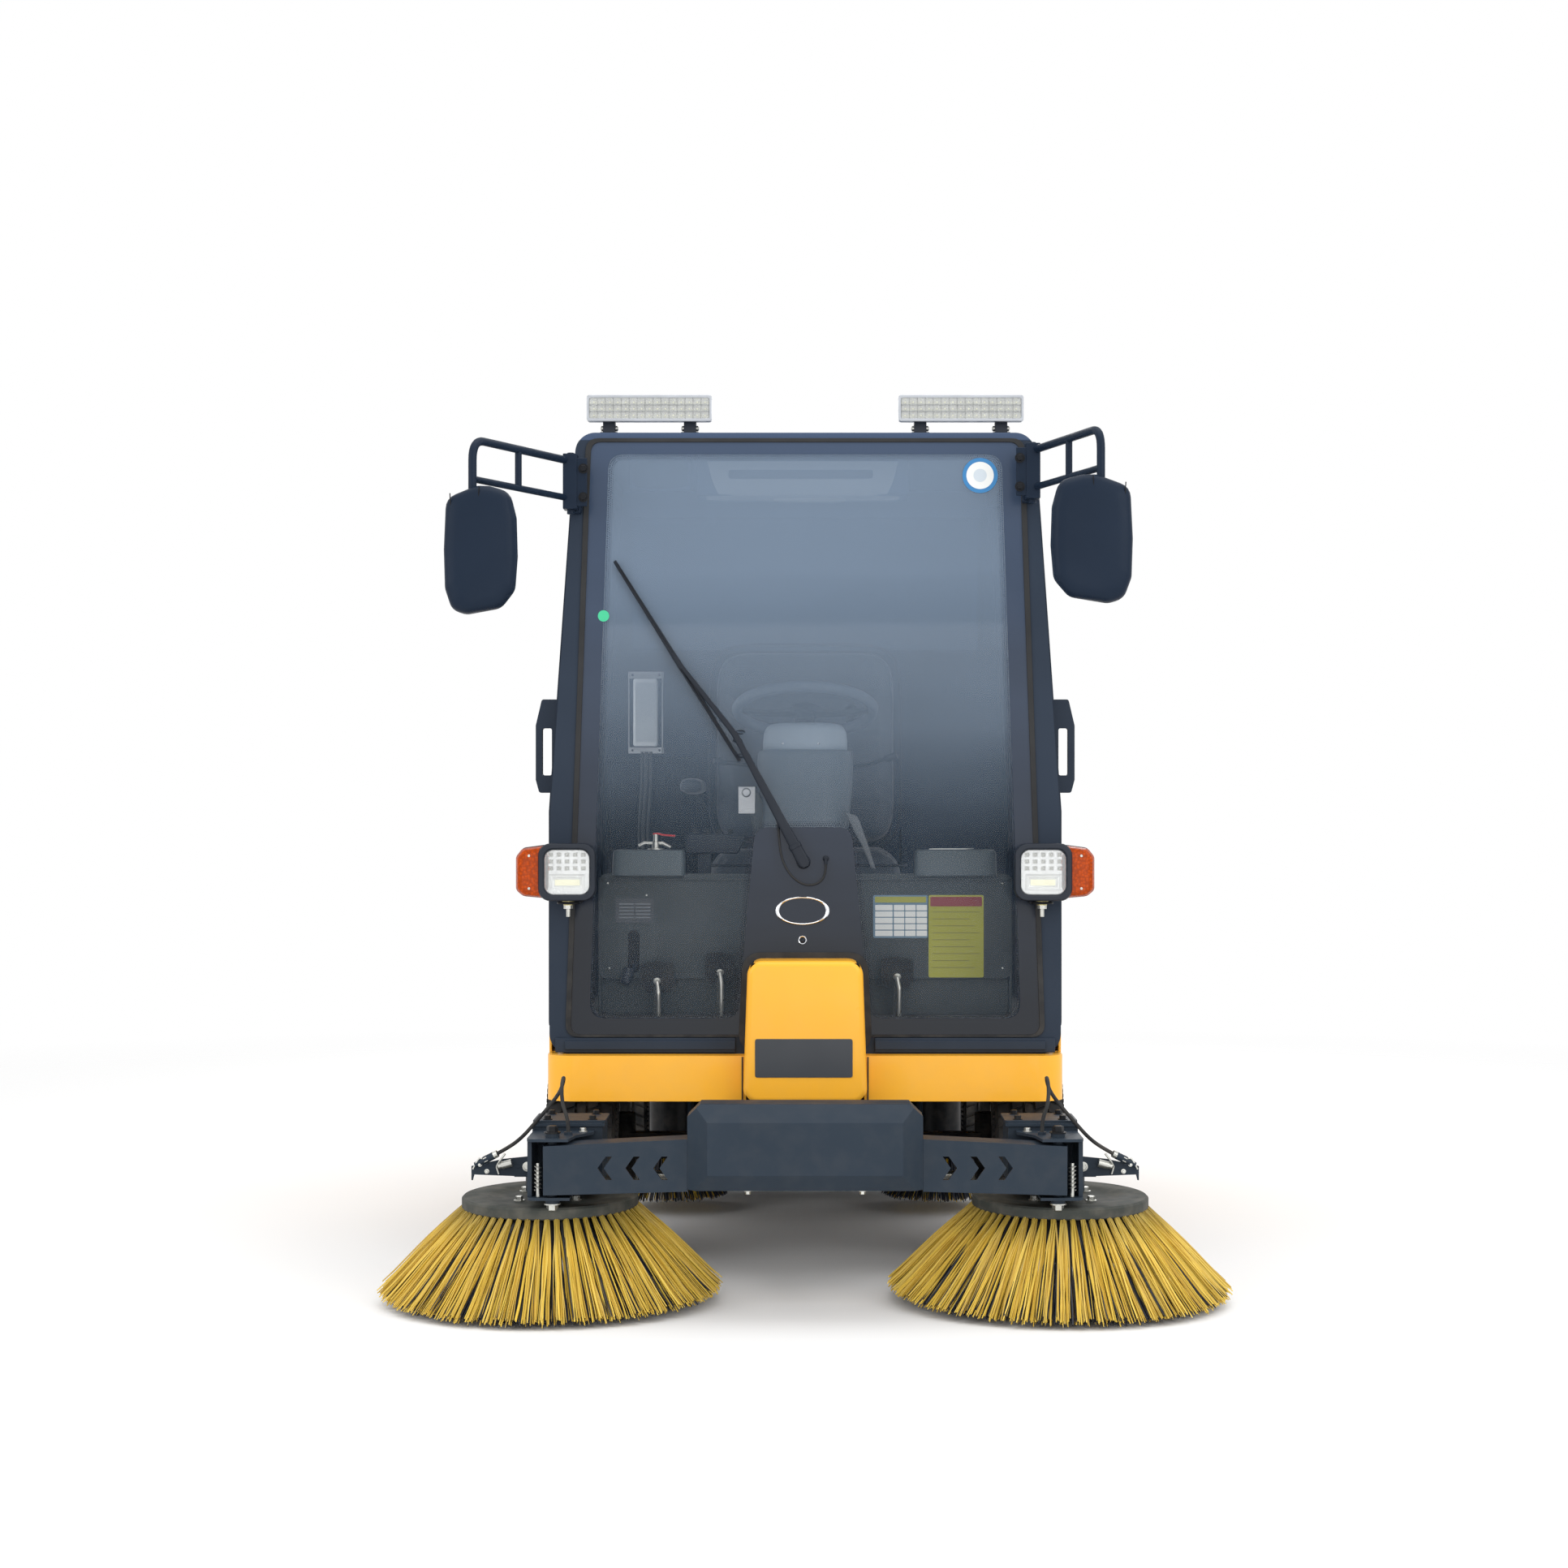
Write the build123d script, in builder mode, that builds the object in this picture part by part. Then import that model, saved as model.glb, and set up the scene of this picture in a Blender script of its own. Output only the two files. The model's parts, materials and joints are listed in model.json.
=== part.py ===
from build123d import *

import os
from math import atan2, cos, degrees, pi, radians, sin, sqrt, tan

# Compact road sweeper: a cab-forward carrier with two disc brushes on arms ahead of it,
# two small disc brushes and a roller under the middle, and a dirt hopper at the back.
# Millimetres. X points to the vehicle's left, Y to its rear, Z up from the ground.
# The origin lies on the ground under the middle of the vehicle.

# --- wheels and axles
tyre_r = 255.0
tyre_width = 165.0
tyre_shoulder_r = 26.0
bead_width = 128.0
rim_r = 152.0
rim_thick = 8.0
disc_thick = 12.0
disc_offset = 14.0
disc_window_r = 15.0
disc_window_circle_r = 98.0
disc_windows = 8
wheel_hub_r = 46.0
wheel_hub_length = 62.0
track = 1024.0
wheelbase = 1250.0
front_axle_y = -270.0
kingpin_x = 430.0
kingpin_r = 12.0
spindle_r = 20.0
running_gap = 0.05
axle_beam = 50.0
axle_height = 60.0
axle_boss_r = 28.0
knuckle_lug_thick = 20.0
knuckle_lug_gap = 1.0
steering_arm = 120.0
steering_arm_inset = 30.0
tie_rod_r = 11.0
rear_tube_r = 32.0
differential_r = 84.0
differential_width = 150.0
hub_flange_r = 52.0

# --- chassis rails
rail_x = 230.0
rail_width = 50.0
rail_bottom = 330.0
rail_top = 420.0
rail_wall = 6.0
rail_front_y = -640.0
rail_end_inset = 20.0
spring_half = 225.0
leaf_thick = 9.0
leaf_steps = (1.0, 0.74, 0.48)

# --- cab
cab_half = 574.0
cab_top_half = 518.0
cab_bottom = 502.0
cab_waist = 1045.0
cab_top = 1904.0
cab_wall = 40.0
cab_corner_r = 45.0
cab_front_y = -620.0
cab_top_front_y = -560.0
cab_back_y = 460.0
roof_thick = 18.0
floor_bottom = 560.0
floor_thick = 15.0
arch_r = 300.0

# --- windscreen: half widths and heights of the pane and of the clear opening
pane_bottom = (527.0, 544.0)
pane_top = (485.0, 1882.0)
clear_bottom = (484.0, 581.0)
clear_top = (445.0, 1854.0)
pane_thick = 6.0
pane_corner_r = 24.0
clear_corner_r = 38.0
seat_gap = 1.0
back_window_half = 440.0
back_window = (1480.0, 1800.0)

# --- doors, hung at their rear edge
door_front_y = -528.0
door_front_top_y = -478.0
door_rear_y = 392.0
door_bottom = 557.0
door_top = 1832.0
door_proud = 10.0
door_thick = 34.0
door_gap = 9.0
door_window_low = (636.0, 985.0)
door_window_high = (1075.0, 1762.0)
door_frame_side = 62.0
low_window_r = 24.0
high_window_r = 30.0
glass_thick = 5.0
hinge_r = 8.0
hinge_out = 8.0
hinge_back = 12.0
hinge_length = 28.0
hinge_heights = (640.0, 960.0)
handle_y = -482.0
handle_low = 1088.0
handle_high = 1302.0
handle_reach = 43.0
handle_bar = 15.0
handle_width = 22.0

# --- nose: skirt and centre column
nose_front_y = -680.0
nose_half = 577.0
nose_bottom = 401.0
nose_wall = 6.0
nose_corner_r = 62.0
nose_side_rear_y = -556.0
column_front_y = -730.0
column_half_low = 138.0
column_half_high = 127.0
column_top = 716.0
column_corner_r = 33.0
column_edge_r = 14.0
skirt_side_top = 548.0
skirt_side_thick = 6.0
skirt_side_return = 25.0

# --- front beam: bumper, draught beams, pivot
bumper_half = 243.0
bumper_face_half = 200.0
bumper_mid_half = 224.0
bumper_mid_y = -1142.0
bumper_front_y = -1170.0
bumper_rear_y = -1050.0
bumper_bottom = 266.0
bumper_top = 444.0
bumper_bevel = 35.0
bumper_low_bevel = (30.0, 35.0)
bumper_end_bevel = 27.0
bumper_hollow_half = 192.0
bumper_wall = 8.0
beam_x = 120.0
beam_width = 56.0
beam_bottom = 285.0
beam_top = 355.0
pivot_y = -470.0
pivot_z = 320.0
pivot_r = 14.0
pivot_tube_r = 25.0
lug_thick = 10.0

# --- brush arms
arm_front_y = -1120.0
arm_rear_y = -1040.0
arm_end = 540.0
arm_inner = (262.0, 370.0)
arm_outer = (254.0, 355.0)
arm_plate = 8.0
chevron_pitch = 57.5
chevron_first = 298.0
chevron_count = 3
chevron_width = 31.0
chevron_height = 48.0
chevron_stroke = 8.5

# --- swing brackets at the arm ends, each with its brush motor
swing_pin_x = 524.0
swing_pin_y = -1085.0
swing_pin_r = 10.0
swing_bush_r = 20.0
swing_plate = 6.0
swing_top = 370.0
swing_low = 242.0
swing_side = (566.0, 575.0)
swing_corner_r = 18.0
swing_inner_x = (489.0, 478.0, 446.0)
swing_inner_y = (-1045.0, -990.0)
swing_low_inner_x = 486.0
swing_low_setback = 8.0
swing_rear_lap = 4.0
swing_head_r = 15.0
swing_head = 10.0
motor_box_x = (430.0, 578.0)
motor_box_y = (-960.0, -808.0)
motor_box_z = (258.0, 385.0)
motor_r = 52.0
motor_gap = 8.0
motor_length = 60.0
wing_y = (-945.0, -905.0)
wing_x = (574.0, 709.0)
wing_high = (314.0, 307.0, 292.0)
wing_low = (269.0, 274.0)
wing_hook = (262.0, 6.0)
wing_plate = 5.0
wing_foot = 44.0
spray_pin = (680.0, 300.0)
spray_pin_r = 5.0
hose_sleeve = (8.0, 24.0)
hose_elbow = (6.0, 46.0)
hose_grommet_r = 9.0

# --- disc brushes: side pair ahead, small pair under the middle
side_brush_x = 545.0
side_brush_y = -905.0
side_hub_top = 228.0
side_hub_r = 188.0
side_hub_thick = 25.0
side_tip_r = 371.0
side_tip_drop = 209.0
side_tilt_forward = 1.5
side_tilt_out = 0.5
bristle_depth = 36.0
side_tufts = 58
mid_tufts = 28
tuft_depth = 12.0
tuft_gap = (8.0, 14.0)
tuft_start = 4.0
brush_shaft_r = 14.0
brush_shaft_depth = 16.0
mid_brush_x = 360.0
mid_brush_y = 448.0
mid_hub_top = 180.0
mid_hub_r = 80.0
mid_hub_thick = 22.0
mid_tip_r = 155.0
mid_tip_drop = 144.0
mid_motor_length = 130.0
mid_mount_half = 45.0
mid_mount_plate = 8.0
mid_post_half = 20.0
mid_motor_r = 50.0

# --- roller brush and its hood
roller_ahead = 225.0
roller_r = 120.0
roller_tyre_gap = 34.5
roller_z = 125.0
hood_gap = 10.0
hood_wall = 5.0
cheek_low = 60.0
cheek_high = (100.0, 90.0)
hanger_half = 25.0
hanger_y = (-42.0, -12.0)
roller_shaft_length = 40.0
roller_shaft_r = 14.0

# --- lift cylinder under the front beam
cylinder_foot = (-545.0, 245.0)
cylinder_eye = (-860.0, 275.0)
cylinder_r = 19.0
cylinder_length = 215.0
rod_r = 9.0
eye_r = 15.0
eye_pin_r = 7.0
eye_width = 26.0
eye_gap = 2.0
lug_half = 20.0
cylinder_neck_r = 11.0

# --- steering wheel
wheel_tilt = 18.0
wheel_centre = (0.0, -70.0, 1293.0)
wheel_r = 180.0
wheel_grip_r = 14.0
wheel_spokes = (0, 90, 180)
wheel_spoke = (30.0, 5.0)
wheel_hub_r = 38.0
wheel_neck = (24.0, 40.0)
shaft_length = 110.0
steering_shaft_r = 11.0

# --- cab fittings
overhead_x = (-248.0, 237.0)
overhead_y = (-500.0, -400.0)
overhead_low = 1768.0
inner_mirror_x = (-399.0, -262.0)
inner_mirror_y = (-520.0, -505.0)
inner_mirror_z = (1778.0, 1848.0)
inner_mirror_stem = (-340.0, -318.0)
console_half = 477.0
console_y = (-450.0, -380.0)
console_z = (659.0, 902.0)
console_wall = 6.0
console_boxes = ((-445.0, -277.0), (252.0, 442.0))
console_box_front = -470.0
console_box_top = 957.0
pedestal_half = 60.0
pedestal_rear = -300.0
pedestal_top = 1011.0
shroud_half = 106.0
shroud_corner_r = 12.0
shroud_side = (
    (-300.0, 1093.0), (-300.0, 1215.0), (-250.0, 1245.0), (-120.0, 1205.0), (-92.0, 1112.0), (-180.0, 1085.0),
)
neck_half = 70.0
neck_side = (
    (-380.0, 880.0), (-380.0, 1060.0), (-300.0, 1110.0), (-170.0, 1110.0), (-170.0, 1040.0),
    (-250.0, 980.0), (-290.0, 880.0),
)
socket_r = 28.0
seat_half = 249.0
seat_base_half = 230.0
seat_base_y = (-40.0, 330.0)
seat_bottom = 800.0
seat_cushion_y = (-90.0, 300.0)
seat_cushion_top = 935.0
seat_back_low = (285.0, 380.0)
seat_back_high = (332.0, 412.0)
seat_back_top = 1474.0
armrest_x = (-318.0, -249.0)
armrest_y = (30.0, 330.0)
armrest_z = (1090.0, 1128.0)

# --- pedals: left X, width and height of the pad's lower edge above the floor
pedal_table = ((-377.0, 75.0, 60.0), (-228.0, 66.0, 80.0), (175.0, 72.0, 70.0))
pedal_y = -470.0
pedal_stem = 16.0

# --- windscreen wiper: (X, height) of its pivot, elbow and blade ends
wiper_pivot = (-4.0, 932.0)
wiper_elbow = (-158.0, 1218.0)
wiper_blade = ((-150.0, 1163.0), (-427.0, 1605.0))
wiper_pivot_r = 16.0
wiper_lift = 14.0
wiper_arm_widths = (27.0, 14.0)
wiper_blade_width = 9.0
wiper_link_width = 12.0

# --- washer hose: (X, height, distance off the windscreen) from its grommet to the arm's clip
washer_hose_r = 2.6
washer_grommet = (46.4, 939.0)
washer_grommet_r = 7.0
washer_stub_r = 4.0
washer_stub_length = 13.0
washer_off = 9.0
washer_route = (
    (46.4, 903.0, washer_off), (30.0, 882.0, 13.0), (0.0, 878.0, 16.0), (-30.0, 897.0, 17.0),
    (-50.0, 930.0, 16.0), (-58.0, 967.0, 13.0), (-60.0, 1008.0, 8.0),
)
washer_clip_r = 4.4
washer_clip_length = 14.0

# --- lamps
headlamp_centre = (524.5, 911.5)
headlamp_size = 125.0
headlamp_y = (-740.0, -655.0)
indicator_centre = (612.0, 912.0)
indicator_size = (54.0, 106.0)
indicator_y = (-720.0, -662.0)
lamp_plate_x = (506.0, 556.0)
lamp_plate_z = (840.0, 846.0)
lamp_plate_front = -715.0
lamp_leg_front = -640.0
lamp_bolt = (524.0, -698.0)
lamp_bolt_low = 812.0
lamp_bolt_r = 7.0
roof_lamp_x = (212.0, 496.0)
roof_lamp_y = (-550.0, -494.0)
roof_lamp_z = (1931.0, 1991.0)
roof_lamp_feet = (262.0, 446.0)
roof_lamp_foot_r = 9.0

# --- mirrors: side, bracket X, tube X at the head, head middle X, head width, rise
mirror_table = (
    (-1, 540.0, 703.0, 686.0, 155.0, 0.0),
    (1, 524.0, 625.0, 606.0, 173.0, 24.0),
)
mirror_y = -975.0
mirror_tube_r = 9.0
mirror_brace_r = 7.0
mirror_bend_r = 44.0
mirror_bracket_x = 34.0
mirror_bracket_y = (-640.0, -520.0)
mirror_bracket_z = (1722.0, 1842.0)
mirror_tube_z = (1748.0, 1832.0)
mirror_head_z = 1598.0
mirror_head_height = 273.0
mirror_head_thick = 56.0
mirror_corner_r = 34.0

# --- rear body
body_half = 560.0
body_front_y = 480.0
rear_overhang = 245.0
body_bottom = 420.0
body_top = 1430.0
body_wall = 20.0
body_corner_r = 42.0
body_arch_r = 292.0
flare_reach = 40.0
flare_thick = 12.0
hopper_half = 480.0
hopper_bottom = 560.0
hopper_top = 1372.0
hopper_length = 345.0
battery_gap = 10.0
battery_half = 400.0
battery_rear_y = 860.0
battery_top = 760.0
hopper_wall = 12.0
tail_door_thick = 20.0
tail_door_overlap = 10.0
tail_hinge_out = 14.0
tail_hinge_up = 16.0
tail_hinge_x = 330.0
tail_hinge_length = 70.0
tail_hinge_drop = 20.0
tail_hinge_gap = 1.0
tail_leaf = 34.0
tail_corner_r = 18.0
rear_bumper_half = 555.0
rear_bumper_z = (430.0, 530.0)
rear_bumper_depth = 35.0
rear_bumper_round = 16.0
tail_lamp_x = (498.0, 552.0)
tail_lamp_z = (820.0, 1020.0)
tail_lamp_depth = 18.0

# --- derived places
wheel_x = track / 2
rear_axle_y = front_axle_y + wheelbase
body_rear_y = rear_axle_y + rear_overhang
rail_rear_y = body_rear_y - rail_end_inset
rear_y = body_rear_y + rear_bumper_depth
hopper_front_y = body_rear_y - hopper_length
roller_y = rear_axle_y - roller_ahead
roller_half = wheel_x - tyre_width / 2 - hood_gap - hood_wall - roller_tyre_gap
screen_slope = (cab_top_front_y - cab_front_y) / (cab_top - cab_bottom)
screen_angle = atan2(cab_top_front_y - cab_front_y, cab_top - cab_bottom)
side_slope = (cab_half - cab_top_half) / (cab_top - cab_waist)
door_skin_x = cab_half + door_proud
hinge_x = door_skin_x + hinge_out
hinge_y = door_rear_y + hinge_back
brush_lean = Vector(tan(radians(side_tilt_out)), -tan(radians(side_tilt_forward)), 1).normalized()
wheel_axis = Vector(0, sin(radians(wheel_tilt)), cos(radians(wheel_tilt)))

os.makedirs("parts", exist_ok=True)


def save(piece, node):
    """Labels a finished piece and writes it as its own STEP file."""
    piece.label = node
    export_step(piece, f"parts/{node}.step")


def across(y):
    """The plane seen from the front at depth y: sketch x is X, sketch y is Z."""
    return Plane(origin=(0, y, 0), x_dir=(1, 0, 0), z_dir=(0, -1, 0))


def along(x):
    """The plane seen from the left at x: sketch x is Y, sketch y is Z."""
    return Plane(origin=(x, 0, 0), x_dir=(0, 1, 0), z_dir=(1, 0, 0))


def screen(depth):
    """The windscreen's plane, moved out of the cab by depth: sketch x is X, sketch y runs up it."""
    outward = Vector(0, -cos(screen_angle), sin(screen_angle))
    base = Vector(0, cab_front_y, cab_bottom) + outward * depth
    return Plane(origin=base, x_dir=(1, 0, 0), z_dir=outward)


def up_screen(height):
    """Distance up the windscreen's plane to a height above the ground."""
    return (height - cab_bottom) / cos(screen_angle)


def block(x, y, z, mode=Mode.ADD):
    """A box between (low, high) pairs along X, Y and Z."""
    with Locations(((x[0] + x[1]) / 2, (y[0] + y[1]) / 2, (z[0] + z[1]) / 2)):
        Box(x[1] - x[0], y[1] - y[0], z[1] - z[0], mode=mode)


def prism(plane, points, depth, corner_r=0.0, mode=Mode.ADD, both=False):
    """A polygon with rounded corners, pulled along its plane's normal."""
    with BuildSketch(plane) as outline:
        Polygon(*points)
        if corner_r:
            fillet(outline.vertices(), corner_r)
    extrude(outline.sketch, amount=depth, both=both, mode=mode)


def bar(start, direction, length, radius, mode=Mode.ADD):
    """A round bar from a point along a direction."""
    with BuildSketch(Plane(origin=start, z_dir=direction)) as ring:
        Circle(radius)
    extrude(ring.sketch, amount=length, mode=mode)


def link(plane, start, end, width, depth, mode=Mode.ADD):
    """A flat link with round ends between two points of a plane, pulled along its normal."""
    middle = ((start[0] + end[0]) / 2, (start[1] + end[1]) / 2)
    run = (end[0] - start[0], end[1] - start[1])
    with BuildSketch(plane) as slot:
        with Locations(middle):
            SlotCenterToCenter(
                sqrt(run[0] ** 2 + run[1] ** 2), width, rotation=degrees(atan2(run[1], run[0]))
            )
    extrude(slot.sketch, amount=depth, mode=mode)


def tapered_link(plane, start, end, widths, depth):
    """A link between two points that narrows along its run, its ends round."""
    run = (Vector(*end) - Vector(*start)).normalized()
    side = Vector(-run.Y, run.X)
    corners = [
        Vector(*point) + side * (sign * width / 2)
        for point, width, sign in (
            (start, widths[0], -1), (end, widths[1], -1), (end, widths[1], 1), (start, widths[0], 1),
        )
    ]
    with BuildSketch(plane) as outline:
        Polygon(*[(corner.X, corner.Y) for corner in corners], align=None)
        for point, width in ((start, widths[0]), (end, widths[1])):
            with Locations(point):
                Circle(width / 2)
    extrude(outline.sketch, amount=depth)


def bend_radii(points):
    """For each inner point: 0.45 of the shorter run over the tangent of half the turn."""
    radii = []
    for before, here, after in zip(points, points[1:], points[2:]):
        run_in = Vector(*here) - Vector(*before)
        run_out = Vector(*after) - Vector(*here)
        half_turn = radians(run_in.get_angle(run_out)) / 2
        radii.append(0.45 * min(run_in.length, run_out.length) / tan(half_turn))
    return radii


def hose_tube(name, points, radius):
    """A round hose along straight runs joined by tangent arcs; prints its radii and its volume check."""
    radii = bend_radii(points)
    print(name, "bend radii:", [round(value, 1) for value in radii])
    with BuildPart() as tube:
        with BuildLine() as path:
            FilletPolyline(*points, radius=radii)
        with BuildSketch(Plane(origin=path.line @ 0, z_dir=path.line % 0)):
            Circle(radius)
        sweep()
    length = path.wires()[0].length
    print(name, "length:", round(length, 1))
    print(name, "volume over section times length:", round(tube.part.volume / (pi * radius**2 * length), 5))
    return tube.part


def cab_block(skin, bottom, top):
    """The cab's outer form between two heights, grown outwards by skin."""
    half = cab_half + skin
    top_half = cab_top_half + skin
    ceiling = cab_top + skin
    front_low = cab_front_y - skin - screen_slope * (cab_bottom - bottom)
    with BuildPart() as form:
        with BuildSketch(across(0)) as section:
            Polygon(
                (-half, bottom), (half, bottom), (half, cab_waist),
                (top_half, ceiling), (-top_half, ceiling), (-half, cab_waist),
            )
            fillet(section.vertices().group_by(Axis.Z)[-1], max(cab_corner_r + skin, 4.0))
        extrude(amount=2 * cab_half, both=True)
        prism(
            along(0),
            (
                (front_low, bottom), (cab_top_front_y - skin, ceiling),
                (cab_back_y + skin, ceiling), (cab_back_y + skin, bottom),
            ),
            2 * cab_half, mode=Mode.INTERSECT, both=True,
        )
        if top < ceiling:
            block(
                (-2 * cab_half, 2 * cab_half), (2 * cab_front_y, 2 * cab_back_y),
                (top, ceiling + 1), mode=Mode.SUBTRACT,
            )
    return form.part


def door_outline(margin):
    """Corners of the door seen from the side, grown by margin."""
    return (
        (door_front_y - margin, door_bottom - margin),
        (door_front_y - margin, cab_waist),
        (door_front_top_y - margin, door_top + margin),
        (door_rear_y + margin, door_top + margin),
        (door_rear_y + margin, door_bottom - margin),
    )


def window_outline(span, margin):
    """Corners of a door window between two heights, grown by margin."""
    rise = (door_front_top_y - door_front_y) / (door_top - cab_waist)
    low = door_front_y + rise * max(span[0] - cab_waist, 0) + door_frame_side
    high = door_front_y + rise * max(span[1] - cab_waist, 0) + door_frame_side
    rear = door_rear_y - door_frame_side
    return (
        (low - margin, span[0] - margin), (high - margin, span[1] + margin),
        (rear + margin, span[1] + margin), (rear + margin, span[0] - margin),
    )


def screen_outline(low, high, margin):
    """A trapezium on the windscreen's plane from (half width, height) pairs."""
    return (
        (-low[0] - margin, up_screen(low[1]) - margin), (low[0] + margin, up_screen(low[1]) - margin),
        (high[0] + margin, up_screen(high[1]) + margin), (-high[0] - margin, up_screen(high[1]) + margin),
    )


# ---------------------------------------------------------------- chassis

with BuildPart() as chassis_frame:
    with BuildSketch(across(rail_rear_y)):
        with Locations((rail_x, (rail_bottom + rail_top) / 2)):
            Rectangle(rail_width, rail_top - rail_bottom)
            Rectangle(
                rail_width - 2 * rail_wall, rail_top - rail_bottom - 2 * rail_wall, mode=Mode.SUBTRACT
            )
    extrude(amount=rail_rear_y - rail_front_y)
    # pivot cheek of the front beam
    inner_x = rail_x - rail_width / 2
    block(
        (inner_x - lug_thick, inner_x), (pivot_y - 30, pivot_y + 30),
        (pivot_z - 35, rail_bottom + 15),
    )
    # lug of the lift cylinder
    foot_y, foot_z = cylinder_foot
    block(
        (eye_width / 2 + eye_gap, eye_width / 2 + eye_gap + lug_thick),
        (foot_y - lug_half, foot_y + lug_half), (foot_z - lug_half, rail_top - lug_half),
    )
    mirror(about=Plane.YZ)
    # cross members: middle Y, width along Y, bottom and top
    cross_members = (
        (-615.0, 40.0, 386.0, 420.0),
        (foot_y, 40.0, 382.0, 420.0),
        (40.0, 60.0, 350.0, 410.0),
        (520.0, 60.0, 350.0, 410.0),
        (1150.0, 60.0, 350.0, 410.0),
    )
    for middle, width, low, high in cross_members:
        block((-inner_x, inner_x), (middle - width / 2, middle + width / 2), (low, high))
    bar((-inner_x, pivot_y, pivot_z), (1, 0, 0), 2 * inner_x, pivot_r)
    foot_reach = eye_width / 2 + eye_gap + lug_thick
    bar((-foot_reach, foot_y, foot_z), (1, 0, 0), 2 * foot_reach, eye_pin_r)
save(chassis_frame.part, "chassis_frame")


def leaf_spring(axle_y, pad_bottom):
    """One leaf spring under the left rail, its eyes against the rail."""
    x = (rail_x - rail_width / 2, rail_x + rail_width / 2)
    top = rail_bottom - 12
    for step, share in enumerate(leaf_steps):
        reach = spring_half * share
        high = top - step * leaf_thick
        block(x, (axle_y - reach, axle_y + reach), (high - leaf_thick, high))
    for end in (axle_y - spring_half + 12, axle_y + spring_half - 12):
        block(x, (end - 12, end + 12), (top, rail_bottom))
    low = top - len(leaf_steps) * leaf_thick
    block(x, (axle_y - 28, axle_y + 28), (pad_bottom, low))


with BuildPart() as front_axle:
    beam_half = axle_beam / 2
    axle_low = tyre_r - axle_height / 2
    axle_high = tyre_r + axle_height / 2
    boss_half = axle_height / 2 + 25
    block((-kingpin_x, kingpin_x), (front_axle_y - beam_half, front_axle_y + beam_half), (axle_low, axle_high))
    for side in (-1, 1):
        bar((side * kingpin_x, front_axle_y, tyre_r - boss_half), (0, 0, 1), 2 * boss_half, axle_boss_r)
        bar(
            (side * kingpin_x, front_axle_y, tyre_r - boss_half), (0, 0, 1), 2 * boss_half,
            kingpin_r + running_gap, mode=Mode.SUBTRACT,
        )
    leaf_spring(front_axle_y, axle_high)
    mirror(about=Plane.YZ)
save(front_axle.part, "front_axle")

with BuildPart() as rear_axle:
    spindle_start = wheel_x - wheel_hub_length / 2 - disc_thick
    spindle_end = wheel_x + disc_offset
    bar((0, rear_axle_y, tyre_r), (1, 0, 0), spindle_start - 14, rear_tube_r)
    bar((spindle_start - 26, rear_axle_y, tyre_r), (1, 0, 0), 20, hub_flange_r)
    bar((0, rear_axle_y, tyre_r), (1, 0, 0), spindle_end, spindle_r)
    leaf_spring(rear_axle_y, tyre_r + rear_tube_r - 6)
    mirror(about=Plane.YZ)
    bar(
        (-differential_width / 2, rear_axle_y, tyre_r), (1, 0, 0), differential_width, differential_r
    )
save(rear_axle.part, "rear_axle")

# ---------------------------------------------------------------- cab

with BuildPart() as cab_frame:
    seam = cab_top - roof_thick
    add(cab_block(0, cab_bottom, seam))
    add(cab_block(-cab_wall, cab_bottom - 10, seam), mode=Mode.SUBTRACT)
    # the roof seam leaves a ring, so the ceiling under it is opened as well
    inner_top = cab_top_half - cab_wall
    block(
        (-inner_top, inner_top), (cab_top_front_y + cab_wall, cab_back_y - cab_wall),
        (seam - 60, seam), mode=Mode.SUBTRACT,
    )
    prism(along(0), door_outline(door_gap), 2 * cab_half, 22.0, Mode.SUBTRACT, both=True)
    prism(
        screen(-pane_thick), screen_outline(pane_bottom, pane_top, seat_gap), 3 * pane_thick,
        pane_corner_r + seat_gap, Mode.SUBTRACT,
    )
    prism(
        screen(pane_thick), screen_outline(clear_bottom, clear_top, 0), -2 * cab_wall,
        clear_corner_r, Mode.SUBTRACT,
    )
    prism(
        across(cab_back_y + 1),
        (
            (-back_window_half, back_window[0]), (back_window_half, back_window[0]),
            (back_window_half, back_window[1]), (-back_window_half, back_window[1]),
        ),
        cab_wall + 2, clear_corner_r, Mode.SUBTRACT,
    )
    bar((-2 * cab_half, front_axle_y, tyre_r), (1, 0, 0), 4 * cab_half, arch_r, mode=Mode.SUBTRACT)
    # fixed halves of the door hinges
    for low in hinge_heights:
        for side in (-1, 1):
            leaf_x = sorted((side * (cab_half - 4), side * (hinge_x + hinge_r)))
            block(leaf_x, (hinge_y + 2, hinge_y + 34), (low, low + hinge_length))
            bar((side * hinge_x, hinge_y, low), (0, 0, 1), hinge_length, hinge_r)
save(cab_frame.part, "cab_frame")

with BuildPart() as roof:
    add(cab_block(0, cab_bottom, 2 * cab_top))
    block(
        (-2 * cab_half, 2 * cab_half), (2 * cab_front_y, 2 * cab_back_y),
        (0, seam), mode=Mode.SUBTRACT,
    )
    # overhead console and the mirror hung beside it
    block(overhead_x, overhead_y, (overhead_low, seam))
    block(inner_mirror_x, inner_mirror_y, inner_mirror_z)
    stem_middle = (inner_mirror_z[0] + inner_mirror_z[1]) / 2
    block(inner_mirror_stem, (inner_mirror_y[1], overhead_y[0] + 20), (stem_middle, seam))
save(roof.part, "roof")

with BuildPart() as cab_glass:
    prism(
        screen(-pane_thick), screen_outline(pane_bottom, pane_top, 0), pane_thick, pane_corner_r
    )
    inset = cab_back_y - cab_wall / 2
    prism(
        across(inset),
        (
            (-back_window_half, back_window[0]), (back_window_half, back_window[0]),
            (back_window_half, back_window[1]), (-back_window_half, back_window[1]),
        ),
        glass_thick, clear_corner_r,
    )
save(cab_glass.part, "cab_glass")

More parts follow.
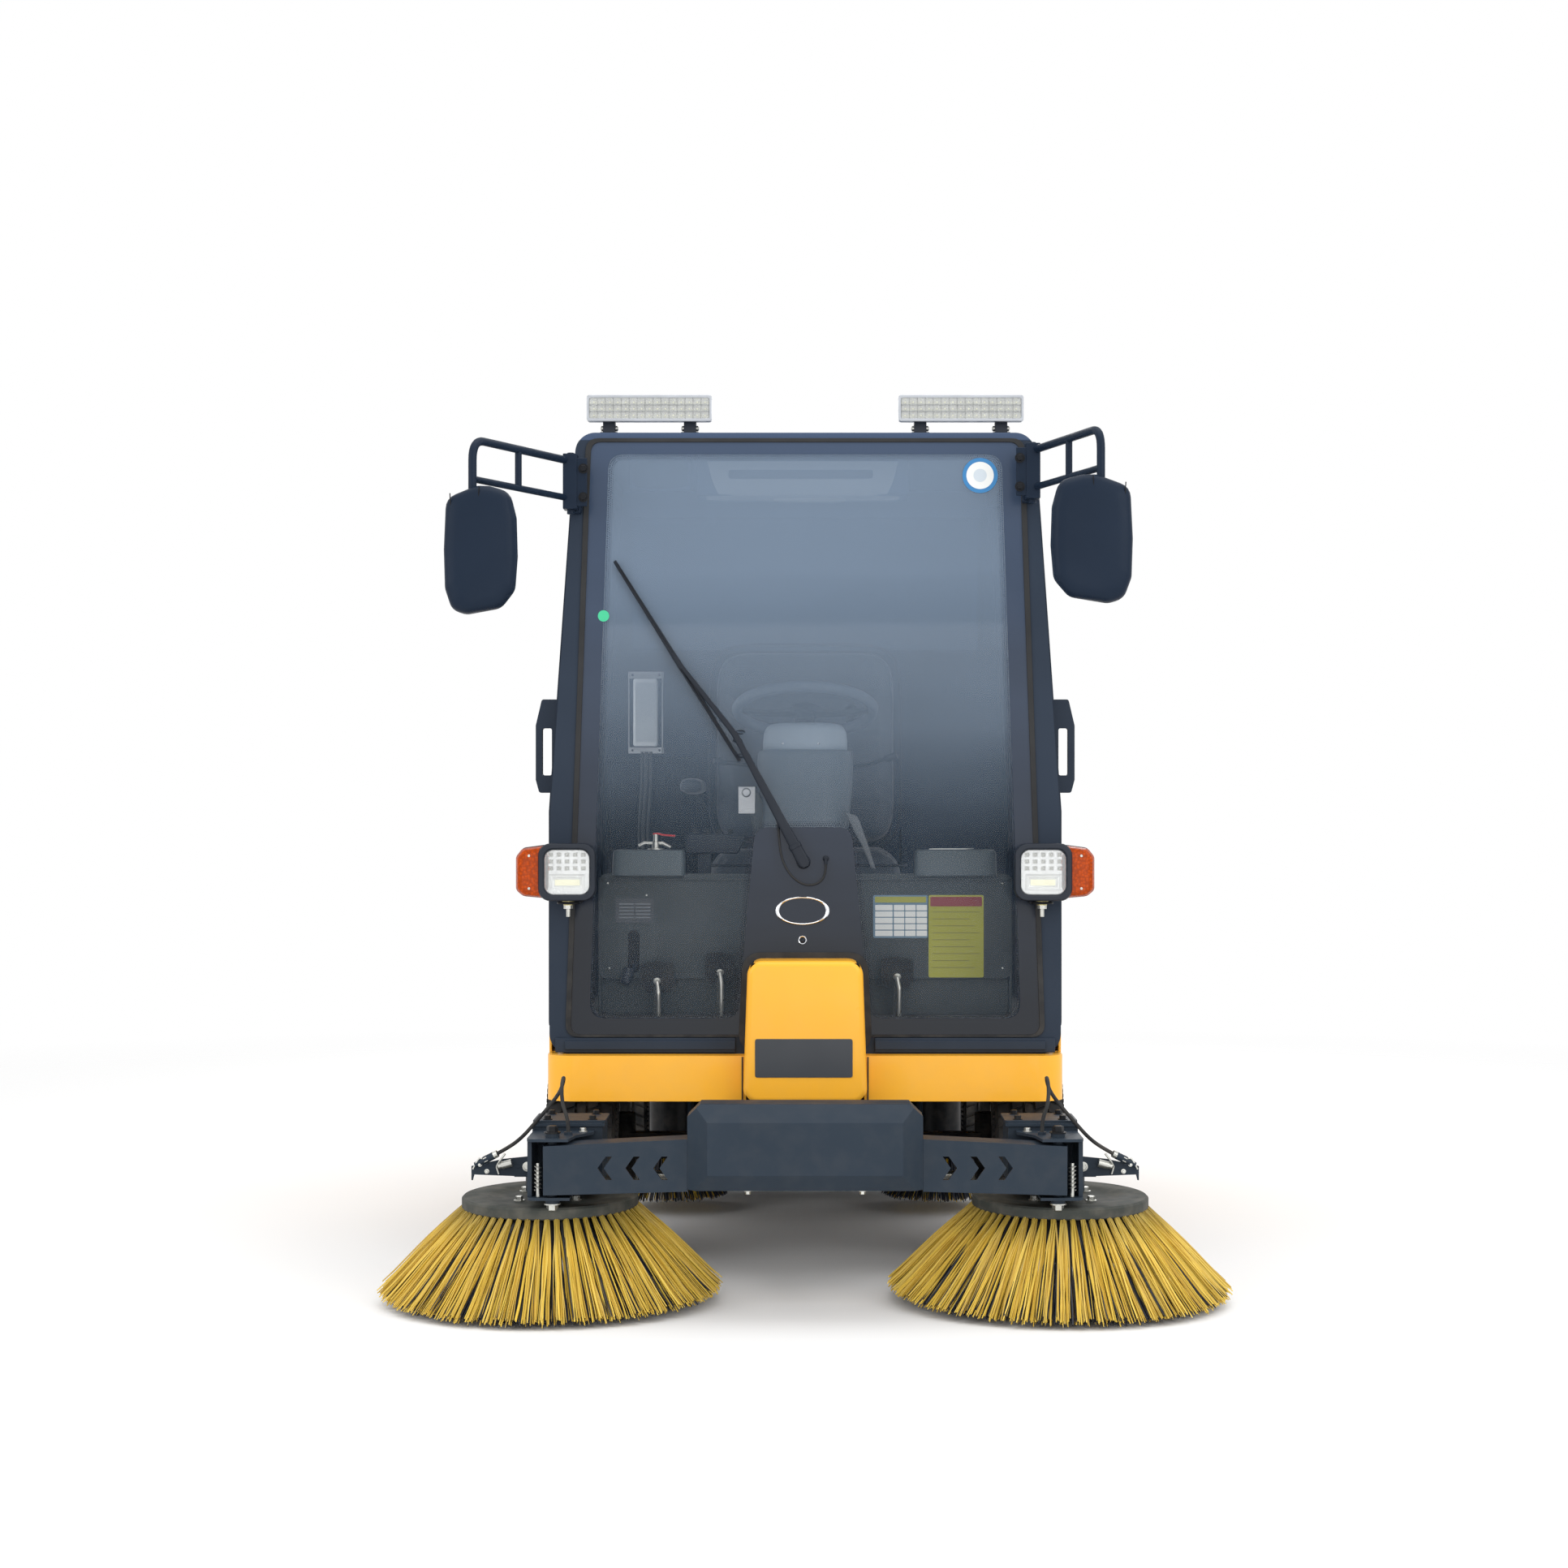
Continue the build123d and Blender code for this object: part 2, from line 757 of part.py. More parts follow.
with BuildPart() as cab_floor:
    floor_half = cab_half - cab_wall
    floor_front = cab_front_y + cab_wall + 4
    floor_rear = cab_back_y - cab_wall
    floor_top = floor_bottom + floor_thick
    block((-floor_half, floor_half), (floor_front, floor_rear), (floor_bottom, floor_top))
    # mounts down to the rails: front edge Y of each
    for start in (floor_front, floor_rear - 50):
        block((-floor_half, floor_half), (start, start + 50), (cab_bottom, floor_bottom))
        for side in (-1, 1):
            block(
                (side * rail_x - 20, side * rail_x + 20), (start + 5, start + 45),
                (rail_top, cab_bottom),
            )
    for left, width, height in pedal_table:
        pad_low = floor_top + height
        prism(
            along(left),
            (
                (pedal_y, pad_low), (pedal_y + 20, pad_low + 6),
                (pedal_y - 5, pad_low + 62), (pedal_y - 17, pad_low + 58),
            ),
            width,
        )
        stem_x = left + (width - pedal_stem) / 2
        block(
            (stem_x, stem_x + pedal_stem), (pedal_y - 15, pedal_y + 15), (floor_top, pad_low + 8)
        )
save(cab_floor.part, "cab_floor")

# ---------------------------------------------------------------- nose and lower sides

with BuildPart() as nose:
    skirt_points = (
        (-nose_half, nose_front_y), (nose_half, nose_front_y),
        (nose_half, nose_side_rear_y), (-nose_half, nose_side_rear_y),
    )
    with BuildSketch(Plane.XY.offset(nose_bottom)) as skirt_plan:
        Polygon(*skirt_points)
        fillet(skirt_plan.vertices().group_by(Axis.Y)[0], nose_corner_r)
        offset(amount=-nose_wall, kind=Kind.INTERSECTION, mode=Mode.SUBTRACT)
        with Locations((0, nose_side_rear_y)):
            Rectangle(2 * (nose_half - nose_wall), 4 * nose_wall, mode=Mode.SUBTRACT)
    extrude(amount=cab_bottom - nose_bottom)
    # shelf that closes the skirt to the cab's sill
    with BuildSketch(Plane.XY.offset(cab_bottom)) as shelf_plan:
        Polygon(*skirt_points)
        fillet(shelf_plan.vertices().group_by(Axis.Y)[0], nose_corner_r)
        with Locations((0, cab_front_y + 30 + nose_half)):
            Rectangle(2 * (nose_half - nose_wall), 2 * nose_half, mode=Mode.SUBTRACT)
    extrude(amount=-nose_wall)
    # centre column, open at the back and closed against the windscreen
    with BuildSketch(across(cab_top_front_y)) as column_face:
        Polygon(
            (-column_half_low, nose_bottom), (column_half_low, nose_bottom),
            (column_half_high, column_top), (-column_half_high, column_top),
        )
        fillet(column_face.vertices().group_by(Axis.Z)[-1], column_corner_r)
    extrude(amount=cab_top_front_y - column_front_y)
    fillet(nose.faces().sort_by(Axis.Y)[0].edges(), column_edge_r)
    with BuildSketch(across(cab_top_front_y)):
        with Locations((0, -nose_wall)):
            Polygon(
                (-column_half_low + nose_wall, nose_bottom - nose_wall),
                (column_half_low - nose_wall, nose_bottom - nose_wall),
                (column_half_high - nose_wall, column_top), (nose_wall - column_half_high, column_top),
            )
    extrude(amount=cab_top_front_y - column_front_y - nose_wall, mode=Mode.SUBTRACT)
    block(
        (-column_half_low, column_half_low), (rail_front_y - 8, cab_top_front_y + 1),
        (nose_bottom - 1, cab_bottom - nose_wall), mode=Mode.SUBTRACT,
    )
    add(cab_block(0, cab_bottom, 2 * cab_top), mode=Mode.SUBTRACT)
save(nose.part, "nose")

with BuildPart() as side_skirts:
    outer_x = cab_half + skirt_side_thick
    prism(
        along(cab_half),
        (
            (nose_side_rear_y, nose_bottom), (nose_side_rear_y, skirt_side_top),
            (cab_back_y, skirt_side_top), (cab_back_y, nose_bottom),
        ),
        skirt_side_thick,
    )
    block(
        (outer_x - skirt_side_return, outer_x), (nose_side_rear_y, cab_back_y),
        (nose_bottom, nose_bottom + skirt_side_thick),
    )
    block(
        (outer_x - skirt_side_return, outer_x), (nose_side_rear_y, cab_back_y),
        (cab_bottom - 8, cab_bottom),
    )
    bar((0, front_axle_y, tyre_r), (1, 0, 0), 2 * cab_half, arch_r, mode=Mode.SUBTRACT)
    mirror(about=Plane.YZ)
save(side_skirts.part, "side_skirts")

# ---------------------------------------------------------------- cab fittings

with BuildPart() as console:
    # cross panel, open at the back, with its two raised boxes and its feet
    panel_rear = console_y[1]
    block((-console_half, console_half), console_y, console_z)
    block(
        (-console_half + console_wall, console_half - console_wall),
        (console_y[0] + console_wall, panel_rear), (console_z[0] - 1, console_z[1] - console_wall),
        mode=Mode.SUBTRACT,
    )
    for box_x in console_boxes:
        block(box_x, (console_box_front, panel_rear), (console_z[1], console_box_top))
    for side in (-1, 1):
        foot_x = side * (console_half - console_wall / 2)
        block(
            (foot_x - console_wall / 2, foot_x + console_wall / 2), console_y, (floor_top, console_z[0])
        )
    # steering pedestal, its neck, the shroud and the socket of the steering shaft
    block((-pedestal_half, pedestal_half), (panel_rear, pedestal_rear), (floor_top, pedestal_top))
    prism(along(-neck_half), neck_side, 2 * neck_half)
    prism(along(-shroud_half), shroud_side, 2 * shroud_half, shroud_corner_r)
    socket_start = Vector(*wheel_centre) - wheel_axis * 140
    bar(socket_start, wheel_axis, 90, socket_r)
    bar(
        socket_start + wheel_axis * 20, wheel_axis, 90, steering_shaft_r + running_gap,
        mode=Mode.SUBTRACT,
    )
save(console.part, "console")

with BuildPart() as seat_base:
    block((-seat_base_half, seat_base_half), seat_base_y, (floor_top, seat_bottom))
save(seat_base.part, "seat_base")

with BuildPart() as seat:
    block((-seat_half, seat_half), seat_cushion_y, (seat_bottom, seat_cushion_top))
    prism(
        along(-seat_half),
        (
            (seat_back_low[0], seat_cushion_top), (seat_back_low[1], seat_cushion_top),
            (seat_back_high[1], seat_back_top), (seat_back_high[0], seat_back_top),
        ),
        2 * seat_half,
    )
    block(armrest_x, armrest_y, armrest_z)
save(seat.part, "seat")

pane_plane = screen(0)
washer_stub_end = Vector(washer_grommet[0], up_screen(washer_grommet[1]) - washer_stub_length, washer_off)
washer_points = [pane_plane.from_local_coords(washer_stub_end)] + [
    pane_plane.from_local_coords(Vector(x, up_screen(height), out)) for x, height, out in washer_route
]
washer_end = (washer_points[-1] - washer_points[-2]).normalized()

with BuildPart() as wiper:
    pivot, elbow, blade_low, blade_high = (
        (x, up_screen(height)) for x, height in (wiper_pivot, wiper_elbow, *wiper_blade)
    )
    blade_middle = ((blade_low[0] + blade_high[0]) / 2, (blade_low[1] + blade_high[1]) / 2)
    with BuildSketch(screen(0)):
        with Locations(pivot):
            Circle(wiper_pivot_r)
        with Locations((washer_grommet[0], up_screen(washer_grommet[1]))):
            Circle(washer_grommet_r)
    extrude(amount=wiper_lift)
    tapered_link(screen(wiper_lift), pivot, elbow, wiper_arm_widths, 10)
    link(screen(wiper_lift), elbow, blade_middle, wiper_link_width, 8)
    link(screen(2), blade_low, blade_high, wiper_blade_width, wiper_lift - 1)
    # the washer hose's stub at the grommet and its clip under the arm
    bar(washer_points[0], pane_plane.y_dir, washer_stub_length, washer_stub_r)
    bar(washer_points[-1], washer_end, washer_clip_length, washer_clip_r)
    clip_end = pane_plane.to_local_coords(washer_points[-1] + washer_end * washer_clip_length)
    link(
        screen(washer_off), (clip_end.X + 1, clip_end.Y - 5), (clip_end.X + 4, clip_end.Y),
        2 * washer_stub_r, wiper_lift - washer_off + 2,
    )
save(wiper.part, "wiper")

with BuildPart() as washer_hose:
    add(hose_tube("washer hose", washer_points, washer_hose_r))
save(washer_hose.part, "washer_hose")

with BuildPart() as headlamps:
    with BuildSketch(across(headlamp_y[1])):
        with Locations(headlamp_centre):
            RectangleRounded(headlamp_size, headlamp_size, 24)
    extrude(amount=headlamp_y[1] - headlamp_y[0], taper=2)
    with BuildSketch(across(indicator_y[1])):
        with Locations(indicator_centre):
            RectangleRounded(*indicator_size, 18)
    extrude(amount=indicator_y[1] - indicator_y[0])
    # bracket: bolt, plate and a leg back to the windscreen frame
    bar((*lamp_bolt, lamp_bolt_low), (0, 0, 1), lamp_plate_z[0] + 12 - lamp_bolt_low, lamp_bolt_r)
    block(lamp_plate_x, (lamp_plate_front, cab_front_y + 20), lamp_plate_z)
    block(lamp_plate_x, (lamp_leg_front, cab_front_y + 20), (lamp_plate_z[0], headlamp_centre[1] + 18))
    add(cab_block(0, cab_bottom, cab_top), mode=Mode.SUBTRACT)
    mirror(about=Plane.YZ)
save(headlamps.part, "headlamps")

with BuildPart() as roof_lamps:
    lamp_middle_y = (roof_lamp_y[0] + roof_lamp_y[1]) / 2
    block(roof_lamp_x, roof_lamp_y, roof_lamp_z)
    for x in roof_lamp_feet:
        bar((x, lamp_middle_y, cab_top), (0, 0, 1), roof_lamp_z[0] + 3 - cab_top, roof_lamp_foot_r)
    mirror(about=Plane.YZ)
save(roof_lamps.part, "roof_lamps")

with BuildPart() as mirrors:
    for side, bracket_x, tube_x, head_x, head_width, rise in mirror_table:
        block(
            sorted((side * (bracket_x - mirror_bracket_x), side * bracket_x)), mirror_bracket_y,
            (mirror_bracket_z[0] + rise, mirror_bracket_z[1] + rise),
        )
        # the upper tube bends down into the head, and the lower one braces it
        tube_low, tube_high = (height + rise for height in mirror_tube_z)
        root_x = side * (bracket_x - 14)
        root_y = mirror_bracket_y[0] + 28
        head_low = mirror_head_z + rise
        with BuildLine() as upper_tube:
            FilletPolyline(
                (root_x, root_y, tube_high), (side * tube_x, mirror_y, tube_high),
                (side * tube_x, mirror_y, head_low), radius=mirror_bend_r,
            )
        with BuildSketch(Plane(origin=upper_tube.line @ 0, z_dir=upper_tube.line % 0)) as tube_ring:
            Circle(mirror_tube_r)
        sweep(tube_ring.sketch, path=upper_tube.line)
        root = Vector(root_x, root_y, tube_low)
        reach = Vector(side * tube_x, mirror_y, tube_low) - root
        bar(root, reach, reach.length, mirror_brace_r)
        bar(
            root + reach * 0.55 - Vector(0, 0, 2), (0, 0, 1), tube_high - tube_low + 4,
            mirror_brace_r - 1,
        )
        with BuildSketch(across(mirror_y + mirror_head_thick / 2)) as head:
            with Locations((side * head_x, head_low)):
                RectangleRounded(head_width, mirror_head_height, mirror_corner_r)
        extrude(head.sketch, amount=mirror_head_thick, taper=4)
    add(cab_block(0, cab_bottom, cab_top), mode=Mode.SUBTRACT)
save(mirrors.part, "mirrors")

# ---------------------------------------------------------------- rear body

with BuildPart() as rear_body:
    with BuildSketch(across(body_rear_y)) as shell_section:
        Polygon(
            (-body_half, body_bottom), (body_half, body_bottom),
            (body_half, body_top), (-body_half, body_top),
        )
        fillet(shell_section.vertices().group_by(Axis.Z)[-1], body_corner_r)
    extrude(amount=body_rear_y - body_front_y)
    inner_half = body_half - body_wall
    block(
        (-inner_half, inner_half), (body_front_y + body_wall, body_rear_y - body_wall),
        (body_bottom - 1, body_top - body_wall), mode=Mode.SUBTRACT,
    )
    block(
        (-hopper_half, hopper_half), (body_rear_y - 2 * body_wall, body_rear_y + 1),
        (hopper_bottom, hopper_top), mode=Mode.SUBTRACT,
    )
    # wheel arch flares, then the arches themselves through the side walls only
    flare_r = body_arch_r + flare_thick
    for side in (-1, 1):
        bar((side * inner_half, rear_axle_y, tyre_r), (side, 0, 0), body_wall + flare_reach, flare_r)
    block(
        (-2 * body_half, 2 * body_half), (body_front_y - body_half, body_rear_y + body_half),
        (-body_half, body_bottom), mode=Mode.SUBTRACT,
    )
    block(
        (-2 * body_half, 2 * body_half), (body_rear_y, body_rear_y + body_half),
        (0, body_top), mode=Mode.SUBTRACT,
    )
    for side in (-1, 1):
        bar(
            (side * (inner_half - 1), rear_axle_y, tyre_r), (side, 0, 0),
            body_wall + flare_reach + 2, body_arch_r, mode=Mode.SUBTRACT,
        )
    # fixed halves of the tail door's hinges
    tail_hinge_y = body_rear_y + tail_hinge_out
    tail_hinge_z = hopper_top + tail_door_overlap + tail_hinge_up
    for middle in (-tail_hinge_x, tail_hinge_x):
        leaf_end = middle - tail_hinge_length / 2 - tail_hinge_gap
        leaf_x = (leaf_end - tail_leaf, leaf_end)
        bar((leaf_x[0], tail_hinge_y, tail_hinge_z), (1, 0, 0), tail_leaf, hinge_r)
        block(leaf_x, (body_rear_y, tail_hinge_y), (tail_hinge_z - hinge_r, tail_hinge_z + hinge_r))
save(rear_body.part, "rear_body")

with BuildPart() as hopper:
    block(
        (-hopper_half, hopper_half), (hopper_front_y, body_rear_y), (hopper_bottom, hopper_top)
    )
    block(
        (-hopper_half + hopper_wall, hopper_half - hopper_wall),
        (hopper_front_y + hopper_wall, body_rear_y + 1),
        (hopper_bottom + hopper_wall, hopper_top - hopper_wall), mode=Mode.SUBTRACT,
    )
save(hopper.part, "hopper")

with BuildPart() as battery_pack:
    battery_front_y = body_front_y + body_wall + battery_gap
    block((-battery_half, battery_half), (battery_front_y, battery_rear_y), (rail_top, battery_top))
save(battery_pack.part, "battery_pack")

with BuildPart() as rear_bumper:
    block((-rear_bumper_half, rear_bumper_half), (body_rear_y, rear_y), rear_bumper_z)
    fillet(rear_bumper.edges().filter_by(Axis.Z).group_by(Axis.Y)[-1], rear_bumper_round)
save(rear_bumper.part, "rear_bumper")

with BuildPart() as tail_lamps:
    block(tail_lamp_x, (body_rear_y, body_rear_y + tail_lamp_depth), tail_lamp_z)
    mirror(about=Plane.YZ)
save(tail_lamps.part, "tail_lamps")

# ---------------------------------------------------------------- under the middle

with BuildPart() as roller_hood:
    hood_inner = roller_r + hood_gap
    hood_outer = hood_inner + hood_wall
    hood_half = roller_half + hood_gap
    bar((-hood_half, roller_y, roller_z), (1, 0, 0), 2 * hood_half, hood_outer)
    bar((-hood_half, roller_y, roller_z), (1, 0, 0), 2 * hood_half, hood_inner, mode=Mode.SUBTRACT)
    block(
        (-hood_half, hood_half), (roller_y - hood_outer, roller_y + hood_outer), (-50, roller_z),
        mode=Mode.SUBTRACT,
    )
    for side in (-1, 1):
        cheek = sorted((side * hood_half, side * (hood_half + hood_wall)))
        prism(
            along(cheek[0]),
            (
                (roller_y - cheek_low, roller_z - cheek_low), (roller_y + cheek_low, roller_z - cheek_low),
                (roller_y + hood_outer, roller_z), (roller_y + cheek_high[0], roller_z + cheek_high[1]),
                (roller_y, roller_z + hood_outer), (roller_y - cheek_high[0], roller_z + cheek_high[1]),
                (roller_y - hood_outer, roller_z),
            ),
            hood_wall,
        )
        bar((side * (hood_half + 1), roller_y, roller_z), (-side, 0, 0), roller_shaft_length, roller_shaft_r)
        block(
            sorted((side * (rail_x - hanger_half), side * (rail_x + hanger_half))),
            (roller_y + hanger_y[0], roller_y + hanger_y[1]),
            (roller_z + hood_outer - hood_wall, rail_bottom),
        )
save(roller_hood.part, "roller_hood")

with BuildPart() as mid_motors:
    motor_low = mid_hub_top + motor_gap
    motor_high = motor_low + mid_motor_length
    bar((mid_brush_x, mid_brush_y, motor_low), (0, 0, 1), mid_motor_length, mid_motor_r)
    bar(
        (mid_brush_x, mid_brush_y, mid_hub_top - brush_shaft_depth), (0, 0, 1),
        brush_shaft_depth + 2 * motor_gap, brush_shaft_r,
    )
    mount_y = (mid_brush_y - mid_mount_half, mid_brush_y + mid_mount_half)
    block(
        (rail_x - mid_post_half, mid_brush_x + mid_motor_r), mount_y,
        (motor_high, motor_high + mid_mount_plate),
    )
    block((rail_x - mid_post_half, rail_x + mid_post_half), mount_y, (motor_high, rail_bottom))
    mirror(about=Plane.YZ)
save(mid_motors.part, "mid_motors")

# ---------------------------------------------------------------- doors

with BuildPart() as door_left:
    add(cab_block(door_proud, cab_bottom, cab_top))
    add(cab_block(door_proud - door_thick, cab_bottom - 10, 2 * cab_top), mode=Mode.SUBTRACT)
    prism(along(0), door_outline(0), 2 * cab_half, 14.0, Mode.INTERSECT)
    prism(along(0), window_outline(door_window_low, 0), 2 * cab_half, low_window_r, Mode.SUBTRACT)
    prism(along(0), window_outline(door_window_high, 0), 2 * cab_half, high_window_r, Mode.SUBTRACT)
    # grab handle beside the front edge
    lean_x = door_skin_x - side_slope * ((handle_low + handle_high) / 2 - cab_waist)
    grip_x = lean_x + handle_reach
    prism(
        across(handle_y + handle_width / 2),
        (
            (lean_x - 12, handle_low), (grip_x - 8, handle_low), (grip_x, handle_low + 30),
            (grip_x, handle_high - 60), (grip_x - 14, handle_high), (lean_x - 12, handle_high),
        ),
        handle_width, 6.0,
    )
    prism(
        across(handle_y + handle_width),
        (
            (lean_x + 6, handle_low + 40), (grip_x - handle_bar, handle_low + 40),
            (grip_x - handle_bar, handle_high - 66), (lean_x + 6, handle_high - 66),
        ),
        2 * handle_width, 5.0, Mode.SUBTRACT,
    )
    for low in hinge_heights:
        start = low + hinge_length + 1
        block((door_skin_x - 4, hinge_x + hinge_r), (hinge_y - 44, hinge_y - 2), (start, start + hinge_length))
        bar((hinge_x, hinge_y, start), (0, 0, 1), hinge_length, hinge_r)
        block((door_skin_x - 2, hinge_x + 4), (hinge_y - 6, hinge_y), (start, start + hinge_length))
save(door_left.part, "door_left")

def door_pane(span, corner_r):
    """One pane of the left door, let into the door's outer skin."""
    with BuildPart() as pane:
        add(cab_block(0, cab_bottom, cab_top))
        add(cab_block(-glass_thick, cab_bottom - 10, 2 * cab_top), mode=Mode.SUBTRACT)
        prism(along(0), window_outline(span, 0), 2 * cab_half, corner_r, Mode.INTERSECT)
    return pane.part


with BuildPart() as door_glass_left:
    add(door_pane(door_window_low, low_window_r))
    add(door_pane(door_window_high, high_window_r))
save(door_glass_left.part, "door_glass_left")

with BuildPart() as door_right:
    mirror(door_left.part, about=Plane.YZ)
save(door_right.part, "door_right")

with BuildPart() as door_glass_right:
    mirror(door_glass_left.part, about=Plane.YZ)
save(door_glass_right.part, "door_glass_right")

with BuildPart() as tail_door:
    edge = hopper_half + tail_door_overlap
    block(
        (-edge, edge), (body_rear_y, body_rear_y + tail_door_thick),
        (hopper_bottom - tail_door_overlap, hopper_top + tail_door_overlap),
    )
    fillet(tail_door.edges().filter_by(Axis.Y), tail_corner_r)
    for middle in (-tail_hinge_x, tail_hinge_x):
        ends = (middle - tail_hinge_length / 2, middle + tail_hinge_length / 2)
        bar((ends[0], tail_hinge_y, tail_hinge_z), (1, 0, 0), tail_hinge_length, hinge_r)
        block(ends, (tail_hinge_y - 2, tail_hinge_y + 6), (hopper_top - tail_hinge_drop, tail_hinge_z))
save(tail_door.part, "tail_door")

# ---------------------------------------------------------------- steering

with BuildPart() as steering_wheel:
    hub_plane = Plane(origin=wheel_centre, x_dir=(1, 0, 0), z_dir=wheel_axis)
    with BuildSketch(hub_plane) as spokes:
        Circle(wheel_hub_r)
        for angle in wheel_spokes:
            with Locations(Location((0, 0), angle)):
                with Locations((wheel_r / 2, 0)):
                    Rectangle(wheel_r - 2 * wheel_grip_r, wheel_spoke[0])
    extrude(spokes.sketch, amount=wheel_spoke[1], both=True)
    with Locations(hub_plane):
        Torus(wheel_r - wheel_grip_r, wheel_grip_r)
    bar(wheel_centre, -wheel_axis, shaft_length, steering_shaft_r)
    bar(wheel_centre, -wheel_axis, wheel_neck[1], wheel_neck[0])
save(steering_wheel.part, "steering_wheel")

knuckle_low = tyre_r - axle_height / 2 - 25 - knuckle_lug_gap
knuckle_high = tyre_r + axle_height / 2 + 25 + knuckle_lug_gap
with BuildPart() as knuckle_left:
    post_x = (kingpin_x + axle_boss_r + 4, kingpin_x + axle_boss_r + 16)
    for low in (knuckle_low - knuckle_lug_thick, knuckle_high):
        bar((kingpin_x, front_axle_y, low), (0, 0, 1), knuckle_lug_thick, axle_boss_r)
        block(
            (kingpin_x, post_x[1]), (front_axle_y - axle_boss_r, front_axle_y + axle_boss_r),
            (low, low + knuckle_lug_thick),
        )
    block(
        post_x, (front_axle_y - axle_boss_r, front_axle_y + axle_boss_r),
        (knuckle_low - knuckle_lug_thick, knuckle_high + knuckle_lug_thick),
    )
    bar((kingpin_x, front_axle_y, knuckle_low - 4), (0, 0, 1), knuckle_high - knuckle_low + 8, kingpin_r)
    bar((post_x[0], front_axle_y, tyre_r), (1, 0, 0), spindle_end - post_x[0], spindle_r)
    link(
        Plane.XY.offset(knuckle_low - knuckle_lug_thick), (kingpin_x, front_axle_y),
        (kingpin_x - steering_arm_inset, front_axle_y + steering_arm), 30, knuckle_lug_thick / 2,
    )
save(knuckle_left.part, "knuckle_left")

with BuildPart() as knuckle_right:
    mirror(knuckle_left.part, about=Plane.YZ)
save(knuckle_right.part, "knuckle_right")

with BuildPart() as tie_rod:
    eye_x = kingpin_x - steering_arm_inset
    rod_y = front_axle_y + steering_arm
    rod_top = knuckle_low - knuckle_lug_thick - knuckle_lug_gap
    for side in (-1, 1):
        bar((side * eye_x, rod_y, rod_top), (0, 0, -1), 2 * tie_rod_r, tie_rod_r + 3)
    bar((-eye_x, rod_y, rod_top - tie_rod_r), (1, 0, 0), 2 * eye_x, tie_rod_r - 1)
save(tie_rod.part, "tie_rod")

# ---------------------------------------------------------------- wheels

half_tyre = tyre_width / 2
half_bead = bead_width / 2
for row, axle_y in (("front", front_axle_y), ("rear", rear_axle_y)):
    for name, side in (("left", 1), ("right", -1)):
        spin = Axis((side * wheel_x, axle_y, tyre_r), (1, 0, 0))
        with BuildPart() as tyre:
            with BuildSketch(across(axle_y)) as tyre_section:
                with Locations((side * wheel_x, tyre_r)):
                    Polygon(
                        (-half_bead, rim_r), (half_bead, rim_r), (half_tyre, rim_r + 40),
                        (half_tyre, tyre_r - tyre_shoulder_r), (half_tyre - tyre_shoulder_r, tyre_r),
                        (tyre_shoulder_r - half_tyre, tyre_r), (-half_tyre, tyre_r - tyre_shoulder_r),
                        (-half_tyre, rim_r + 40),
                    )
            revolve(axis=spin)
        save(tyre.part, f"tyre_{row}_{name}")
        with BuildPart() as rim:
            with BuildSketch(across(axle_y)) as rim_section:
                with Locations((side * wheel_x, tyre_r)):
                    Polygon(
                        (-half_bead, rim_r - rim_thick), (half_bead, rim_r - rim_thick),
                        (half_bead, rim_r), (-half_bead, rim_r),
                    )
                    hub_in = -wheel_hub_length / 2
                    hub_out = disc_offset + disc_thick + 18
                    Polygon(
                        (side * hub_in, spindle_r + running_gap),
                        (side * (disc_offset + 2), spindle_r + running_gap),
                        (side * (disc_offset + 2), 0), (side * hub_out, 0),
                        (side * hub_out, wheel_hub_r - 8), (side * hub_in, wheel_hub_r),
                    )
                    Polygon(
                        (side * disc_offset, wheel_hub_r - 6),
                        (side * (disc_offset + disc_thick), wheel_hub_r - 6),
                        (side * (disc_offset + disc_thick), rim_r - 2), (side * disc_offset, rim_r - 2),
                    )
            revolve(axis=spin)
            disc_plane = Plane(
                origin=(side * (wheel_x + disc_offset - 1), axle_y, tyre_r), x_dir=(0, 1, 0), z_dir=(side, 0, 0)
            )
            with BuildSketch(disc_plane) as windows:
                with PolarLocations(disc_window_circle_r, disc_windows):
                    Circle(disc_window_r)
            extrude(windows.sketch, amount=disc_thick + 2, mode=Mode.SUBTRACT)
        save(rim.part, f"rim_{row}_{name}")

# ---------------------------------------------------------------- front beam and arms

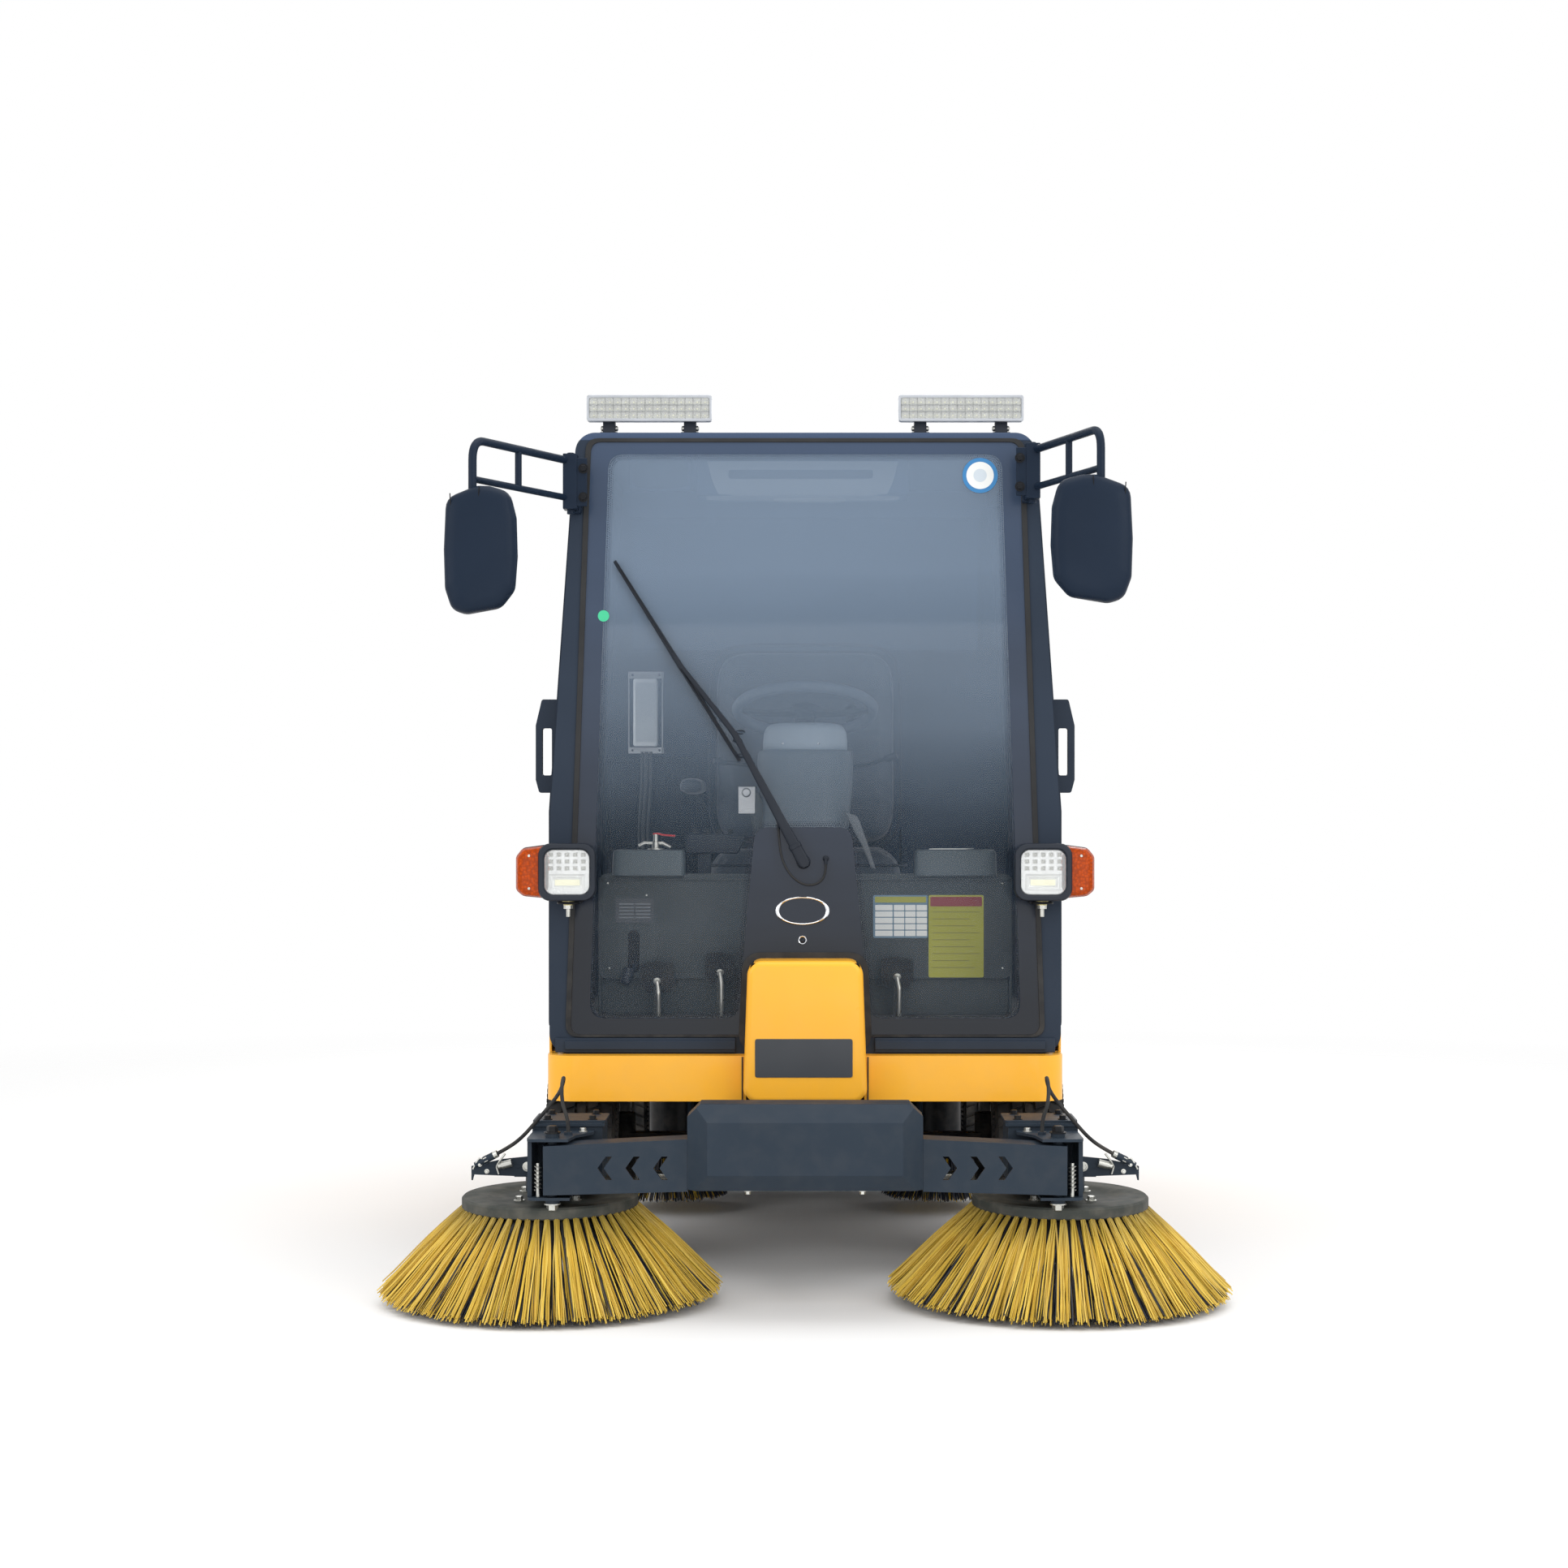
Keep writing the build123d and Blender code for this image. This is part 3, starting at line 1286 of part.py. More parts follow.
with BuildPart() as front_beam:
    prism(
        along(-bumper_half),
        (
            (bumper_rear_y, bumper_bottom), (bumper_front_y + bumper_low_bevel[0], bumper_bottom),
            (bumper_front_y, bumper_bottom + bumper_low_bevel[1]), (bumper_front_y, bumper_top - bumper_bevel),
            (bumper_front_y + bumper_bevel, bumper_top), (bumper_rear_y, bumper_top),
        ),
        2 * bumper_half,
    )
    prism(
        Plane.XY,
        (
            (-bumper_face_half, bumper_front_y), (bumper_face_half, bumper_front_y),
            (bumper_mid_half, bumper_mid_y), (bumper_half, arm_front_y), (bumper_half, bumper_rear_y),
            (-bumper_half, bumper_rear_y), (-bumper_half, arm_front_y), (-bumper_mid_half, bumper_mid_y),
        ),
        2 * bumper_top, mode=Mode.INTERSECT,
    )
    prism(
        across(bumper_rear_y),
        (
            (-bumper_half, bumper_bottom), (bumper_half, bumper_bottom),
            (bumper_half, bumper_top - bumper_end_bevel), (bumper_half - bumper_end_bevel, bumper_top),
            (-bumper_half + bumper_end_bevel, bumper_top), (-bumper_half, bumper_top - bumper_end_bevel),
        ),
        bumper_rear_y - bumper_front_y, mode=Mode.INTERSECT,
    )
    block(
        (-bumper_hollow_half, bumper_hollow_half),
        (bumper_front_y + bumper_bevel + bumper_wall, bumper_rear_y + 1),
        (bumper_bottom + bumper_wall, bumper_top - bumper_wall), mode=Mode.SUBTRACT,
    )
    beam_low_y = bumper_front_y + bumper_bevel
    for side in (-1, 1):
        span = sorted((side * (beam_x - beam_width / 2), side * (beam_x + beam_width / 2)))
        block(span, (beam_low_y, pivot_y), (beam_bottom, beam_top))
    tube_half = inner_x - lug_thick - 6
    bar((-tube_half, pivot_y, pivot_z), (1, 0, 0), 2 * tube_half, pivot_tube_r)
    eye_y, eye_z = cylinder_eye
    bar((-beam_x, eye_y, pivot_z), (1, 0, 0), 2 * beam_x, 20)
    for side in (-1, 1):
        span = sorted((side * (eye_width / 2 + eye_gap), side * (eye_width / 2 + eye_gap + lug_thick)))
        block(span, (eye_y - 18, eye_y + 18), (eye_z - 18, pivot_z))
    bar((-tube_half, pivot_y, pivot_z), (1, 0, 0), 2 * tube_half, pivot_r + running_gap, mode=Mode.SUBTRACT)
save(front_beam.part, "front_beam")

with BuildPart() as brush_arms:
    prism(
        across(arm_rear_y),
        (
            (bumper_half, arm_inner[0]), (arm_end, arm_outer[0]),
            (arm_end, arm_outer[1]), (bumper_half, arm_inner[1]),
        ),
        arm_rear_y - arm_front_y,
    )
    prism(
        across(arm_rear_y),
        (
            (bumper_half + arm_plate, arm_inner[0] + arm_plate), (arm_end + 1, arm_outer[0] + arm_plate),
            (arm_end + 1, arm_outer[1] - arm_plate), (bumper_half + arm_plate, arm_inner[1] - arm_plate),
        ),
        arm_rear_y - arm_front_y - arm_plate, mode=Mode.SUBTRACT,
    )
    for index in range(chevron_count):
        middle = chevron_first + index * chevron_pitch
        centre = (sum(arm_inner) + sum(arm_outer)) / 4
        half_w = (chevron_width - chevron_stroke * 1.15) / 2
        half_h = chevron_height / 2
        prism(
            across(arm_front_y + arm_plate + 1),
            (
                (middle - half_w - chevron_stroke / 2, centre - half_h),
                (middle - half_w + chevron_stroke, centre - half_h),
                (middle + half_w + chevron_stroke / 2, centre),
                (middle - half_w + chevron_stroke, centre + half_h),
                (middle - half_w - chevron_stroke / 2, centre + half_h),
                (middle + half_w - chevron_stroke, centre),
            ),
            arm_plate + 2, mode=Mode.SUBTRACT,
        )
    bush_low = arm_outer[0] + 2
    bush_high = arm_outer[1] - 1
    bar((swing_pin_x, swing_pin_y, bush_low), (0, 0, 1), bush_high - bush_low, swing_bush_r)
    bar((swing_pin_x, swing_pin_y, 0), (0, 0, 1), bumper_top, swing_pin_r + running_gap, mode=Mode.SUBTRACT)
    mirror(about=Plane.YZ)
save(brush_arms.part, "brush_arms")

# ---------------------------------------------------------------- swing brackets and disc brushes

brush_top = Vector(side_brush_x, side_brush_y, side_hub_top)
brush_plane = Plane(origin=brush_top, x_dir=(1, 0, 0), z_dir=brush_lean)

hose_r = 4.0
hose_grommet = (495.0, -1040.0)
hose_grommet_height = 6.0
hose_points = (
    (*hose_grommet, swing_top + hose_grommet_height), (*hose_grommet, 400.0), (506.0, -1040.0, 430.0),
    (509.0, -1038.0, 453.0), (509.0, -1031.0, 473.0), (508.0, -1015.0, 485.0), (508.0, -995.0, 485.0),
    (511.0, -979.0, 472.0), (519.0, -971.0, 451.0), (540.0, -969.0, 423.0), (570.0, -967.0, 388.0),
    (604.0, -962.0, 350.0), (639.0, -957.0, 327.0), (660.0, -954.0, 316.0),
)
hose_end = (Vector(*hose_points[-1]) - Vector(*hose_points[-2])).normalized()

with BuildPart() as swing_left:
    swing_rear_y = motor_box_y[0] + swing_rear_lap
    low_front_y = arm_front_y + swing_low_setback
    top_inner = tuple(zip(swing_inner_x, (arm_front_y, *swing_inner_y)))
    prism(
        Plane.XY.offset(swing_top - swing_plate),
        (
            top_inner[0], (swing_side[1], arm_front_y), (swing_side[1], swing_rear_y),
            (swing_inner_x[2], swing_rear_y), top_inner[2], top_inner[1],
        ),
        swing_plate,
    )
    block((swing_low_inner_x, swing_side[1]), (low_front_y, swing_rear_y), (swing_low, swing_low + swing_plate))
    block(swing_side, (low_front_y + swing_corner_r, swing_rear_y), (swing_low, swing_top))
    block(
        (swing_low_inner_x, swing_side[1]), (motor_box_y[0] - swing_rear_lap, swing_rear_y),
        (swing_low, motor_box_z[0] + swing_head),
    )
    block(motor_box_x, motor_box_y, motor_box_z)
    # the plates' outer front corners are round
    front_outer = swing_left.edges().filter_by(Axis.Z).filter_by(
        lambda edge: edge.center().X > swing_side[1] - 1 and edge.center().Y < low_front_y + 1
    )
    fillet(front_outer, swing_corner_r)
    bar(brush_top + brush_lean * motor_gap, brush_lean, motor_length, motor_r)
    bar(
        brush_top - brush_lean * brush_shaft_depth, brush_lean,
        2 * brush_shaft_depth + motor_gap, brush_shaft_r,
    )
    # swing pin with its heads
    bar((swing_pin_x, swing_pin_y, swing_low), (0, 0, 1), swing_top - swing_low, swing_pin_r)
    bar((swing_pin_x, swing_pin_y, swing_low + 1), (0, 0, -1), swing_head, swing_head_r)
    bar((swing_pin_x, swing_pin_y, swing_top - 1), (0, 0, 1), swing_head, swing_head_r)
    # spray wing beside the motor, its end hooked down
    wing_middle = (wing_x[0] + wing_x[1]) / 2
    prism(
        across(wing_y[0] + wing_plate),
        (
            (wing_x[0], wing_low[0]), (wing_x[1] - wing_hook[1], wing_low[1]),
            (wing_x[1] - wing_hook[1] / 2, wing_hook[0]), (wing_x[1], wing_hook[0]),
            (wing_x[1], wing_high[2]), (wing_middle, wing_high[1]), (wing_x[0], wing_high[0]),
        ),
        wing_plate,
    )
    block((wing_x[0], wing_x[0] + wing_foot), wing_y, (wing_low[0], wing_low[0] + wing_plate))
    # the spray hose's fitting on the wing, its pin, and its grommet on the plate
    bar(hose_points[-1], hose_end, hose_sleeve[1], hose_sleeve[0])
    bar(hose_points[-1], hose_end, hose_elbow[1], hose_elbow[0])
    bar((spray_pin[0], wing_y[0] + wing_plate, spray_pin[1]), (0, -1, 0), wing_plate + hose_elbow[0], spray_pin_r)
    bar((*hose_grommet, swing_top - 1), (0, 0, 1), hose_grommet_height + 1, hose_grommet_r)
save(swing_left.part, "swing_left")

with BuildPart() as swing_right:
    mirror(swing_left.part, about=Plane.YZ)
save(swing_right.part, "swing_right")


def disc_brush(plane, hub_r, hub_thick, tip_r, tip_drop, tufts):
    """A disc with a flared skirt of bristle tufts, its top on the plane and its axis the normal."""
    low = (Align.CENTER, Align.CENTER, Align.MIN)
    root_r = hub_r - 4
    slant = (tip_r - root_r, tip_drop - hub_thick)
    slant_length = sqrt(slant[0] ** 2 + slant[1] ** 2)
    # the gap between two tufts, cut into the skirt's outer face
    face = Plane(origin=(root_r, 0, -hub_thick), x_dir=(slant[0], 0, -slant[1]), z_dir=(slant[1], 0, slant[0]))
    past = slant_length + tuft_depth
    with BuildPart() as gap:
        with BuildSketch(face.offset(-tuft_depth)):
            Polygon(
                (tuft_start, -tuft_gap[0] / 2), (past, -tuft_gap[1] / 2),
                (past, tuft_gap[1] / 2), (tuft_start, tuft_gap[0] / 2), align=None,
            )
        extrude(amount=1.5 * tuft_depth)
    with Locations(plane.offset(-hub_thick)):
        Cylinder(hub_r, hub_thick, align=low)
    with Locations(plane.offset(-tip_drop)):
        Cone(tip_r, root_r, tip_drop - hub_thick, align=low)
        Cone(
            tip_r - bristle_depth, root_r - 1.4 * bristle_depth, tip_drop - hub_thick,
            align=low, mode=Mode.SUBTRACT,
        )
    with Locations(plane):
        with PolarLocations(0, tufts, start_angle=180 / tufts):
            add(gap.part, mode=Mode.SUBTRACT)
    with Locations(plane.offset(-brush_shaft_depth - 2)):
        Cylinder(brush_shaft_r + running_gap, hub_thick, align=low, mode=Mode.SUBTRACT)


with BuildPart() as side_brush_left:
    disc_brush(brush_plane, side_hub_r, side_hub_thick, side_tip_r, side_tip_drop, side_tufts)
save(side_brush_left.part, "side_brush_left")

with BuildPart() as side_brush_right:
    mirror(side_brush_left.part, about=Plane.YZ)
save(side_brush_right.part, "side_brush_right")

with BuildPart() as mid_brush_left:
    mid_plane = Plane(origin=(mid_brush_x, mid_brush_y, mid_hub_top), x_dir=(1, 0, 0), z_dir=(0, 0, 1))
    disc_brush(mid_plane, mid_hub_r, mid_hub_thick, mid_tip_r, mid_tip_drop, mid_tufts)
save(mid_brush_left.part, "mid_brush_left")

with BuildPart() as mid_brush_right:
    mirror(mid_brush_left.part, about=Plane.YZ)
save(mid_brush_right.part, "mid_brush_right")

with BuildPart() as roller_brush:
    bar((-roller_half, roller_y, roller_z), (1, 0, 0), 2 * roller_half, roller_r)
    for side in (-1, 1):
        bar(
            (side * (roller_half + 1), roller_y, roller_z), (-side, 0, 0), 40,
            roller_shaft_r + running_gap, mode=Mode.SUBTRACT,
        )
save(roller_brush.part, "roller_brush")

# ---------------------------------------------------------------- lift cylinder

lift_run = Vector(0, cylinder_eye[0] - cylinder_foot[0], cylinder_eye[1] - cylinder_foot[1])
lift_way = lift_run.normalized()
foot_point = Vector(0, *cylinder_foot)
eye_point = Vector(0, *cylinder_eye)
with BuildPart() as lift_cylinder:
    bar(foot_point - Vector(eye_width / 2, 0, 0), (1, 0, 0), eye_width, eye_r)
    bar(foot_point + lift_way * 4, lift_way, lug_half + 6, cylinder_neck_r)
    bar(foot_point + lift_way * (lug_half + 6), lift_way, cylinder_length, cylinder_r)
    bar(
        foot_point + lift_way * (lug_half + 26), lift_way, cylinder_length, rod_r + running_gap, mode=Mode.SUBTRACT
    )
    bar(foot_point - Vector(eye_width, 0, 0), (1, 0, 0), 2 * eye_width, eye_pin_r + running_gap, mode=Mode.SUBTRACT)
save(lift_cylinder.part, "lift_cylinder")

with BuildPart() as lift_rod:
    rod_start = foot_point + lift_way * 60
    bar(rod_start, lift_way, lift_run.length - 60, rod_r)
    bar(eye_point - Vector(eye_width / 2, 0, 0), (1, 0, 0), eye_width, eye_r)
save(lift_rod.part, "lift_rod")

# ---------------------------------------------------------------- spray hoses

with BuildPart() as spray_hose_left:
    add(hose_tube("spray hose", hose_points, hose_r))
save(spray_hose_left.part, "spray_hose_left")

with BuildPart() as spray_hose_right:
    mirror(spray_hose_left.part, about=Plane.YZ)
save(spray_hose_right.part, "spray_hose_right")
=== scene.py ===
import json
import math
import random

import bmesh
import bpy
from mathutils import Matrix, Vector
from mathutils.geometry import tessellate_polygon

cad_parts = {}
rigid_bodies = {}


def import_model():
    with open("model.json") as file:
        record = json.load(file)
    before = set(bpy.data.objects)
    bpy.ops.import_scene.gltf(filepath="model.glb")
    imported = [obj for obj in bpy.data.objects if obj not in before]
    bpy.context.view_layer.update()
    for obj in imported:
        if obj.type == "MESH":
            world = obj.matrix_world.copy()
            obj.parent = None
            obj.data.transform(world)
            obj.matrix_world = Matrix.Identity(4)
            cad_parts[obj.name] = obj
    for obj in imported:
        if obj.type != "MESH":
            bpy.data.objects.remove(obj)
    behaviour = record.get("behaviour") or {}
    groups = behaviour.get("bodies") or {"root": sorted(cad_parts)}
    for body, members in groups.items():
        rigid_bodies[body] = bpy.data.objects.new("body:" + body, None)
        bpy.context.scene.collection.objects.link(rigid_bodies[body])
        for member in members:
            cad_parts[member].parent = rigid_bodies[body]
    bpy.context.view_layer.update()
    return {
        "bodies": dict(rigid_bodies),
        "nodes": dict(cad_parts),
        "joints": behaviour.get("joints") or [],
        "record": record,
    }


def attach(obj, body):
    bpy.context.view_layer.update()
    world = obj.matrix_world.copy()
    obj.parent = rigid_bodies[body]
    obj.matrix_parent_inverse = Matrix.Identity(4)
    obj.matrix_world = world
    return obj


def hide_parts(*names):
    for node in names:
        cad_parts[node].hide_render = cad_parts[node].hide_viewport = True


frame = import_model()
nodes = frame["nodes"]
record = frame["record"]
bodyOf = {n: b for b, members in record["behaviour"]["bodies"].items() for n in members}
slotOf = {row["node"]: row["material_slot"] for row in record["subparts"]}
sideSign = {"left": 1, "right": -1}
axisX, axisY, axisZ = Vector((1, 0, 0)), Vector((0, 1, 0)), Vector((0, 0, 1))
random.seed(7)

# camera: level, straight ahead of the vehicle at chest height
view = {"place": (0.0, -6.72, 1.045), "turn": (90.0, 0.0, 0.0), "lens": 62.42, "shift": (-0.0135, 0.0176)}
cameraData = bpy.data.cameras.new("camera")
cameraData.lens = view["lens"]
cameraData.sensor_width = 36.0
cameraData.shift_x, cameraData.shift_y = view["shift"]
camera = bpy.data.objects.new("camera", cameraData)
camera.location = view["place"]
camera.rotation_euler = [math.radians(a) for a in view["turn"]]
bpy.context.scene.collection.objects.link(camera)
bpy.context.scene.camera = camera
bpy.context.scene.view_settings.view_transform = "Standard"


# materials

def tone(red, green, blue):
    # display values 0-255, turned into the linear ones that shaders take
    linear = [c / 3294.6 if c <= 10 else ((c / 255 + 0.055) / 1.055) ** 2.4 for c in (red, green, blue)]
    return (*linear, 1.0)


def addNode(tree, kind, inputs=None, **settings):
    made = tree.nodes.new(kind)
    for key, value in settings.items():
        setattr(made, key, value)
    for key, value in (inputs or {}).items():
        if isinstance(value, bpy.types.NodeSocket):
            tree.links.new(value, made.inputs[key])
        else:
            made.inputs[key].default_value = value
    return made


def noise(tree, place, scale, detail=3.0, stretch=(1, 1, 1)):
    spot = addNode(tree, "ShaderNodeMapping", {"Vector": place, "Scale": stretch})
    made = addNode(tree, "ShaderNodeTexNoise", {"Vector": spot.outputs[0], "Scale": scale, "Detail": detail})
    return made.outputs["Fac"]


def remap(tree, value, low, high, newLow=0.0, newHigh=1.0):
    made = addNode(
        tree, "ShaderNodeMapRange",
        {"Value": value, "From Min": low, "From Max": high, "To Min": newLow, "To Max": newHigh},
    )
    return made.outputs[0]


def mixTone(tree, share, first, second):
    made = addNode(tree, "ShaderNodeMix", data_type="RGBA")
    for index, value in ((0, share), (6, first), (7, second)):
        if isinstance(value, bpy.types.NodeSocket):
            tree.links.new(value, made.inputs[index])
        else:
            made.inputs[index].default_value = value
    return made.outputs[2]


def startMaterial(name):
    made = bpy.data.materials.new(name)
    made.use_nodes = True
    tree = made.node_tree
    place = addNode(tree, "ShaderNodeTexCoord").outputs["Object"]
    return made, tree, tree.nodes["Principled BSDF"], place


def finish(name, colour, rough=0.5, metal=0.0, shade=0.1, patch=4.0, grain=900.0, relief=0.0,
           coat=0.0, dust=0.0, scuff=0.0, sheen=0.0, stretch=(1, 1, 1), dustTone=(150, 142, 130), gloss=0.5):
    # paint, plastic or metal with cloudy shading, fine grain, dust that settles low and light scuffs
    made, tree, shader, place = startMaterial(name)
    base = tone(*colour)
    dark = tuple(c * (1 - shade) for c in base[:3]) + (1.0,)
    light = tuple(min(1.0, c * (1 + shade)) for c in base[:3]) + (1.0,)
    cloud = remap(tree, noise(tree, place, patch, 4.0, stretch), 0.35, 0.65)
    paint = mixTone(tree, cloud, dark, light)
    fine = noise(tree, place, grain, 2.0, stretch)
    if dust:
        height = addNode(tree, "ShaderNodeSeparateXYZ", {"Vector": place}).outputs["Z"]
        low = remap(tree, height, 0.9, 0.15, 0.0, 1.0)
        spots = remap(tree, noise(tree, place, 26.0, 5.0), 0.42, 0.7)
        settled = addNode(tree, "ShaderNodeMath", {0: low, 1: spots}, operation="MULTIPLY").outputs[0]
        share = addNode(tree, "ShaderNodeMath", {0: settled, 1: dust}, operation="MULTIPLY").outputs[0]
        paint = mixTone(tree, share, paint, tone(*dustTone))
    if scuff:
        marks = remap(tree, noise(tree, place, 38.0, 6.0, (1, 1, 7)), 0.66, 0.72, 0.0, scuff)
        worn = tuple(min(1.0, c * 1.6 + 0.05) for c in base[:3]) + (1.0,)
        paint = mixTone(tree, marks, paint, worn)
    tree.links.new(paint, shader.inputs["Base Color"])
    polish = remap(tree, noise(tree, place, patch * 3, 3.0), 0.3, 0.7, max(0.02, rough - 0.07),
                   min(1.0, rough + 0.07))
    tree.links.new(polish, shader.inputs["Roughness"])
    shader.inputs["Metallic"].default_value = metal
    shader.inputs["Specular IOR Level"].default_value = gloss
    shader.inputs["Coat Weight"].default_value = coat
    shader.inputs["Coat Roughness"].default_value = 0.08
    shader.inputs["Sheen Weight"].default_value = sheen
    if relief:
        bump = addNode(tree, "ShaderNodeBump", {"Height": fine, "Strength": 0.6, "Distance": relief})
        tree.links.new(bump.outputs[0], shader.inputs["Normal"])
    return made


def glassFinish(name, lowReflectionTone, highReflectionTone, lowReflectionCover, highReflectionCover, span, rough=0.03):
    # glass with a painted sky reflection that lightens and thickens with height; light passes it unshaded, so the
    # inside stays clear
    made, tree, shader, place = startMaterial(name)
    height = addNode(tree, "ShaderNodeSeparateXYZ", {"Vector": place}).outputs["Z"]
    # painted sky reflection: the glass colour lightens with height, streaked by noise
    rise = remap(tree, height, *span)
    clouds = noise(tree, place, 1.5, 4.0, (0.35, 1, 2.6))
    drift = remap(tree, clouds, 0.3, 0.7, -0.09, 0.09)
    share = addNode(tree, "ShaderNodeMath", {0: rise, 1: drift}, operation="ADD", use_clamp=True).outputs[0]
    tree.links.new(mixTone(tree, share, tone(*lowReflectionTone), tone(*highReflectionTone)), shader.inputs["Base Color"])
    # cover of the painted sky reflection, from its low to its high value
    reflectionCover = remap(tree, share, 0.0, 1.0, lowReflectionCover, highReflectionCover)
    lit = addNode(tree, "ShaderNodeLightPath").outputs["Is Shadow Ray"]
    seen = addNode(tree, "ShaderNodeMath", {0: 1.0, 1: lit}, operation="SUBTRACT").outputs[0]
    alpha = addNode(tree, "ShaderNodeMath", {0: reflectionCover, 1: seen}, operation="MULTIPLY").outputs[0]
    tree.links.new(alpha, shader.inputs["Alpha"])
    shader.inputs["Roughness"].default_value = rough
    shader.inputs["Specular IOR Level"].default_value = 0.5
    return made


def borderFinish(name, lowReflectionTone, highReflectionTone, span):
    # printed border on glass, with a painted sky reflection that lightens it towards the top
    made, tree, shader, place = startMaterial(name)
    height = addNode(tree, "ShaderNodeSeparateXYZ", {"Vector": place}).outputs["Z"]
    # painted sky reflection: the border lightens with height, with noise streaks
    cloud = remap(tree, noise(tree, place, 2.2, 4.0, (0.5, 1, 2.0)), 0.3, 0.7, -0.1, 0.1)
    share = addNode(tree, "ShaderNodeMath", {0: remap(tree, height, *span), 1: cloud}, operation="ADD",
                    use_clamp=True)
    tree.links.new(mixTone(tree, share.outputs[0], tone(*lowReflectionTone), tone(*highReflectionTone)), shader.inputs["Base Color"])
    shader.inputs["Roughness"].default_value = 0.18
    shader.inputs["Specular IOR Level"].default_value = 0.25
    return made


def strandFinish(name, first, second, rootPaintedShade=0.55):
    # plastic bristles: each strand has its own tone, with painted shade that darkens it towards its root
    made, tree, shader, place = startMaterial(name)
    own = addNode(tree, "ShaderNodeAttribute", attribute_name="strandTone").outputs["Fac"]
    along = addNode(tree, "ShaderNodeAttribute", attribute_name="strandRun").outputs["Fac"]
    paint = mixTone(tree, own, tone(*first), tone(*second))
    # painted shade: each strand turns nearly black towards its root
    shaded = mixTone(tree, remap(tree, along, 0.0, 0.35, rootPaintedShade, 0.0), paint, (0.02, 0.015, 0.005, 1))
    tree.links.new(shaded, shader.inputs["Base Color"])
    rough = remap(tree, noise(tree, place, 60.0), 0.3, 0.7, 0.35, 0.55)
    tree.links.new(rough, shader.inputs["Roughness"])
    return made


def lensFinish(name, colour, glow=0.0, cell=0.0, depth=0.0, alpha=1.0, rough=0.08, coat=0.5):
    # moulded lens plastic, with small facets where it has a cell size; painted shade darkens each facet towards its
    # edges
    made, tree, shader, place = startMaterial(name)
    base = tone(*colour)
    if cell:
        facets = addNode(tree, "ShaderNodeTexVoronoi", {"Vector": place, "Scale": 1 / cell})
        # painted shade: facet colour falls to 0.55 of the lens colour at the facet edges
        spread = remap(tree, facets.outputs["Distance"], 0.0, 0.7)
        deep = tuple(c * 0.55 for c in base[:3]) + (1.0,)
        tree.links.new(mixTone(tree, spread, base, deep), shader.inputs["Base Color"])
        bump = addNode(tree, "ShaderNodeBump",
                       {"Height": facets.outputs["Distance"], "Strength": 0.7, "Distance": depth})
        tree.links.new(bump.outputs[0], shader.inputs["Normal"])
    else:
        cloud = remap(tree, noise(tree, place, 30.0), 0.3, 0.7)
        soft = tuple(c * 0.9 for c in base[:3]) + (1.0,)
        tree.links.new(mixTone(tree, cloud, soft, base), shader.inputs["Base Color"])
    shader.inputs["Roughness"].default_value = rough
    shader.inputs["Alpha"].default_value = alpha
    shader.inputs["Coat Weight"].default_value = coat
    shader.inputs["Specular IOR Level"].default_value = coat
    if glow:
        shader.inputs["Emission Color"].default_value = base
        shader.inputs["Emission Strength"].default_value = glow
    return made


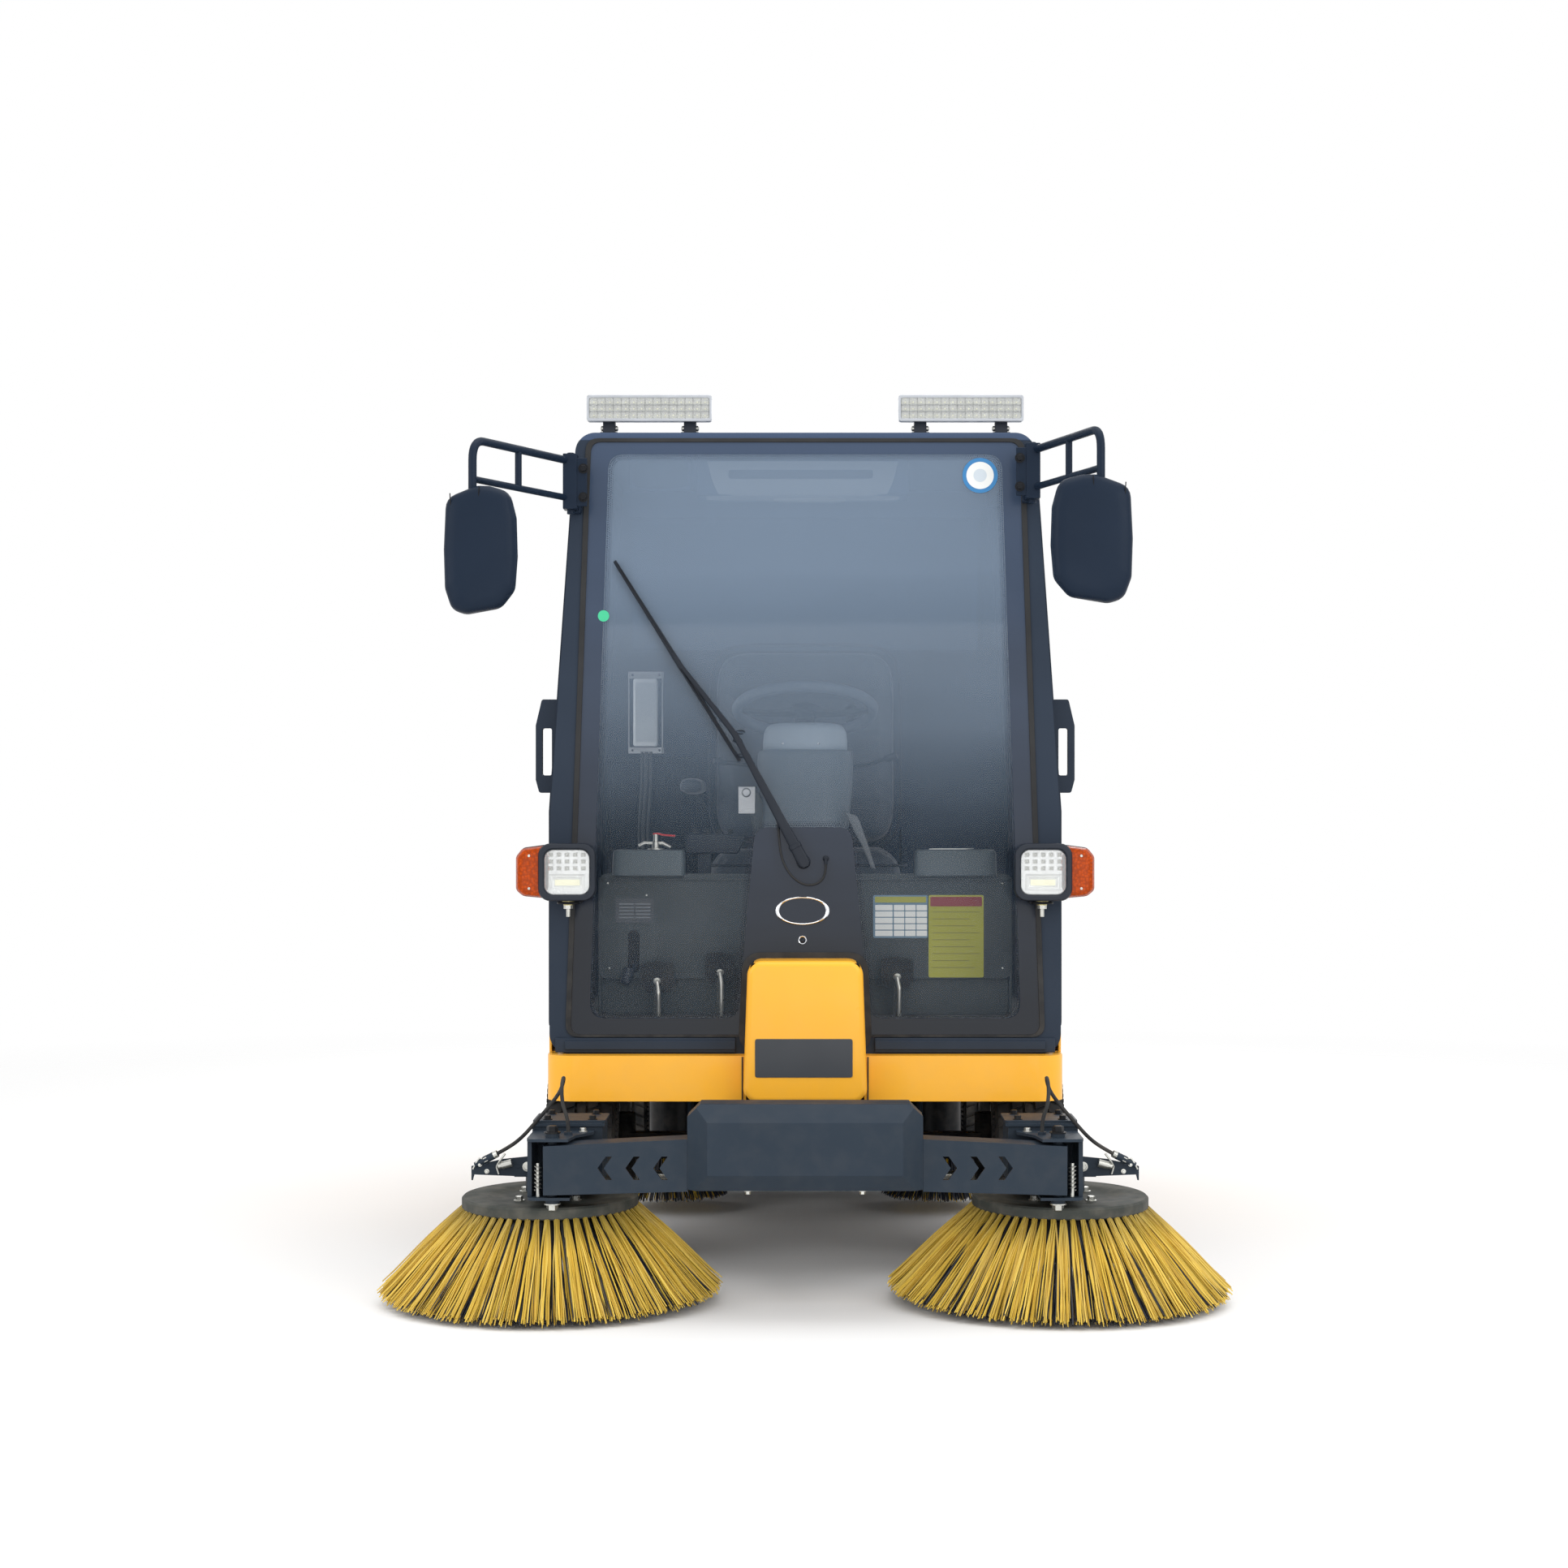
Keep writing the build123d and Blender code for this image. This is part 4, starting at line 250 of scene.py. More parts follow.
paints = {
    "yellow": finish("bodyYellow", (255, 184, 50), 0.34, shade=0.025, grain=420, relief=0.00005, coat=0.15,
                     dust=0.06, gloss=0.3),
    "slate": finish("slatePowderCoat", (43, 53, 64), 0.48, shade=0.03, grain=1500, relief=0.0001, dust=0.03,
                    scuff=0.01, gloss=0.14),
    "cab": finish("cabPaint", (40, 50, 64), 0.42, shade=0.06, grain=1100, relief=0.00006, gloss=0.16),
    "roofPaint": finish("roofPaint", (62, 78, 104), 0.4, shade=0.02, grain=1100, relief=0.00006, gloss=0.2),
    "lining": finish("cabLining", (24, 30, 38), 0.6, shade=0.1, grain=700, relief=0.0003, gloss=0.2),
    "blind": finish("rearBlind", (66, 80, 98), 0.7, shade=0.06, grain=600, relief=0.0002, gloss=0.1),
    "cable": finish("cableSleeve", (58, 62, 64), 0.6, shade=0.1, grain=900, relief=0.0003),
    "discBlue": finish("discBlue", (44, 120, 176), 0.45, shade=0.04),
    "discPale": finish("discPale", (196, 206, 214), 0.45, shade=0.04),
    "darkPlastic": finish("darkPlastic", (30, 36, 46), 0.46, shade=0.07, grain=1700, relief=0.00012, gloss=0.3),
    "wiperPlastic": finish("wiperPlastic", (24, 30, 40), 0.4, shade=0.08, grain=1300, relief=0.0001, gloss=0.25),
    "wheelGrip": finish("wheelGrip", (96, 108, 122), 0.5, shade=0.08, grain=900, relief=0.00022),
    "dashBox": finish("dashBox", (66, 76, 82), 0.5, shade=0.07, grain=1200, relief=0.00016),
    "shroud": finish("columnShroud", (84, 95, 105), 0.5, shade=0.06, grain=1500, relief=0.00014),
    "shroudCap": finish("columnShroudCap", (154, 168, 180), 0.5, shade=0.05, grain=1500, relief=0.00014),
    "signRule": finish("signRule", (120, 116, 48), 0.55, shade=0.05),
    "mirrorPlastic": finish("mirrorPlastic", (24, 36, 52), 0.42, shade=0.06, grain=1500, relief=0.00008,
                            gloss=0.12),
    "black": finish("blackPaint", (22, 24, 28), 0.42, shade=0.12, grain=900, relief=0.00008, dust=0.08, gloss=0.15),
    "underside": finish("undersidePaint", (18, 19, 21), 0.6, shade=0.12, grain=500, relief=0.0002, dust=0.1,
                        gloss=0.05),
    "rubber": finish("rubber", (24, 25, 27), 0.7, shade=0.12, grain=1200, relief=0.00015, dust=0.18),
    "tyre": finish("tyreRubber", (30, 31, 33), 0.78, shade=0.12, patch=14, grain=900, relief=0.0002, dust=0.22),
    "rim": finish("rimPaint", (196, 198, 200), 0.38, metal=0.2, shade=0.07, grain=700, relief=0.00008, dust=0.4),
    "zinc": finish("zincPlate", (196, 196, 190), 0.32, metal=0.9, shade=0.12, patch=30, grain=800, relief=0.00005),
    "brass": finish("brassWasher", (190, 180, 130), 0.35, metal=0.9, shade=0.12, patch=40),
    "chrome": finish("chromeTrim", (226, 228, 232), 0.1, metal=1.0, shade=0.03, patch=30),
    "brushed": finish("brushedSteel", (170, 172, 174), 0.35, metal=0.9, shade=0.1, patch=30, grain=300,
                      relief=0.00006, stretch=(1, 12, 12)),
    "hub": finish("brushHub", (64, 67, 64), 0.66, shade=0.07, grain=1300, relief=0.00015, dust=0.2, gloss=0.15),
    "hopperGrey": finish("hopperGrey", (96, 100, 102), 0.55, shade=0.12, grain=500, relief=0.0002, dust=0.4),
    "trim": finish("greyTrim", (96, 101, 106), 0.5, shade=0.07, grain=1500, relief=0.0001),
    "dash": finish("dashPlastic", (42, 49, 52), 0.55, shade=0.08, grain=1400, relief=0.00018),
    "floorMat": finish("floorMat", (58, 60, 60), 0.8, shade=0.12, grain=240, relief=0.0006),
    "seat": finish("seatVinyl", (52, 60, 72), 0.55, shade=0.08, grain=620, relief=0.0004, sheen=0.25),
    "paper": finish("paperWhite", (226, 228, 226), 0.6, shade=0.04),
    "whiteBox": finish("whiteBox", (226, 232, 236), 0.45, shade=0.04, grain=600, relief=0.0001),
    "redPlastic": finish("redPlastic", (190, 26, 24), 0.35, shade=0.08),
    "lampSilver": finish("lampSilver", (214, 216, 216), 0.22, metal=0.55, shade=0.05, patch=60),
    "lampHousing": finish("lampHousing", (176, 180, 186), 0.35, metal=0.5, shade=0.06, patch=20, grain=600,
                          relief=0.00005),
    "plateDark": finish("plateDark", (52, 56, 62), 0.4, shade=0.05, grain=900, relief=0.00004),
    "signYellow": finish("signYellow", (158, 158, 48), 0.5, shade=0.06),
    "signRed": finish("signRed", (132, 44, 46), 0.5, shade=0.06),
    "signBlue": finish("signBlue", (100, 128, 148), 0.5, shade=0.06),
    "ceiling": finish("ceilingPanel", (186, 192, 192), 0.7, shade=0.06, grain=500, relief=0.0002),
    "spring": finish("springSteel", (150, 150, 146), 0.35, metal=0.8, shade=0.15, patch=60),
    "green": finish("greenDisc", (60, 190, 140), 0.4, shade=0.05),
    # the border and both glasses carry a painted sky reflection that grows with height
    "frit": borderFinish("glassBorder", (16, 22, 32), (62, 76, 98), (0.72, 1.88)),
    "windscreen": glassFinish("windscreenGlass", (84, 104, 124), (119, 137, 158), 0.06, 0.55, (0.95, 1.6)),
    "sideGlass": glassFinish("sideGlass", (90, 104, 112), (120, 138, 156), 0.12, 0.2, (0.6, 1.7)),
    "lens": lensFinish("clearLens", (236, 238, 238), alpha=0.22),
    "lampChip": lensFinish("lampChip", (244, 240, 196), glow=0.15, rough=0.4),
    "lampFace": lensFinish("lampFace", (204, 206, 198), rough=0.25),
    "lampCell": lensFinish("lampCell", (150, 152, 140), rough=0.2),
    "orange": lensFinish("orangeLens", (196, 74, 0), glow=0.02, cell=0.006, depth=0.0008, rough=0.2, coat=0.12),
    "red": lensFinish("redLens", (190, 16, 18), glow=0.05, cell=0.005, depth=0.001),
    "yellowStrand": strandFinish("yellowStrand", (232, 200, 84), (200, 164, 60)),
    "blackStrand": strandFinish("blackStrand", (34, 40, 54), (14, 18, 28)),
    "mirrorGlass": finish("mirrorGlass", (210, 214, 218), 0.03, metal=1.0, shade=0.01),
}


# mesh making

def addBox(bm, low, high, turn=None):
    made = bmesh.ops.create_cube(bm, size=1.0)["verts"]
    middle = (Vector(low) + Vector(high)) / 2
    size = Vector(high) - Vector(low)
    for vertex in made:
        vertex.co = Vector(v * s for v, s in zip(vertex.co, size))
        if turn:
            vertex.co = turn @ vertex.co
        vertex.co += middle
    return made


def frameOf(axis, hint=None):
    # turns local Z to the axis, with local X near the hint
    w = Vector(axis).normalized()
    guide = Vector(hint) if hint else (Vector((0, 0, 1)) if abs(w.z) < 0.9 else Vector((1, 0, 0)))
    u = (guide - w * guide.dot(w)).normalized()
    return Matrix((u, w.cross(u), w)).transposed()


def addRod(bm, start, end, radius, endRadius=None, ring=20):
    start, end = Vector(start), Vector(end)
    run = end - start
    made = bmesh.ops.create_cone(
        bm, cap_ends=True, segments=ring, radius1=radius,
        radius2=radius if endRadius is None else endRadius, depth=run.length,
    )["verts"]
    turn = frameOf(run)
    for vertex in made:
        vertex.co = turn @ vertex.co + (start + end) / 2
    return made


def joinRings(bm, rows):
    # faces between rows of vertices with equal counts
    for lower, upper in zip(rows, rows[1:]):
        for i in range(len(lower)):
            j = (i + 1) % len(lower)
            bm.faces.new((lower[i], lower[j], upper[j], upper[i]))


def addRings(bm, layers, spot):
    # a closed shell through (outline, out) layers; spot turns (a, b, out) into a point
    rows = [[bm.verts.new(spot(a, b, out)) for a, b in outline] for outline, out in layers]
    joinRings(bm, rows)
    bm.faces.new(rows[0])
    bm.faces.new(rows[-1])


def addSlab(bm, outline, origin, across, along, depth):
    # a flat outline of (across, along) pairs at an origin, pulled by a depth vector
    origin, across, along, depth = (Vector(v) for v in (origin, across, along, depth))
    near = [bm.verts.new(origin + across * a + along * b) for a, b in outline]
    far = [bm.verts.new(v.co + depth) for v in near]
    bm.faces.new(near)
    bm.faces.new(list(reversed(far)))
    for i, vertex in enumerate(near):
        j = (i + 1) % len(near)
        bm.faces.new((near[j], vertex, far[i], far[j]))
    return near + far


def addWall(bm, outline, y, deep, z=0.0):
    # a slab of (x, z) pairs that faces the front
    return addSlab(bm, outline, (0, y, z), (1, 0, 0), (0, 0, 1), (0, deep, 0))


def addLathe(bm, profile, origin, axis, ring=48, closed=False):
    # revolves (along, radius) pairs about an axis through the origin
    origin, turn = Vector(origin), frameOf(axis)
    rows = []
    for along, radius in profile:
        if radius < 1e-6:
            rows.append([bm.verts.new(origin + turn @ Vector((0, 0, along)))])
            continue
        rows.append([
            bm.verts.new(origin + turn @ Vector((
                radius * math.cos(2 * math.pi * i / ring), radius * math.sin(2 * math.pi * i / ring), along)))
            for i in range(ring)
        ])
    pairs = list(zip(rows, rows[1:]))
    if closed:
        pairs.append((rows[-1], rows[0]))
    for lower, upper in pairs:
        for i in range(ring):
            j = (i + 1) % ring
            corners = [lower[i % len(lower)], lower[j % len(lower)], upper[j % len(upper)], upper[i % len(upper)]]
            corners = list(dict.fromkeys(corners))
            if len(corners) > 2:
                bm.faces.new(corners)
    return [v for row in rows for v in row]


def roundedBox(width, height, radius, steps=6, middle=(0.0, 0.0)):
    # outline of a rectangle with round corners
    points = []
    for index, (sx, sy) in enumerate(((1, 1), (-1, 1), (-1, -1), (1, -1))):
        cx, cy = sx * (width / 2 - radius), sy * (height / 2 - radius)
        for step in range(steps + 1):
            angle = math.pi / 2 * (index + step / steps)
            points.append((middle[0] + cx + radius * math.cos(angle), middle[1] + cy + radius * math.sin(angle)))
    return points


def roundCorners(points, radius, steps=5):
    # a polygon's outline with each corner cut by an arc
    made = []
    count = len(points)
    for i, here in enumerate(points):
        before, after = Vector(points[i - 1]), Vector(points[(i + 1) % count])
        here = Vector(here)
        into, out = (before - here).normalized(), (after - here).normalized()
        half = into.angle(out) / 2
        reach = min(radius / math.tan(half), (before - here).length * 0.49, (after - here).length * 0.49)
        start, end = here + into * reach, here + out * reach
        for step in range(steps + 1):
            t = step / steps
            made.append(tuple(start.lerp(here, t).lerp(here.lerp(end, t), t)))
    return made


def rect(left, right, low, high):
    return [(left, low), (right, low), (right, high), (left, high)]


def softRect(left, right, low, high, radius, steps=5):
    return roundCorners(rect(left, right, low, high), radius, steps)


def addPiece(name, bm, body, paint, slot=None, replaces=(), bevel=0.0, smooth=35.0, steps=2, recalc=True):
    # turns a bmesh into a finished piece that rides on a body
    if recalc:
        bmesh.ops.remove_doubles(bm, verts=bm.verts, dist=1e-6)
        bmesh.ops.recalc_face_normals(bm, faces=bm.faces)
    mesh = bpy.data.meshes.new(name)
    bm.to_mesh(mesh)
    bm.free()
    return finishPiece(name, mesh, body, paint, slot, replaces, bevel, smooth, steps)


def finishPiece(name, mesh, body, paint, slot=None, replaces=(), bevel=0.0, smooth=35.0, steps=2):
    piece = bpy.data.objects.new(name, mesh)
    bpy.context.scene.collection.objects.link(piece)
    for single in (paint if isinstance(paint, (list, tuple)) else [paint]):
        mesh.materials.append(paints[single])
    mesh.shade_smooth()
    mesh.set_sharp_from_angle(angle=math.radians(smooth))
    if bevel:
        edge = piece.modifiers.new("edge", "BEVEL")
        edge.width, edge.segments, edge.limit_method = bevel, steps, "ANGLE"
        edge.angle_limit = math.radians(38)
        edge.use_clamp_overlap = True
        flat = piece.modifiers.new("flat", "WEIGHTED_NORMAL")
        flat.keep_sharp = True
    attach(piece, body)
    if replaces:
        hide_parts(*replaces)
    return piece


def build(name, shapes, paint, slot=None, replaces=(), body="carrier", turn=None, **looks):
    # a piece from rows of (function, its arguments after the mesh)
    bm = bmesh.new()
    for make, *given in shapes:
        make(bm, *given)
    if turn:
        bmesh.ops.transform(bm, matrix=turn, verts=bm.verts)
    return addPiece(name, bm, body, paint, slot, replaces, **looks)


def nodeMesh(node):
    # a merged copy of a CAD node's mesh, with its flat faces joined
    bm = bmesh.new()
    bm.from_mesh(nodes[node].data)
    bmesh.ops.remove_doubles(bm, verts=bm.verts, dist=2e-5)
    bmesh.ops.dissolve_limit(bm, angle_limit=math.radians(0.6), verts=bm.verts, edges=bm.edges)
    return bm


def dress(node, name, paint, bevel=0.002, pick=None, steps=2):
    # stands for a CAD node with its own shape, softened edges and paint; pick gives a face's material
    bm = nodeMesh(node)
    if pick:
        for face in bm.faces:
            face.material_index = pick(face)
    return addPiece(name, bm, bodyOf[node], paint, slotOf[node], (node,), bevel, steps=steps, recalc=False)


def paintNode(node, paint):
    mesh = nodes[node].data
    mesh.materials.clear()
    mesh.materials.append(paints[paint])


# Geometry Nodes

def startTree(name, inputs):
    tree = bpy.data.node_groups.new(name, "GeometryNodeTree")
    tree.interface.new_socket("Geometry", in_out="INPUT", socket_type="NodeSocketGeometry")
    for label, kind, value in inputs:
        socket = tree.interface.new_socket(label, in_out="INPUT", socket_type="NodeSocket" + kind)
        if value is not None:
            socket.default_value = value
    tree.interface.new_socket("Geometry", in_out="OUTPUT", socket_type="NodeSocketGeometry")
    return tree, addNode(tree, "NodeGroupInput").outputs


def endTree(tree, geometry, material):
    solid = addNode(tree, "GeometryNodeRealizeInstances", {"Geometry": geometry}).outputs[0]
    painted = addNode(tree, "GeometryNodeSetMaterial", {"Geometry": solid, "Material": material}).outputs[0]
    addNode(tree, "NodeGroupOutput", {"Geometry": painted})


def growPiece(name, tree, base, settings, body, replaces=(), place=None, smooth=40.0):
    # runs a tree on a base mesh, keeps the plain result and puts it on a body
    seed = bpy.data.objects.new(name + "Seed", base)
    bpy.context.scene.collection.objects.link(seed)
    grower = seed.modifiers.new("grow", "NODES")
    grower.node_group = tree
    for item in tree.interface.items_tree:
        if item.item_type == "SOCKET" and item.in_out == "INPUT" and item.name in settings:
            grower[item.identifier] = settings[item.name]
    bpy.context.view_layer.update()
    grown = bpy.data.meshes.new_from_object(seed.evaluated_get(bpy.context.evaluated_depsgraph_get()))
    bpy.data.objects.remove(seed)
    grown.name = name
    if place:
        grown.transform(place)
    grown.shade_smooth()
    grown.set_sharp_from_angle(angle=math.radians(smooth))
    piece = bpy.data.objects.new(name, grown)
    bpy.context.scene.collection.objects.link(piece)
    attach(piece, body)
    if replaces:
        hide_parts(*replaces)
    return piece


def maths(tree, operation, first, second=None, third=None):
    made = addNode(tree, "ShaderNodeMath", operation=operation)
    for index, value in enumerate((first, second, third)):
        if isinstance(value, bpy.types.NodeSocket):
            tree.links.new(value, made.inputs[index])
        elif value is not None:
            made.inputs[index].default_value = value
    return made.outputs[0]


def chance(tree, low, high, seed):
    made = addNode(tree, "FunctionNodeRandomValue", data_type="FLOAT")
    made.inputs[2].default_value, made.inputs[3].default_value = low, high
    tree.links.new(seed, made.inputs["Seed"]) if isinstance(seed, bpy.types.NodeSocket) else None
    return made.outputs[1]


def vectorOf(tree, x, y, z):
    return addNode(tree, "ShaderNodeCombineXYZ", {0: x, 1: y, 2: z}).outputs[0]


def repeatTree():
    # copies a shape to each vertex, turned to the vertex's aim and sized by its size
    tree, given = startTree("repeatShape", (("Shape", "Object", None), ("Material", "Material", None)))
    shape = addNode(tree, "GeometryNodeObjectInfo", {"Object": given["Shape"]}).outputs["Geometry"]
    aim = addNode(tree, "GeometryNodeInputNamedAttribute", {"Name": "aim"}, data_type="FLOAT_VECTOR").outputs[0]
    size = addNode(tree, "GeometryNodeInputNamedAttribute", {"Name": "size"}, data_type="FLOAT").outputs[0]
    turn = addNode(tree, "FunctionNodeAlignRotationToVector", {"Vector": aim}, axis="Z").outputs[0]
    copies = addNode(
        tree, "GeometryNodeInstanceOnPoints",
        {"Points": given["Geometry"], "Instance": shape, "Rotation": turn, "Scale": size},
    ).outputs[0]
    endTree(tree, copies, given["Material"])
    return tree


repeater = repeatTree()
shapeStore = {}


def storeShape(name, bm):
    bmesh.ops.recalc_face_normals(bm, faces=bm.faces)
    mesh = bpy.data.meshes.new(name)
    bm.to_mesh(mesh)
    bm.free()
    shapeStore[name] = bpy.data.objects.new(name, mesh)
    return shapeStore[name]


def repeatShape(name, shape, spots, body, paint, replaces=(), smooth=35.0):
    # copies a stored shape to (place, aim, size) spots as one piece
    base = bpy.data.meshes.new(name + "Spots")
    base.from_pydata([tuple(place) for place, _, _ in spots], [], [])
    for label, kind in (("aim", "FLOAT_VECTOR"), ("size", "FLOAT")):
        base.attributes.new(label, kind, "POINT")
    for i, (_, aim, size) in enumerate(spots):
        base.attributes["aim"].data[i].vector = Vector(aim)
        base.attributes["size"].data[i].value = size
    settings = {"Shape": shapeStore[shape], "Material": paints[paint]}
    return growPiece(name, repeater, base, settings, body, replaces, smooth=smooth)


def makeShapes():
    # hexagon bolt on a washer, unit across its flats; cap screw; dome rivet
    bolt = bmesh.new()
    addLathe(bolt, ((0, 0), (0, 0.8), (0.12, 0.8), (0.14, 0.72), (0.14, 0)), (0, 0, 0), (0, 0, 1), 20)
    addLathe(bolt, ((0.14, 0), (0.14, 0.56), (0.62, 0.56), (0.7, 0.46), (0.72, 0)), (0, 0, 0), (0, 0, 1), 6)
    storeShape("hexBolt", bolt)
    screw = bmesh.new()
    addLathe(
        screw, ((0, 0), (0, 0.5), (0.35, 0.5), (0.42, 0.44), (0.42, 0.26), (0.2, 0.22), (0.2, 0)),
        (0, 0, 0), (0, 0, 1), 16,
    )
    storeShape("capScrew", screw)
    rivet = bmesh.new()
    addLathe(rivet, ((0, 0), (0, 0.5), (0.16, 0.44), (0.26, 0.26), (0.3, 0)), (0, 0, 0), (0, 0, 1), 12)
    storeShape("domeRivet", rivet)


makeShapes()
print("materials and tools ready")


# spray hoses: the route's points from the bracket's grommet to the spray fitting
hoseRoute = (
    (0.495, -1.04, 0.376), (0.495, -1.04, 0.4), (0.506, -1.04, 0.43), (0.509, -1.038, 0.453),
    (0.509, -1.031, 0.473), (0.508, -1.015, 0.485), (0.508, -0.995, 0.485), (0.511, -0.979, 0.472),
    (0.519, -0.971, 0.451), (0.54, -0.969, 0.423), (0.57, -0.967, 0.388), (0.604, -0.962, 0.35),
    (0.639, -0.957, 0.327), (0.66, -0.954, 0.316),
)
hose = {
    "diameter": 0.008, "length": 0.38, "nutAt": 0.015, "nut": ((0.0, 0.0086), (0.0085, 0.0086), (0.009, 0.0)),
    "sleeve": (
        (-0.009, 0.0042), (-0.009, 0.0074), (-0.007, 0.0078), (0.01, 0.0078), (0.011, 0.006), (0.014, 0.006),
        (0.0145, 0.005), (0.027, 0.005), (0.0275, 0.0058), (0.04, 0.0058), (0.044, 0.0046), (0.044, 0.0),
    ),
}


def smoothLine(name, route, radius, paint):
    # a cord's curve: one smooth spline with the route's points as its control points
    curve = bpy.data.curves.new(name, "CURVE")
    curve.dimensions = "3D"
    spline = curve.splines.new("NURBS")
    spline.points.add(len(route) - 1)
    for point, place in zip(spline.points, route):
        point.co = (*place, 1.0)
    spline.order_u = 3
    spline.use_endpoint_u = True
    spline.resolution_u = 8
    curve.bevel_depth = radius
    curve.bevel_resolution = 5
    curve.use_fill_caps = True
    curve.materials.append(paints[paint])
    piece = bpy.data.objects.new(name, curve)
    bpy.context.scene.collection.objects.link(piece)
    return piece


def makeHose(side):
    sign = sideSign[side]
    route = [(sign * x, y, z) for x, y, z in hoseRoute]
    piece = smoothLine(f"sprayHose_{side}", route, hose["diameter"] / 2, "rubber")
    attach(piece, f"swing_{side}_body")
    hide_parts(f"spray_hose_{side}")
    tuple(route[0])
    makeHoseFitting(side, route)


def makeHoseFitting(side, route):
    # crimped sleeve and nut, in line with the hose's low end
    end = Vector(route[-1])
    aim = (end - Vector(route[-2])).normalized()
    return build(f"hoseFitting_{side}", [
        (addLathe, hose["sleeve"], end, aim, 24), (addLathe, hose["nut"], end + aim * hose["nutAt"], aim, 6),
    ], "zinc", "steel", body=f"swing_{side}_body", bevel=0.0004)


for side in sideSign:
    makeHose(side)
print("spray hoses")


# carried-over nodes and dressed nodes
for node, paint in (
    ("chassis_frame", "underside"), ("front_axle", "underside"), ("rear_axle", "underside"),
    ("cab_floor", "floorMat"), ("hopper", "hopperGrey"), ("battery_pack", "black"),
    ("tie_rod", "zinc"), ("lift_cylinder", "black"), ("lift_rod", "chrome"), ("cab_glass", "windscreen"),
    ("door_glass_left", "sideGlass"), ("door_glass_right", "sideGlass"),
    ("knuckle_left", "underside"), ("knuckle_right", "underside"),
):
    paintNode(node, paint)

dress("cab_frame", "cabFrame", "cab", 0.003)
dress("roof", "roofPanel", "roofPaint", 0.003)
dress("nose", "noseCover", "yellow", 0.003, steps=3)
dress("side_skirts", "sideSkirts", "yellow", 0.0015)
dress("seat_base", "seatBase", "dash", 0.006)
dress("rear_body", "rearBody", "yellow", 0.003)
dress("rear_bumper", "rearBumper", "slate", 0.003)
dress("roller_hood", "rollerHood", "slate", 0.001)
dress("mid_motors", "midMotors", "black", 0.001)
dress("tail_door", "tailDoor", "yellow", 0.003)
dress("front_beam", "frontBeam", "slate", 0.006, steps=3)
dress("brush_arms", "brushArms", "slate", 0.0015)
for side in sideSign:
    dress(f"door_{side}", f"doorSkin_{side}", "cab", 0.0025)
    dress(f"swing_{side}", f"swingBracket_{side}", "slate", 0.001)
print("dressed nodes")

# disc brushes and roller

def strandShape(name, bend, hook, wide=1.0, thick=0.42, rungs=7):
    # a flat bristle one unit long, bowed, with a curl at its tip
    bm = bmesh.new()
    run = bm.verts.layers.float.new("strandRun")
    rows = []
    for i in range(rungs + 1):
        t = i / rungs
        offset = bend * math.sin(math.pi * t) + hook * t ** 6
        slim = 1.0 if i < rungs else 0.7
        row = []
        for sx, sy in ((1, 1), (-1, 1), (-1, -1), (1, -1)):
            vertex = bm.verts.new((sx * wide / 2 * slim + offset, sy * thick / 2 * slim, t))
            vertex[run] = t
            row.append(vertex)
        rows.append(row)
    joinRings(bm, rows)
    bm.faces.new(list(reversed(rows[0])))
    bm.faces.new(rows[-1])
    return storeShape(name, bm)


strandShape("longStrand", 2.2, 2.4)
strandShape("shortStrand", 1.2, 1.2, rungs=4)


